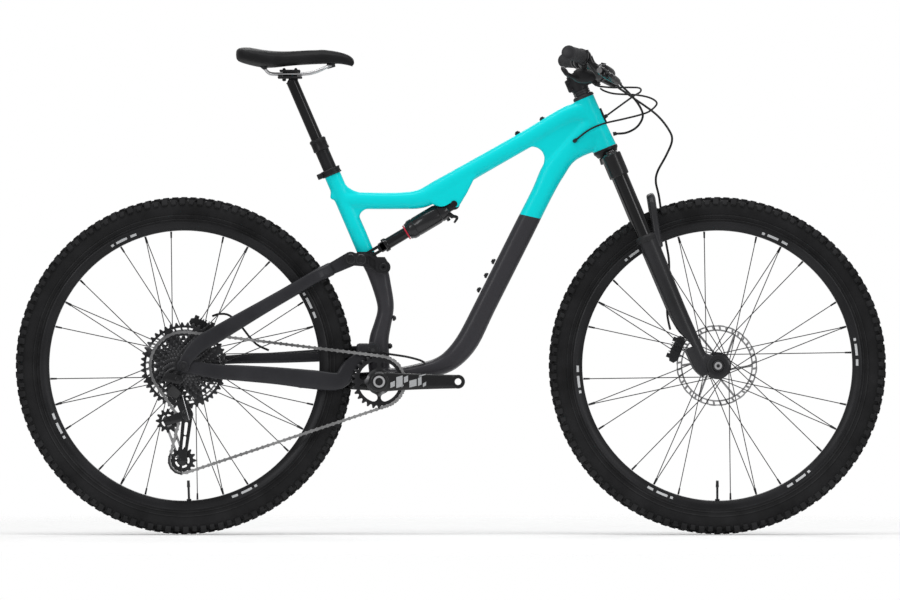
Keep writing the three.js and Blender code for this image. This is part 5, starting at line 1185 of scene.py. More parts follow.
# ---------------------------------------------------------------- saddle
# Two steel rails are sprung into sockets under a moulded shell. Foam is bonded to the shell and a
# synthetic cover is pulled over it, sewn along both flanks and stapled underneath.
RAIL_SIDE = [(-59, 34, 16), (-50, 28, 5), (-38, 22, 0), (0, 22, 0), (36, 22, 0.5), (60, 20, 6), (84, 12, 17)]
rail_line = [by_saddle(*p) for p in RAIL_SIDE] + [by_saddle(92, 0, 20)]
rail_line += [by_saddle(dx, -y, dz) for dx, y, dz in reversed(RAIL_SIDE)]
bm = bmesh.new()
tube(bm, rail_line, 3.5, 20, 5, across=Vector((0, 0, 1)))
piece("saddle_rail_rods", bm, bare_steel, "seat", "steel", "saddle_rails")

# Stations along the saddle: x, height of the spine, drop of the edge, half width, depth of the skirt.
SADDLE_FORM = [
    (-119, 54.5, 3.0, 30, 24),
    (-115, 57.4, 4.0, 52, 34),
    (-104, 59.2, 5.5, 66, 42),
    (-84, 56.0, 6.0, 71, 45),
    (-60, 52.0, 6.5, 69, 44),
    (-36, 49.4, 7.0, 60, 38),
    (-10, 48.8, 8.0, 46, 30),
    (18, 50.2, 8.0, 36, 28),
    (50, 52.0, 8.0, 28, 28),
    (84, 51.6, 7.5, 24, 26),
    (110, 48.6, 6.5, 21.5, 24),
    (128, 43.6, 5.5, 18.5, 22),
    (138, 37.6, 4.5, 14, 18),
    (143, 31.5, 3.0, 8, 10),
]
SADDLE_SIDES = 40


def saddle_section(x, spine, drop, half, skirt):
    """One cross-section of the padded body, from its crown round the edge to the shell below."""
    section = []
    for k in range(SADDLE_SIDES):
        angle = math.tau * k / SADDLE_SIDES
        across, up = math.cos(angle), math.sin(angle)
        y = half * math.copysign(abs(across) ** 0.72, across)
        reach = abs(y) / half
        if up >= 0:
            crown = spine - drop * reach**2.2 - (1.6 * math.exp(-(y / 7) ** 2) if -70 < x < 60 else 0)
            z = crown - (1 - up**0.45) * 5.0
        else:
            z = spine - drop - 5.0 - skirt * 0.55 * abs(up) ** 0.6
        section.append((x, y, z))
    return section


def saddle_body(bm, grow):
    filled = eased(SADDLE_FORM, 4)
    loops = []
    for x, spine, drop, half, skirt in filled:
        ring = saddle_section(x, spine, drop, half - grow, skirt)
        verts = [bm.verts.new(by_saddle(*p)) for p in ring]
        loops.append([bm.edges.new((a, b)) for a, b in zip(verts, verts[1:] + verts[:1])])
    for a, b in zip(loops, loops[1:]):
        bmesh.ops.bridge_loops(bm, edges=a + b)
    for end in (loops[0], loops[-1]):
        bmesh.ops.edgeloop_fill(bm, edges=end)


bm = bmesh.new()
saddle_body(bm, 1.5)
saddle_pad = as_object("saddle_pad", bm)
swell = saddle_pad.modifiers.new("even", "REMESH")
swell.mode = "VOXEL"
swell.voxel_size = 0.0035
apply_modifiers(saddle_pad)
rest = [v.co.copy() for v in saddle_pad.data.vertices]
foam = saddle_pad.modifiers.new("foam", "CLOTH")
foam.settings.use_pressure = True
foam.settings.uniform_pressure_force = 3
foam.settings.effector_weights.gravity = 0
foam.point_cache.frame_end = 14
for moment in range(1, 15):
    scene.frame_set(moment)
apply_modifiers(saddle_pad)
CAP = 0.0022
for vert, start in zip(saddle_pad.data.vertices, rest):
    shift = vert.co - start
    if shift.length > CAP:
        shift *= CAP / shift.length
    vert.co = start + shift
scene.frame_set(1)
ease = saddle_pad.modifiers.new("ease", "SMOOTH")
ease.iterations = 3
fine = saddle_pad.modifiers.new("fine", "SUBSURF")
fine.levels = fine.render_levels = 1
apply_modifiers(saddle_pad)
# The cover's sewn seams draw narrow channels along both flanks.
SEAM = [(x, 0.64 * half) for x, spine, drop, half, skirt in eased(SADDLE_FORM[2:12], 6)]
for vert in saddle_pad.data.vertices:
    x, y, z = vert.co / MM
    if z < SADDLE[2] + 26:
        continue
    gap = min(math.hypot(x - SADDLE[0] - sx, abs(y) - sy) for sx, sy in SEAM)
    if gap < 3.2:
        vert.co.z -= 0.0011 * math.exp(-(gap / 1.3) ** 2)
saddle_pad.data.shade_smooth()
saddle_cover = finish("saddle_cover", (0.010, 0.010, 0.0105), (0.016, 0.016, 0.017), (0.42, 0.55),
                      grain_scale=1500,
                      drift_scale=18, bump=0.35, depth=0.00012, worn=(0.028, 0.028, 0.028), wear=0.3,
                      specular=0.12)
fit_piece(saddle_pad, saddle_cover, "seat", "saddle_cover", "saddle")
seam_thread = finish("seam_thread", (0.030, 0.030, 0.031), (0.05, 0.05, 0.052), (0.6, 0.75),
                     grain_scale=2600)
bm = bmesh.new()
sewn = [(x, 0.64 * half, spine - drop * 0.64**2.2 - 1.3) for x, spine, drop, half,
        skirt in eased(SADDLE_FORM[2:12], 6)]
for side in (-1, 1):
    for k in range(1, len(sewn) - 1, 1):
        a = by_saddle(sewn[k][0], side * sewn[k][1], sewn[k][2])
        b = by_saddle(sewn[k + 1][0], side * sewn[k + 1][1], sewn[k + 1][2])
        rod(bm, a.lerp(b, 0.1), a.lerp(b, 0.75), 0.45, 6)
piece("saddle_stitches", bm, seam_thread, "seat", "saddle_cover")
bm = bmesh.new()
shell = []
for x, spine, drop, half, skirt in SADDLE_FORM[1:13]:
    shell.append((*by_saddle(x + 1, 0, spine - drop - 5 - skirt * 0.52), 2.2, half * 0.62))
lofted(bm, shell, 24, 3.0, 3)
for side in (-1, 1):
    rod(bm, by_saddle(-62, side * 36, 19), by_saddle(-54, side * 31, 12), 5.6, 20, 4.8, soften=0.8)
rod(bm, by_saddle(82, 0, 19), by_saddle(100, 0, 22), 8, 20, 6, soften=0.8)
piece("saddle_shell", bm, moulded_black, "seat", "saddle_cover")

# ---------------------------------------------------------------- fork
# An air-sprung telescopic fork. The forged crown holds the steerer and two hard-anodised stanchions;
# the cast magnesium lowers slide on them, tied by an arch ahead of the crown.
LEG_TOP = 327
LEG_SIDE = 66
LEG_AHEAD = 6
CROWN_TOP = CUP_LOW - 16.35
bm = bmesh.new()
rod(bm, in_steering(0, 0, CROWN_TOP - 6), in_steering(0, 0, CUP_TOP + 60), 14.3, 40)
rod(bm, in_steering(0, 0, CROWN_TOP - 15), in_steering(0, 0, CROWN_TOP), 23, 40, 21)
lofted(bm, [
    (*in_steering(5, -64, CROWN_TOP - 10), 8, 19),
    (*in_steering(4, -40, CROWN_TOP - 9), 8.6, 19.5),
    (*in_steering(3, -16, CROWN_TOP - 8.6), 9.4, 21),
    (*in_steering(3, 16, CROWN_TOP - 8.6), 9.4, 21),
    (*in_steering(4, 40, CROWN_TOP - 9), 8.6, 19.5),
    (*in_steering(5, 64, CROWN_TOP - 10), 8, 19),
], 28, 3.4, 3, across=(STEERING.to_3x3() @ Vector((1, 0, 0))))
for side in (-LEG_SIDE, LEG_SIDE):
    rod(bm, in_steering(LEG_AHEAD, side, 471), in_steering(LEG_AHEAD, side, CROWN_TOP - 1), 21.4, 48, 21.4,
        soften=2)
crown_black = finish("crown_black", (0.010, 0.010, 0.011), (0.017, 0.017, 0.018), (0.3, 0.42), coat=0.25,
                     metal=0.2,
                     bump=0.1, worn=(0.08, 0.08, 0.083))
crown = as_object("crown_casting", bm)
run_together(crown, 1.6, 4)
fit_piece(crown, crown_black, "steering", "fork_paint", "fork_crown")
bm = bmesh.new()
for side in (-LEG_SIDE, LEG_SIDE):
    rod(bm, in_steering(LEG_AHEAD, side, LEG_TOP - 94), in_steering(LEG_AHEAD, side, 475), 17.3, 56)
piece("stanchions", bm, shaft_black, "steering", "fork_paint")
bm = bmesh.new()
for side in (-LEG_SIDE, LEG_SIDE):
    spot = STEERING @ Matrix.Translation((LEG_AHEAD, side, 0))
    turned_up(bm, spot,
              [(0.4, CROWN_TOP - 2), (15.6, CROWN_TOP - 2), (15.6, CROWN_TOP + 0.4), (14, CROWN_TOP + 2),
                         (0.4, CROWN_TOP + 2)])
    turned_up(bm, spot, [(0.4, CROWN_TOP + 1), (9, CROWN_TOP + 1), (9, CROWN_TOP + 5), (8, CROWN_TOP + 6.4),
                         (0.4, CROWN_TOP + 6.4)], 24)
piece("crown_caps", bm, gloss_black, "steering", "fork_paint")

bm = bmesh.new()
ahead = LEG_AHEAD + 2
for side in (-1, 1):
    lofted(bm, [
        (*in_steering(ahead, side * LEG_SIDE, LEG_TOP - 2), 21.6, 21.6),
        (*in_steering(ahead, side * LEG_SIDE, 290), 20.9, 20.9),
        (*in_steering(ahead, side * LEG_SIDE, 230), 20.4, 20.4),
        (*in_steering(ahead, side * LEG_SIDE, 150), 19.7, 19.7),
        (*in_steering(ahead + 1, side * LEG_SIDE, 90), 19.6, 18.6),
        (*in_steering(ahead + 2, side * (LEG_SIDE + 1), 45), 19.4, 15.2),
        (*in_steering(ahead + 3, side * (LEG_SIDE + 1), 14), 18.6, 11.6),
        (*in_steering(ahead + 6, side * (LEG_SIDE + 1), -8), 12, 10.6),
    ], 36, 2.1, 4)
    lofted(bm, [
        (*in_steering(ahead + 2, side * (LEG_SIDE + 1), 34), 17, 11.4),
        (*in_steering(ahead + 18, side * (LEG_SIDE + 1), 14), 19, 10.8),
        (*in_steering(ahead + 32, side * (LEG_SIDE + 1), 3), 18, 10.4),
    ], 28, 2.4, 3)
    drum(bm, FRONT_AXLE, 21, *sorted((side * 55.6, side * 78)), sides=56)
lofted(bm, [
    (*in_steering(ahead + 17, -LEG_SIDE + 2, LEG_TOP - 34), 13.4, 9.4),
    (*in_steering(ahead + 29, -LEG_SIDE + 8, LEG_TOP + 14), 12.2, 8.6),
    (*in_steering(ahead + 42, -36, LEG_TOP + 66), 11, 8.6),
    (*in_steering(ahead + 44, 0, LEG_TOP + 74), 9.6, 9),
    (*in_steering(ahead + 42, 36, LEG_TOP + 66), 11, 8.6),
    (*in_steering(ahead + 29, LEG_SIDE - 8, LEG_TOP + 14), 12.2, 8.6),
    (*in_steering(ahead + 17, LEG_SIDE - 2, LEG_TOP - 34), 13.4, 9.4),
], 28, 3.2, 5, across=STEERING.to_3x3() @ Vector((1, 0, 0)))
lowers = as_object("fork_castings", bm)
trim = bmesh.new()
for side in (-1, 1):
    rod(trim, in_steering(LEG_AHEAD, side * LEG_SIDE, 60),
        in_steering(LEG_AHEAD, side * LEG_SIDE, LEG_TOP + 5), 17.7, 48)
rod(trim, FRONT_AXLE - 54.9 * ACROSS, FRONT_AXLE + 54.9 * ACROSS, 32, 48)
lowers_trim = as_object("lowers_trim", trim)
run_together(lowers, 1.7, 4, lowers_trim)
cast_black = finish("cast_black", (0.016, 0.016, 0.0175), (0.026, 0.026, 0.029), (0.34, 0.46), coat=0.06,
                    grain_scale=1200, bump=0.16, worn=(0.06, 0.06, 0.063), wear=0.3)
fit_piece(lowers, cast_black, "fork_lower", "fork_paint", "fork_lowers")
bm = bmesh.new()
for side in (-1, 1):
    spot = STEERING @ Matrix.Translation((LEG_AHEAD, side * LEG_SIDE, 0))
    turned_up(bm, spot,
              [(17.5, LEG_TOP - 12), (22.9, LEG_TOP - 12), (23.4, LEG_TOP - 11), (23.4, LEG_TOP - 3),
                         (22.4, LEG_TOP - 1.4), (18.2, LEG_TOP + 2.4), (17.5, LEG_TOP + 2.4)])
piece("fork_wipers", bm, moulded_black, "fork_lower", "fork_paint")
bm = bmesh.new()
rod(bm, FRONT_AXLE - 81.4 * ACROSS, FRONT_AXLE + 79.5 * ACROSS, 6, 32)
for y0, y1, radius, hollow in ((-82.6, -78.4, 12.4, 6), (78.4, 80, 9, 4)):
    turned = [(3.2, y0), (radius - 1, y0), (radius, y0 + (y1 - y0) * 0.3), (radius, y1), (3.2, y1)]
    spun(bm, turned, FRONT_AXLE, 40)
spun(bm, [(13.5, -78.6), (24.6, -78.6), (24.6, -79.6), (23.4, -80.4), (14.8, -80.4), (13.5, -79.6)],
     FRONT_AXLE, 56)
piece("front_axle_bolt", bm, satin_black, "fork_lower", "black_alloy", "front_axle")
bm = bmesh.new()
spun(bm, [(4, -83.2), (8.4, -83.2), (8.4, -82.4), (4, -82.4)], FRONT_AXLE, 40)
piece("front_axle_ring", bm, silver_alloy, "fork_lower", "black_alloy")

# ---------------------------------------------------------------- brake callipers
# Two-piston callipers sit over the rotors' edges: a clamped body with cooling slots, two fixing
# bolts and a banjo for the hose.
for name, axle, degrees, disc_y, body in (
        ("rear", REAR_AXLE, 66, 57, "seatstay"), ("front", FRONT_AXLE, 158, 41, "fork_lower")):
    spot = about(axle, degrees)
    bm = bmesh.new()
    for y0, y1 in ((disc_y - 13.6, disc_y - 3.7), (disc_y + 3.7, disc_y + 7.8)):
        shape = bmesh.new()
        slab(shape,
             [[(85, -22), (90, -31), (101, -31), (106, -24), (104, -9), (109, 2), (107, 20), (102, 30),
                      (92, 31), (85, 22)]], y0, y1, soften=1.4)
        repeated(bm, shape, [spot])
    block(bm, spot @ Matrix.Translation((102.5, disc_y - 3, 0)), (9, 20, 46), 2)
    for up in (-24, 24):
        rod(bm, spot @ Vector((99, disc_y + 6, up)), spot @ Vector((99, disc_y + 11, up)), 4.4, 20,
            soften=0.6)
        rod(bm, spot @ Vector((103, disc_y - 7, up * 0.8)), spot @ Vector((113, disc_y - 7, up * 0.8)), 5,
            20, soften=0.6)
    drum_at = spot @ Vector((97, disc_y + 7.4, 0))
    rod(bm, drum_at, drum_at + 2.2 * ACROSS, 11.5, 36, 10.4, soften=0.6)
    for fin in range(4):
        block(bm, spot @ Matrix.Translation((108.5, disc_y - 3, -10 + fin * 6.6)), (7, 9, 2), 0.4)
    piece(f"{name}_calliper_body", bm, satin_black, body, "black_alloy", f"{name}_brake_caliper", sharp=30)
bm = bmesh.new()
rod(bm, by_axle(0, 0, -90.3), by_axle(0, 0, 90.3), 6, 32)
for side in (-1, 1):
    spun(bm,
         [(2.6, side * 87.2), (10, side * 87.2), (10, side * 90), (9, side * 91), (4.4, side * 91),
          (4, side * 89.4),
              (2.6, side * 89.4)], REAR_AXLE, 36)
piece("rear_axle_bolt", bm, satin_black, "swingarm", "black_alloy", "rear_axle")

# ---------------------------------------------------------------- stem and handlebar
# A short forged stem clamps the steerer with two bolts and the bar with a four-bolt faceplate. The
# bar is a butted alloy tube, fat at the clamp, with 45 mm of rise.
STEM_LENGTH = 44
BAR_HALF = 390
GRIP_LENGTH = 132
STEERING_AHEAD = STEERING.to_3x3() @ Vector((1, 0, 0))


def in_steering_at(p):
    return STEERING @ Vector(p)


bm = bmesh.new()
rod(bm, in_steering(0, 0, STEM_LOW), in_steering(0, 0, STEM_HIGH), 19.2, 48, soften=1.5)
block(bm, STEERING @ Matrix.Translation((20, 0, BAR_HEIGHT)), (40, 37, 29), 5)
rod(bm, in_steering(STEM_LENGTH, -24, BAR_HEIGHT), in_steering(STEM_LENGTH, 24, BAR_HEIGHT), 20.6, 48,
    soften=1.6)
block(bm, STEERING @ Matrix.Translation((-17, 0, BAR_HEIGHT - 1)), (18, 24, 29), 3)
stem = as_object("stem_forging", bm)
trim = bmesh.new()
block(trim, STEERING @ Matrix.Translation((STEM_LENGTH - 19, 0, BAR_HEIGHT)), (7, 21, 60), 2.5)
block(trim, STEERING @ Matrix.Translation((-22, 0, BAR_HEIGHT)), (20, 1.8, 60))
block(trim, STEERING @ Matrix.Translation((STEM_LENGTH + 3, 0, BAR_HEIGHT + 21)), (1.2, 60, 10))
block(trim, STEERING @ Matrix.Translation((STEM_LENGTH + 3, 0, BAR_HEIGHT - 21)), (1.2, 60, 10))
stem_trim = as_object("stem_trim", trim)
run_together(stem, 1.1, 4, stem_trim)
fit_piece(stem, satin_black, "steering", "black_alloy", "stem")
bm = bmesh.new()
for side in (-1, 1):
    for up in (-1, 1):
        low = in_steering(STEM_LENGTH + 17, side * 16, BAR_HEIGHT + up * 14)
        rod(bm, low - STEERING_AHEAD * 12, low + STEERING_AHEAD * 3, 4.2, 20, soften=0.6)
for up in (-9, 9):
    rod(bm, in_steering(-20, -12.2, BAR_HEIGHT + up), in_steering(-20, -14.4, BAR_HEIGHT + up), 4.4, 20,
        soften=0.6)
piece("stem_bolts", bm, gloss_black, "steering", "black_alloy")

grip_foot = Vector((25.7, BAR_HALF - GRIP_LENGTH, BAR_HEIGHT + 45.5))
grip_end = Vector((0, BAR_HALF, BAR_HEIGHT + 61.7))


def along_grip(t):
    return grip_foot.lerp(grip_end, t)


def mirrored(p):
    return Vector((p[0], -p[1], p[2]))


half_bar = [Vector(p) for p in (
    (STEM_LENGTH, 38, BAR_HEIGHT), (STEM_LENGTH - 3, 72, BAR_HEIGHT + 7),
    (STEM_LENGTH - 9, 118, BAR_HEIGHT + 28),
    (STEM_LENGTH - 13, 165, BAR_HEIGHT + 37))] + [along_grip(t) for t in (-0.3, 0, 0.5, 0.97)]
bar_line = [mirrored(p) for p in reversed(half_bar)] + [Vector((STEM_LENGTH, 0, BAR_HEIGHT))] + half_bar
bm = bmesh.new()
sizes = [11.1, 11.1, 11.1, 11.1, 11.1, 11.8, 13.6, 15.6, 15.9, 15.6, 13.6, 11.8, 11.1, 11.1, 11.1, 11.1,
         11.1]
tube(bm, [in_steering_at(p) for p in bar_line], sizes, 32, 5, across=STEERING_AHEAD)
piece("bar_tube", bm, satin_black, "steering", "black_alloy", "handlebar", sharp=50)

# ---------------------------------------------------------------- grips
# Push-on rubber grips with rows of moulded ribs, locked by an alloy collar at the inner end and
# closed by an end plug.
grip_rubber = finish("grip_rubber", (0.024, 0.024, 0.026), (0.040, 0.040, 0.043), (0.62, 0.78),
                     grain_scale=1500,
                     bump=0.35, depth=0.0002, worn=(0.06, 0.06, 0.063))
for side, name in ((-1, "right"), (1, "left")):
    flip = mirrored if side < 0 else Vector
    foot, end = in_steering_at(flip(grip_foot)), in_steering_at(flip(grip_end))
    lie = Matrix.Translation(foot) @ (end - foot).to_track_quat("Z", "Y").to_matrix().to_4x4()
    length = (end - foot).length
    bm = bmesh.new()
    ribs = [(12.5, 13)]
    count = 26
    for k in range(count):
        start = 14 + (length - 24) * k / count
        pitch = (length - 24) / count
        ribs += [(14.5, start), (15.5, start + pitch * 0.2), (15.5, start + pitch * 0.66),
                 (14.5, start + pitch * 0.86)]
    ribs += [(15.6, length - 9), (16.4, length - 7), (16.4, length - 2.5), (15, length - 0.6),
             (12.5, length - 0.6)]
    turned_up(bm, lie, ribs, 40)
    piece(f"grip_sleeve_{name}", bm, grip_rubber, "steering", "grip_rubber", f"grip_{name}", sharp=40)
    bm = bmesh.new()
    turned_up(bm, lie, [(12.5, 0.2), (16.2, 0.2), (17, 1), (17, 11), (16.2, 12), (12.5, 12)], 40)
    turned_up(bm, lie,
              [(0.4, length - 3), (13, length - 3), (13, length - 0.2), (11, length + 0.6),
               (0.4, length + 0.6)], 32)
    rod(bm, lie @ Vector((14, 7, 6)), lie @ Vector((14, 14, 6)), 3, 16, soften=0.4)
    piece(f"grip_collar_{name}", bm, satin_black, "steering", "grip_rubber")

# ---------------------------------------------------------------- brake levers
# Each master cylinder hangs ahead of the bar on a hinged clamp, with its reservoir cap inboard and
# a hooked alloy blade on a pin. The hose leaves from its inner end.
CLAMP_AT = -0.16
LEVER_PIVOT = Vector((63, along_grip(-0.06)[1], BAR_HEIGHT - 13))
for side, name in ((-1, "right"), (1, "left")):
    flip = mirrored if side < 0 else Vector

    def at(*p):
        return in_steering_at(flip(p))

    bm = bmesh.new()
    a, b = in_steering_at(flip(along_grip(CLAMP_AT - 0.05))), in_steering_at(flip(along_grip(CLAMP_AT + 0.05)))
    ring_place = Matrix.Translation(a) @ (b - a).to_track_quat("Z", "Y").to_matrix().to_4x4()
    wide = (b - a).length
    turned_up(bm, ring_place, [(12, 0), (16, 0), (16.8, 0.8), (16.8, wide - 0.8), (16, wide), (12, wide)],
              40)
    neck_at = along_grip(CLAMP_AT)
    tube(bm, [at(neck_at[0] + 12, neck_at[1], neck_at[2] - 4), at(42, BAR_HALF - 155, BAR_HEIGHT + 20),
              at(51, BAR_HALF - 155, BAR_HEIGHT + 4)], [7, 7.6, 9], 20, 4, across=STEERING_AHEAD)
    tube(bm,
         [at(50, BAR_HALF - 134, BAR_HEIGHT + 2), at(53, BAR_HALF - 142, BAR_HEIGHT),
          at(60, BAR_HALF - 160, BAR_HEIGHT - 9),
              at(70, BAR_HALF - 188, BAR_HEIGHT - 23), at(78, BAR_HALF - 212, BAR_HEIGHT - 34),
              at(80, BAR_HALF - 219, BAR_HEIGHT - 38)], [6.5, 9.4, 10, 9.2, 8, 5.6], 28, 4,
              across=STEERING_AHEAD)
    tube(bm,
         [at(58, BAR_HALF - 154, BAR_HEIGHT + 5), at(62, BAR_HALF - 163, BAR_HEIGHT + 2),
          at(72, BAR_HALF - 188, BAR_HEIGHT - 11),
              at(77, BAR_HALF - 199, BAR_HEIGHT - 17)], [6, 10, 9.6, 5], 24, 4, across=STEERING_AHEAD)
    pin = at(LEVER_PIVOT[0] - 3, LEVER_PIVOT[1], LEVER_PIVOT[2] + 3)
    drop = (STEERING.to_3x3() @ Vector((0.55, 0, 0.835))).normalized()
    rod(bm, pin - drop * 8, pin + drop * 8, 7, 24, soften=0.8)
    piece(f"master_{name}", bm, gloss_black, "steering", "black_alloy", f"brake_master_{name}", sharp=45)
    bm = bmesh.new()
    rod(bm, at(62, BAR_HALF - 170, BAR_HEIGHT + 8), at(66, BAR_HALF - 170, BAR_HEIGHT + 14), 6.4, 24, 5.6,
        soften=0.6)
    rod(bm, at(79, BAR_HALF - 216, BAR_HEIGHT - 36), at(84, BAR_HALF - 230, BAR_HEIGHT - 42), 4.4, 16, 3.4,
        soften=0.4)
    piece(f"master_fittings_{name}", bm, satin_black, "steering", "black_alloy")
    x, y, z = LEVER_PIVOT
    bm = bmesh.new()
    lofted(bm, [
        (*at(x + 1, y + 2, z - 1), 6, 5.6), (*at(x + 4, y + 10, z - 7), 5.8, 5.2),
        (*at(x + 8, y + 18, z - 12), 5.2, 4.6), (*at(x + 9, y + 48, z - 13.4), 5.2, 3.7),
        (*at(x + 5.4, y + 66, z - 9.6), 5.4, 3.6), (*at(x + 4, y + 80, z - 6), 5.4, 3.7),
        (*at(x + 4.2, y + 96, z - 6.4), 5.8, 4), (*at(x + 5, y + 104, z - 7.6), 4.4, 3.4),
    ], 24, 2.8, 4, across=STEERING.to_3x3() @ Vector((0.56, 0, -0.83)))
    piece(f"lever_blade_{name}", bm, satin_black, f"brake_lever_{name}", "black_alloy",
          f"brake_lever_{name}", sharp=50)

# ---------------------------------------------------------------- shifter and dropper remote
# The gear shifter hangs under the right-hand bar, with a thumb paddle and a release trigger. The
# left-hand remote pulls the post's cable with one wide paddle.
SHIFTER_SIDE = -(BAR_HALF - GRIP_LENGTH - 62)
bm = bmesh.new()
y = SHIFTER_SIDE
lofted(bm, [
    (*in_steering(-6, y, BAR_HEIGHT + 15), 9, 12), (*in_steering(0, y, BAR_HEIGHT + 12), 14, 17),
    (*in_steering(10, y, BAR_HEIGHT + 8), 17, 19), (*in_steering(26, y, BAR_HEIGHT - 2), 14, 17),
    (*in_steering(32, y, BAR_HEIGHT - 10), 9, 11), (*in_steering(34, y, BAR_HEIGHT - 13), 5, 7),
], 28, 2.8, 4)
rod(bm, in_steering(19, y, BAR_HEIGHT + 10), in_steering(27, y, BAR_HEIGHT + 32), 6.6, 20)
ring_at = in_steering(28.5, y - 7, BAR_HEIGHT + 41.2)
ring_to = in_steering(30, y + 7, BAR_HEIGHT + 40.2)
turned_up(bm, Matrix.Translation(ring_at) @ (ring_to - ring_at).to_track_quat("Z", "Y").to_matrix().to_4x4(),
          [(12.2, 0), (15.6, 0), (16.2, 0.6), (16.2, 13.5), (15.6, 14.1), (12.2, 14.1)], 36)
piece("shifter_pod", bm, moulded_black, "steering", "black_plastic", "shifter_body", sharp=45)
bm = bmesh.new()
down = (in_steering(39, y, BAR_HEIGHT - 29) - in_steering(27, y, BAR_HEIGHT - 8)).normalized()
barrel_start = in_steering(27, y, BAR_HEIGHT - 8)
lie = Matrix.Translation(barrel_start) @ down.to_track_quat("Z", "Y").to_matrix().to_4x4()
grooves = [(0.4, 2), (6.6, 2), (6.6, 5)]
for k in range(5):
    grooves += [(5.8, 5.4 + k * 2.4), (6.6, 6.2 + k * 2.4), (6.6, 7.2 + k * 2.4)]
grooves += [(5.2, 19), (4.2, 24), (0.4, 24)]
turned_up(bm, lie, grooves, 28)
piece("barrel_adjuster", bm, satin_black, "steering", "black_plastic")
bm = bmesh.new()
tube(bm, [in_steering(-2, y - 21, BAR_HEIGHT + 5), in_steering(-10, y - 30, BAR_HEIGHT + 14),
          in_steering(-19, y - 38, BAR_HEIGHT + 24)], [4.6, 4.2, 4.6], 20, 4, across=STEERING_AHEAD)
lofted(bm, [
    (*in_steering(-22.4, y - 31, BAR_HEIGHT + 39), 3, 6),
    (*in_steering(-21.6, y - 34, BAR_HEIGHT + 35), 4.6, 10),
    (*in_steering(-20, y - 38, BAR_HEIGHT + 30), 5.6, 12),
    (*in_steering(-18.6, y - 40, BAR_HEIGHT + 22), 5, 10),
    (*in_steering(-18, y - 40, BAR_HEIGHT + 19), 3, 7),
], 24, 2.6, 3)
piece("thumb_paddle", bm, satin_black, "shift_paddle", "black_plastic", "shift_paddle", sharp=50)
bm = bmesh.new()
y = -SHIFTER_SIDE
ring_at = in_steering(28.5, y + 7, BAR_HEIGHT + 41.2)
ring_to = in_steering(30, y - 7, BAR_HEIGHT + 40.2)
turned_up(bm, Matrix.Translation(ring_at) @ (ring_to - ring_at).to_track_quat("Z", "Y").to_matrix().to_4x4(),
          [(12.2, 0), (15.6, 0), (16.2, 0.6), (16.2, 13.5), (15.6, 14.1), (12.2, 14.1)], 36)
tube(bm,
     [in_steering(25, y, BAR_HEIGHT + 28), in_steering(32, y, BAR_HEIGHT + 12),
      in_steering(40, y, BAR_HEIGHT - 8),
          in_steering(44, y, BAR_HEIGHT - 18)], [9, 9.6, 7.4, 5.4], 24, 4)
piece("remote_pod", bm, moulded_black, "steering", "black_plastic", "dropper_remote", sharp=45)
bm = bmesh.new()
tube(bm, [in_steering(18, y + 14, BAR_HEIGHT + 14), in_steering(10, y + 24, BAR_HEIGHT + 12),
          in_steering(2, y + 32, BAR_HEIGHT + 10)], [5, 4.6, 5], 20, 4)
lofted(bm, [
    (*in_steering(9, y + 26, BAR_HEIGHT + 17), 3, 6), (*in_steering(4, y + 33, BAR_HEIGHT + 12.4), 4.8, 10),
    (*in_steering(-2, y + 40, BAR_HEIGHT + 8), 5.6, 12), (*in_steering(-6, y + 48, BAR_HEIGHT + 4), 4.6, 10),
    (*in_steering(-8.4, y + 53, BAR_HEIGHT + 1.6), 2.6, 6),
], 24, 2.6, 3)
piece("remote_paddle", bm, satin_black, "dropper_paddle", "black_plastic", "dropper_paddle", sharp=50)
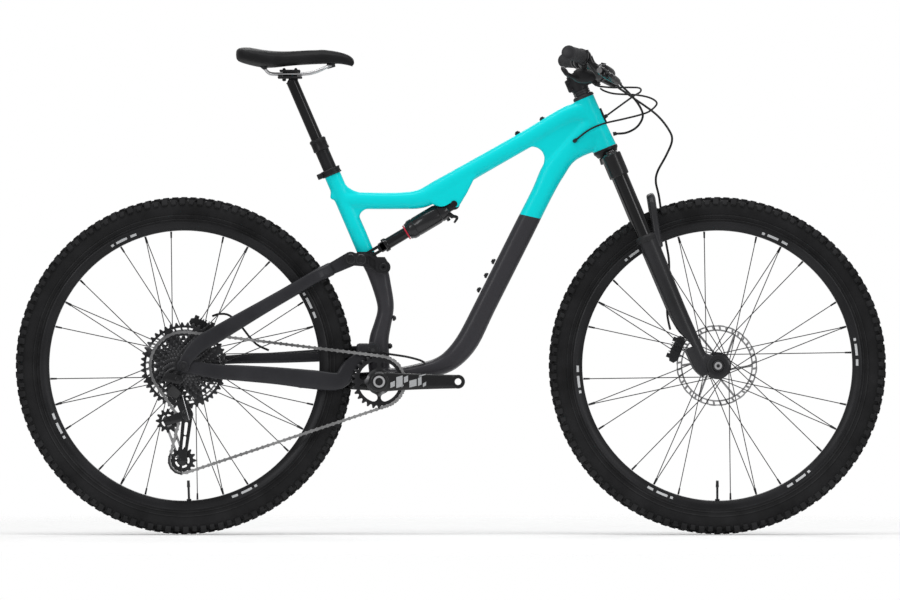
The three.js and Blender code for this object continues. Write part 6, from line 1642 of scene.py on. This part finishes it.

# ---------------------------------------------------------------- hoses and housings
# Nylon brake hoses and lined cable housings run from the bar into the frame's ports and down the
# fork leg.
hose_black = finish("hose_black", (0.008, 0.008, 0.0085), (0.014, 0.014, 0.015), (0.34, 0.45), bump=0.05)
ROUTES = [
    ("front_brake_line", 2.5, "front_brake_hose",
     ("steering", "fork_lower", (0.4785, 0.04, 0.79), (0.4785, 0.04, 0.62)), [
        (0.375, 0.160, 0.994), (0.4085, 0.122, 0.970), (0.4578, 0.072, 0.9328), (0.4857, 0.048, 0.8973),
        (0.4917, 0.038, 0.8736), (0.479, 0.036, 0.8418), (0.460, 0.040, 0.8063), (0.456, 0.042, 0.7823),
        (0.463, 0.042, 0.750), (0.470, 0.041, 0.700), (0.4785, 0.041, 0.6487), (0.4853, 0.0405, 0.6043),
        (0.484, 0.0405, 0.545), (0.4811, 0.0405, 0.4922), (0.4879, 0.041, 0.454)]),
    ("shift_line", 2.1, "shift_housing",
     ("frame", "steering", (0.290, -0.028, 0.885), (0.470, -0.060, 0.955)), [
        (0.329, -0.196, 0.986), (0.3392, -0.192, 0.980), (0.3623, -0.172, 0.9745), (0.4105, -0.122, 0.9728),
        (0.4422, -0.084, 0.9666), (0.4562, -0.064, 0.9551), (0.4422, -0.050, 0.9395),
        (0.4222, -0.044, 0.9311),
        (0.3823, -0.038, 0.9211), (0.3392, -0.034, 0.9111), (0.3068, -0.030, 0.8973),
        (0.2757, -0.0275, 0.8736)]),
    ("dropper_line", 2.1, "dropper_housing",
     ("frame", "steering", (0.350, 0.008, 0.932), (0.424, 0.050, 0.990)), [
        (0.333, 0.196, 0.998), (0.3623, 0.150, 0.9945), (0.3978, 0.098, 0.994), (0.420, 0.060, 0.9917),
        (0.421, 0.040, 0.9826), (0.4023, 0.024, 0.9706), (0.344, 0.008, 0.928)]),
    ("rear_brake_line", 2.5, "rear_brake_hose",
     ("frame", "steering", (0.370, -0.010, 0.890), (0.428, -0.070, 0.940)), [
        (0.375, -0.160, 0.994), (0.4023, -0.108, 0.9684), (0.420, -0.078, 0.9448), (0.425, -0.054, 0.9251),
        (0.413, -0.034, 0.904), (0.390, -0.016, 0.8913), (0.364, -0.009, 0.889)]),
    ("calliper_line", 2.5, "rear_calliper_hose",
     ("seatstay", "swingarm", (-0.520, 0.057, 0.489), (-0.425, 0.059, 0.416)), [
        (-0.531, 0.057, 0.484), (-0.514, 0.057, 0.489), (-0.4924, 0.057, 0.4855), (-0.468, 0.0575, 0.463),
        (-0.448, 0.058, 0.438), (-0.4302, 0.059, 0.420), (-0.405, 0.0605, 0.408)]),
]
for name, radius, node, (first, second, start, end), route in ROUTES:
    bm = bmesh.new()
    tube(bm, [Vector(p) / MM for p in route], radius, 14, 6, across=Vector((0.31, 0.9, 0.3)).normalized())
    line = piece(name, bm, hose_black, first, "hose_black", node, sharp=80)
    line.parent = None
    del line["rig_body"]
    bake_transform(line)
    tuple(start)
    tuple(end)
bm = bmesh.new()
for place, lean in (((364, -9, 889), (0.98, 0, 0.2)), ((344, 8, 928), (0.84, 0.2, 0.5)),
                    ((275.7, -27.5, 873.6), (0.5, -0.6, 0.4))):
    way = Vector(lean).normalized()
    rod(bm, Vector(place) - way * 4, Vector(place) + way * 4, 4.6, 24, 3.8, soften=0.8)
guard = [in_steering(24.5, 0, HEAD_TUBE[0] + up) for up in (50, 62, 74, 86)]
lofted(bm, [(*p, 2.6, w) for p, w in zip(guard, (5, 9, 9, 5))], 24, 3, 4)
piece("port_guards", bm, moulded_black, "frame", "frame_paint")

# ---------------------------------------------------------------- bottom bracket and cranks
# Threaded bearing cups stand proud of the shell. Forged hollow arms clamp a steel spindle, and the
# drive-side arm carries the ring on its splines. No pedals are fitted.
bm = bmesh.new()
for side in (-1, 1):
    spun(bm,
         [(12.8, side * 45.4), (23.4, side * 45.4), (24.2, side * 46), (24.2, side * 47.4),
          (22.4, side * 48.2),
              (12.8, side * 48.2)], BB, 56)
    for k in range(16):
        block(bm, about(BB, 22.5 * k) @ Matrix.Translation((24, side * 46.4, 0)), (1.6, 1.8, 3.4), 0.3)
spun(bm, [(12.8, -45.4), (18.4, -45.4), (18.4, 45.4), (12.8, 45.4)], BB, 48)
piece("bearing_cups", bm, satin_black, "frame", "black_alloy", "bottom_bracket", sharp=30)
CRANK_LENGTH = 174.7


def crank_arm(bm, way, y_in, y_out):
    """One arm as a loft along its length, rounded on its outer face, with round ends."""
    middle = (y_in + y_out) / 2
    thick = abs(y_out - y_in) / 2
    lofted(bm, [
        (BB[0] + way * 2, middle, BB[2], 22.6, thick),
        (BB[0] + way * 16, middle, BB[2], 21.6, thick),
        (BB[0] + way * 45, middle, BB[2], 19.4, thick),
        (BB[0] + way * 90, middle, BB[2], 17.4, thick * 0.96),
        (BB[0] + way * 135, middle, BB[2], 16, thick * 0.94),
        (BB[0] + way * 168, middle, BB[2], 15.3, thick * 0.94),
        (BB[0] + way * 172, middle, BB[2], 15.2, thick * 0.94),
    ], 36, 3.4, 4)
    drum(bm, BB, 23.2, *sorted((y_in, y_out)), sides=64, soften=2.2)
    drum(bm, (BB[0] + way * CRANK_LENGTH, 0, BB[2]), 15.5,
         *sorted((y_in + (0.4 if y_in > 0 else -0.4), y_out)), sides=48,
         soften=1.4)


crank_black = finish("crank_black", (0.010, 0.010, 0.011), (0.017, 0.017, 0.018), (0.24, 0.36), metal=0.3,
                     coat=0.25,
                     bump=0.08, worn=(0.10, 0.10, 0.105), wear=0.5)
for side, name in ((-1, "right"), (1, "left")):
    bm = bmesh.new()
    crank_arm(bm, -side, side * 62.3, side * 76)
    drum(bm, BB, 19.4, *sorted((side * (57.4 if side < 0 else 49.4), side * 78.6)), sides=56)
    arm = as_object(f"crank_{name}", bm)
    trim = bmesh.new()
    pedal_end = BB - Vector((side * CRANK_LENGTH, 0, 0))
    drum(trim, pedal_end, 7.2, -120, 120, 40)
    drum(trim, BB, 15.6, *sorted((side * 75.5, side * 90)), sides=48)
    if side > 0:
        drum(trim, BB, 12.5, 30, 70, 48)
    arm_trim = as_object("arm_trim", trim)
    run_together(arm, 1.25, 3, arm_trim, sharp=40)
    fit_piece(arm, crank_black, "crank", "black_alloy", f"crank_{name}_arm")
    bm = bmesh.new()
    spun(bm, [(7.3, side * 75.6), (9.6, side * 75.9), (9.6, side * 76.4), (7.3, side * 76.4)], pedal_end, 40)
    spun(bm,
         [(8, side * 74.4), (14.8, side * 74.4), (14.8, side * 77.4), (13.8, side * 78), (9.4, side * 78),
              (8, side * 76.6)], BB, 48)
    for k in range(8):
        block(bm, about(BB, 45 * k) @ Matrix.Translation((8.4, side * 76.2, 0)), (2.2, 2.4, 2.2), 0.3)
    piece(f"crank_bolt_{name}", bm, gloss_black if side < 0 else satin_black, "crank", "black_alloy",
          sharp=30)
bm = bmesh.new()
spun(bm, [(8.1, -60), (12, -60), (12, 66), (8.1, 66)], BB, 48)
spun(bm, [(8.6, -78.9), (13, -78.9), (13, -78.2), (8.6, -78.2)], BB, 48)
piece("crank_spindle", bm, bare_steel, "crank", "black_alloy")
# Generic light patch on the arm's outer face: plain leaning bars of unequal length.
patch_grey = finish("patch_grey", (0.34, 0.35, 0.36), (0.44, 0.45, 0.46), (0.4, 0.5), bump=0.05)
bm = bmesh.new()
for start, length, low, high in ((-55, 10, -14, 2), (-42, 14, -14, 14), (-25, 9, -3, 14), (-13, 16, -13, 6),
                                 (6, 8, -10, 12), (17, 7, -12, 0), (-30, 4, -13, -6), (8, 15, 13.4, 15)):
    x0 = BB[0] + 80 + start
    slab(bm, [[(x0, BB[2] + low), (x0 + length, BB[2] + low + 4), (x0 + length, BB[2] + high),
               (x0, BB[2] + high - 4)]], -76.02, -75.7)
piece("arm_marks", bm, patch_grey, "crank", "black_alloy")

# ---------------------------------------------------------------- chainring
# A narrow-wide alloy ring on a direct mount: alternate fat and thin teeth keep the chain on.
def toothed(place, teeth, root, tip, start=0.0):
    """The outline of a sprocket in X and Z."""
    points = []
    pitch = 360 / teeth
    for k in range(teeth):
        turn = start + pitch * k
        for shift, radius in ((-0.36, root + 0.5), (-0.16, tip - 1.2), (-0.07, tip), (0.07, tip),
                              (0.16, tip - 1.2),
                              (0.36, root + 0.5), (0.5, root)):
            angle = math.radians(turn + shift * pitch)
            points.append((place[0] + radius * math.cos(angle), place[2] + radius * math.sin(angle)))
    return points


def pitch_radius(teeth):
    return 12.7 / (2 * math.sin(math.pi / teeth))


def oval(place, radius, middle, spread, half, steps=8):
    """A curved slot about an axle, with round ends."""
    low, high = middle - spread, middle + spread
    outer = arc((place[0], place[2]), radius + half, low, high, steps)
    inner = arc((place[0], place[2]), radius - half, high, low, steps)
    top = (place[0] + radius * math.cos(math.radians(high)),
           place[2] + radius * math.sin(math.radians(high)))
    bottom = (place[0] + radius * math.cos(math.radians(low)),
              place[2] + radius * math.sin(math.radians(low)))
    return outer + arc(top, half, high, high + 180, 6)[1:-1] + inner + arc(bottom, half, low + 180,
                                                                           low + 360, 6)[1:-1]


RING_LINE = -52
RING_TEETH = 28
ring_black = finish("ring_black", (0.014, 0.014, 0.015), (0.026, 0.026, 0.028), (0.3, 0.42), metal=0.5,
                    bump=0.1,
                    worn=(0.40, 0.40, 0.41), wear=0.9)
bm = bmesh.new()
ring_radius = pitch_radius(RING_TEETH)
windows = [oval(BB, 37.5, 45 + 90 * k, 26, 8.6) for k in range(4)]
slab(bm,
     [toothed(BB, RING_TEETH, ring_radius - 3.4, ring_radius + 3.9), arc((BB[0], BB[2]), 19, 0, 352, 44),
      *windows],
     RING_LINE - 1.2, RING_LINE + 1.2, soften=0.25)
spun(bm, [(12.4, RING_LINE - 4.4), (20.4, RING_LINE - 4.4), (22, RING_LINE - 1.1), (22, RING_LINE + 1.1),
          (12.4, RING_LINE + 1.1)], BB, 56)
piece("ring_toothed", bm, ring_black, "crank", "black_alloy", "chainring", sharp=30)

# ---------------------------------------------------------------- cassette
# Eleven steel sprockets, the large ones machined away between their arms, on a splined driver.
COG_TEETH = [11, 13, 15, 17, 19, 21, 24, 28, 32, 37, 46]
cog_black = finish("cog_black", (0.030, 0.030, 0.032), (0.060, 0.060, 0.063), (0.26, 0.4), metal=0.9,
                   grain_scale=1800,
                   bump=0.15, worn=(0.45, 0.45, 0.46), wear=0.9)
bm = bmesh.new()
for number, teeth in enumerate(COG_TEETH):
    y = -(69.5 - 3.9 * number)
    pitch = pitch_radius(teeth)
    holes = [arc((REAR_AXLE[0], REAR_AXLE[2]), 15.5, 0, 345, 23)]
    if teeth >= 21:
        arms = 6 if teeth < 37 else 8
        inner = 20 if teeth < 28 else pitch_radius(COG_TEETH[number - 3]) - 3
        outer = pitch - 8.5
        for k in range(arms):
            lean = 360 / arms * k + 7 * number
            room = 360 / arms
            holes.append(arc((REAR_AXLE[0], REAR_AXLE[2]), outer, lean + room * 0.14, lean + room * 0.86, 6)
                         + arc((REAR_AXLE[0], REAR_AXLE[2]), inner, lean + room * 0.62, lean + room * 0.30,
                               3))
    slab(bm, [toothed(REAR_AXLE, teeth, pitch - 3.6, pitch + 3.6, start=3 * number), *holes], y - 0.85,
         y + 0.85,
         soften=0.2)
spun(bm, [(6.8, -73.6), (12.6, -73.6), (14.6, -72.4), (14.6, -70.6), (15.8, -70.6), (15.8, -30), (17, -24.8),
          (6.8, -24.8)], REAR_AXLE, 48)
for number, teeth in enumerate(COG_TEETH[:-1]):
    y = -(69.5 - 3.9 * number)
    for k in range(6):
        spot = about(REAR_AXLE, 60 * k + 7 * number + 20)
        reach = max(17, pitch_radius(teeth) - 9)
        rod(bm, spot @ Vector((reach, y, 0)), spot @ Vector((reach, y + 3.9, 0)), 2.2, 8)
piece("cassette_cogs", bm, cog_black, "cassette", "black_steel", "cassette", sharp=30)

# ---------------------------------------------------------------- chain
# A roller chain of real links: two outer plates, two inner plates, pins and rollers. It runs round
# the ring, over the 37-tooth cog, ahead of the upper pulley and behind the lower one.
COG_LINE = -(69.5 - 3.9 * 9)
UPPER_PULLEY = REAR_AXLE + Vector((-35.6, 0, -122.1))
LOWER_PULLEY = REAR_AXLE + Vector((-3.8, 0, -210))
WRAPS = [
    (BB, ring_radius, RING_LINE),
    (REAR_AXLE, pitch_radius(37), COG_LINE),
    (UPPER_PULLEY, -pitch_radius(12), COG_LINE),
    (LOWER_PULLEY, pitch_radius(14), COG_LINE),
]


def leave(place, radius, heading):
    return (place[0] + radius * math.sin(heading), place[2] - radius * math.cos(heading))


runs = []
for number, (place, radius, line) in enumerate(WRAPS):
    other, other_radius, other_line = WRAPS[(number + 1) % 4]
    dx, dz = other[0] - place[0], other[2] - place[2]
    heading = math.atan2(dz, dx) - math.asin((other_radius - radius) / math.hypot(dx, dz))
    runs.append((heading, leave(place, radius, heading), leave(other, other_radius, heading)))
route = []
for number, (place, radius, line) in enumerate(WRAPS):
    arriving = runs[number - 1][0]
    turn = runs[number][0] - arriving
    wanted = math.copysign(1, radius)
    while turn * wanted < 0:
        turn += wanted * math.tau
    for k in range(61):
        x, z = leave(place, radius, arriving + turn * k / 60)
        route.append((number, Vector((x, line, z))))
    start, end = runs[number][1:]
    other_line = WRAPS[(number + 1) % 4][2]
    for k in range(1, 60):
        t = k / 60
        route.append((number + 0.5,
                      Vector((start[0] + (end[0] - start[0]) * t, line + (other_line - line) * t,
                                            start[1] + (end[1] - start[1]) * t))))
lengths = [(b[1] - a[1]).length for a, b in zip(route, route[1:] + route[:1])]
link_count = 2 * round(sum(lengths) / 12.7 / 2)
spacing = sum(lengths) / link_count
pins, travelled, walked = [], 0.0, 0
for k in range(link_count):
    target = k * spacing
    while travelled + lengths[walked] < target:
        travelled += lengths[walked]
        walked += 1
    a, b = route[walked], route[(walked + 1) % len(route)]
    pins.append((a[0], a[1].lerp(b[1], (target - travelled) / lengths[walked])))


def link_plate(bm, y0, y1, waist):
    outline = arc((0, 0), 4.1, 40, 320, 10) + [(6.35, -waist)] + arc((12.7, 0), 4.1, 220, 500,
                                                                     10) + [(6.35, waist)]
    slab(bm, [outline], y0, y1)


def link_unit(outer):
    unit = bmesh.new()
    for side in (-1, 1):
        gap = (1.9, 2.7) if outer else (1.1, 1.8)
        link_plate(unit, *sorted((side * gap[0], side * gap[1])), 2.9 if outer else 2.6)
    for x in (0, 12.7):
        if outer:
            drum(unit, (x, 0, 0), 1.8, -3.1, 3.1, 10)
        else:
            drum(unit, (x, 0, 0), 3.8, -1.1, 1.1, 12)
    mesh = bpy.data.meshes.new("link")
    unit.to_mesh(mesh)
    unit.free()
    return mesh


LINKS = (link_unit(False), link_unit(True))
# Stretches of the chain: round the ring, the upper run, over the cog, past the pulleys, the lower run.
STRETCHES = {
    "chain_on_ring": lambda at: at == 0,
    "chain_upper": lambda at: at == 0.5,
    "chain_on_cog": lambda at: at == 1,
    "chain_on_pulleys": lambda at: at in (1.5, 2, 2.5, 3),
    "chain_lower": lambda at: at == 3.5,
}
chain_steel = finish("chain_steel", (0.13, 0.13, 0.135), (0.24, 0.24, 0.245), (0.26, 0.4), metal=1.0,
                     grain_scale=2400, bump=0.1, worn=(0.6, 0.6, 0.6), wear=0.5)
for name, wanted in STRETCHES.items():
    bm = bmesh.new()
    for k, (at, place) in enumerate(pins):
        if not wanted(at):
            continue
        after = pins[(k + 1) % link_count][1]
        way = after - place
        lie = Matrix.Translation(place) @ Matrix.Rotation(-math.atan2(way.z, way.x), 4, "Y")
        placed = LINKS[k % 2].copy()
        placed.transform(lie)
        bm.from_mesh(placed)
        bpy.data.meshes.remove(placed)
    body = {"chain_on_ring": "frame", "chain_on_cog": "swingarm",
            "chain_on_pulleys": "derailleur_cage"}.get(name)
    stretch = as_object(name, bm, 30)
    stretch.data.materials.append(chain_steel)
    if body:
        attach(stretch, body)
    elif name == "chain_upper":
        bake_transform(stretch)
    else:
        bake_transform(stretch)
    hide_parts("chain")
for mesh in LINKS:
    bpy.data.meshes.remove(mesh)

# ---------------------------------------------------------------- rear derailleur
# A parallelogram of alloy links hangs from the dropout. Its sprung cage holds two toothed pulleys,
# with a clutch housing at the cage pivot and the gear wire anchored under the links.
HANGER_PIVOT = REAR_AXLE + Vector((-34, 0, -24))
KNUCKLE_PIVOT = REAR_AXLE + Vector((-6, 0, -78))
CAGE_PIVOT = REAR_AXLE + Vector((8, 0, -108))
HANGER_Y = -(SEATSTAY_INNER + STAY_END + 5)
CAGE_OUTER = COG_LINE - 7.5


def strap(a, ra, b, rb, steps=12):
    """A bar outline with a round end about each of two places."""
    lie = math.atan2(b[2] - a[2], b[0] - a[0])
    lean = math.acos((ra - rb) / math.hypot(b[0] - a[0], b[2] - a[2]))
    first, last = math.degrees(lie + lean), math.degrees(lie - lean) + 360
    ends = arc((a[0], a[2]), ra, first, last, steps)
    return ends + arc((b[0], b[2]), rb, math.degrees(lie - lean), math.degrees(lie + lean), steps)


bm = bmesh.new()
ear = REAR_AXLE + Vector((-12, 0, -30))
lobe = strap(REAR_AXLE, 13, ear, 9)
lobe = [p for p in lobe if math.hypot(p[0] - REAR_AXLE[0], p[1] - REAR_AXLE[2]) > 17.6]
slab(bm, [lobe], -STAY_INNER - STAY_END, -STAY_INNER, soften=0.5)
drum(bm, ear, 8, HANGER_Y - 9, -STAY_INNER - 1, 32)
slab(bm, [strap(ear, 10, HANGER_PIVOT, 10)], HANGER_Y - 11, HANGER_Y, soften=1.6)
hex_bolt(bm, ear, HANGER_Y - 10.6, HANGER_Y - 12.4, 6.4, 3)
rod(bm, HANGER_PIVOT + Vector((1, HANGER_Y - 5, -1)), HANGER_PIVOT + Vector((2, HANGER_Y - 4, -13)), 5.4, 20)
piece("hanger_knuckle", bm, gloss_black, "swingarm", "black_alloy", "derailleur_hanger", sharp=40)
link_top = Vector((HANGER_PIVOT[0] + 2, HANGER_Y - 3, HANGER_PIVOT[2] - 24))
link_low = Vector((KNUCKLE_PIVOT[0] - 4, -66, KNUCKLE_PIVOT[2] + 10))
bm = bmesh.new()
lofted(bm,
       [(*link_top, 11, 4.6), (*link_top.lerp(link_low, 0.2), 12.6, 5.8),
        (*link_top.lerp(link_low, 0.5), 12.8, 6),
            (*link_top.lerp(link_low, 0.8), 12.4, 5.8), (*link_low, 11, 4.6)], 32, 3.6, 3)
for end in (link_top, link_low):
    for side in (-1, 1):
        rod(bm, end + Vector((side * 7, -7.2, side * 6)), end + Vector((side * 7, 5, side * 6)), 3, 16,
            soften=0.4)
piece("parallelogram", bm, gloss_black, "derailleur_link", "black_plastic", "derailleur_link", sharp=40)
bm = bmesh.new()
knuckle_top = KNUCKLE_PIVOT + Vector((2, 0, -4))
slab(bm, [strap(knuckle_top, 12, CAGE_PIVOT, 13)], CAGE_OUTER - 18, CAGE_OUTER - 3.2, soften=2)
drum(bm, CAGE_PIVOT, 12.4, -61.4, CAGE_OUTER - 3.4, 40, soften=1)
hex_bolt(bm, CAGE_PIVOT, -61, -62.6, 7.6, 3)
rod(bm, knuckle_top + Vector((-7, -57, 8)), knuckle_top + Vector((-7, -62, 8)), 3.4, 18, soften=0.5)
piece("cage_knuckle", bm, gloss_black, "derailleur_knuckle", "black_plastic", "derailleur_knuckle", sharp=40)
wire_steel = finish("wire_steel", (0.45, 0.45, 0.46), (0.6, 0.6, 0.61), (0.25, 0.35), metal=1.0, bump=0.05)
bm = bmesh.new()
tube(bm,
     [Vector((-594.5, -72, 313.5)), Vector((-591, -71, 297)), Vector((-585, -69, 276)),
      Vector((-579, -66, 254))],
     0.9, 8, 4)
piece("gear_wire", bm, wire_steel, "derailleur_knuckle", "black_plastic")
bm = bmesh.new()
slots = []
for t0, t1, half in ((0.2, 0.42, 3.4), (0.5, 0.74, 3.0)):
    way = (LOWER_PULLEY - CAGE_PIVOT)
    a, b = CAGE_PIVOT + way * t0, CAGE_PIVOT + way * t1
    slots.append(strap(a, half, b, half - 0.4, 6))
slab(bm, [strap(CAGE_PIVOT, 12, LOWER_PULLEY, 9), *slots], CAGE_OUTER - 2.2, CAGE_OUTER, soften=0.4)
slab(bm, [strap(UPPER_PULLEY, 9, CAGE_PIVOT + Vector((-2, 0, -1)), 11.6)], CAGE_OUTER - 2.1,
     CAGE_OUTER - 0.05, soften=0.4)
for at, radius in ((UPPER_PULLEY, 5), (LOWER_PULLEY, 5)):
    drum(bm, at, radius, CAGE_OUTER - 3.6, CAGE_OUTER - 1.6, 24, soften=0.4)
    drum(bm, at, 3, CAGE_OUTER - 1, COG_LINE + 6, 20)
arm = arc((LOWER_PULLEY[0], LOWER_PULLEY[2]), 31.5, 150, 268, 20)
arm += arc((LOWER_PULLEY[0], LOWER_PULLEY[2]), 28, 268, 150, 20)
slab(bm, [arm], CAGE_OUTER - 1.8, CAGE_OUTER - 0.4, soften=0.3)
for degrees in (152, 266):
    spot = about(LOWER_PULLEY, degrees)
    rod(bm, spot @ Vector((8, CAGE_OUTER - 1.1, 0)), spot @ Vector((30, CAGE_OUTER - 1.1, 0)), 1.2, 10)
piece("cage_outer_plate", bm, gloss_black, "derailleur_cage", "black_plastic", "derailleur_cage", sharp=35)
cage_grey = finish("cage_grey", (0.30, 0.30, 0.31), (0.40, 0.40, 0.41), (0.3, 0.4), metal=0.7, bump=0.08)
bm = bmesh.new()
way = LOWER_PULLEY - UPPER_PULLEY
slots = [strap(UPPER_PULLEY + way * a, 4, UPPER_PULLEY + way * b, 3.6, 6) for a,
         b in ((0.2, 0.4), (0.52, 0.76))]
slab(bm, [strap(UPPER_PULLEY, 9.6, LOWER_PULLEY, 8.6), *slots], COG_LINE + 4.7, COG_LINE + 6.7, soften=0.3)
piece("cage_inner_plate", bm, cage_grey, "derailleur_cage", "black_plastic")
for name, at, teeth in (("pulley_upper", UPPER_PULLEY, 12), ("pulley_lower", LOWER_PULLEY, 14)):
    pitch = pitch_radius(teeth)
    holes = [arc((at[0], at[2]), 4.4, 0, 330, 11)]
    holes += [oval(at, pitch * 0.5, 72 * k, 18, 2.2, 4) for k in range(5)]
    bm = bmesh.new()
    slab(bm, [toothed(at, teeth, pitch - 4.2, pitch + 2.6), *holes], COG_LINE - 1, COG_LINE + 1, soften=0.2)
    spun(bm, [(3.1, COG_LINE - 3.4), (6.6, COG_LINE - 3.4), (6.6, COG_LINE + 3.4), (3.1, COG_LINE + 3.4)],
         at, 28)
    piece(f"{name}_wheel", bm, moulded_black, name, "black_plastic", name, sharp=30)

sizes = {"cad": [list(v) for v in cad_box], "visual": [list(v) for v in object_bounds()]}
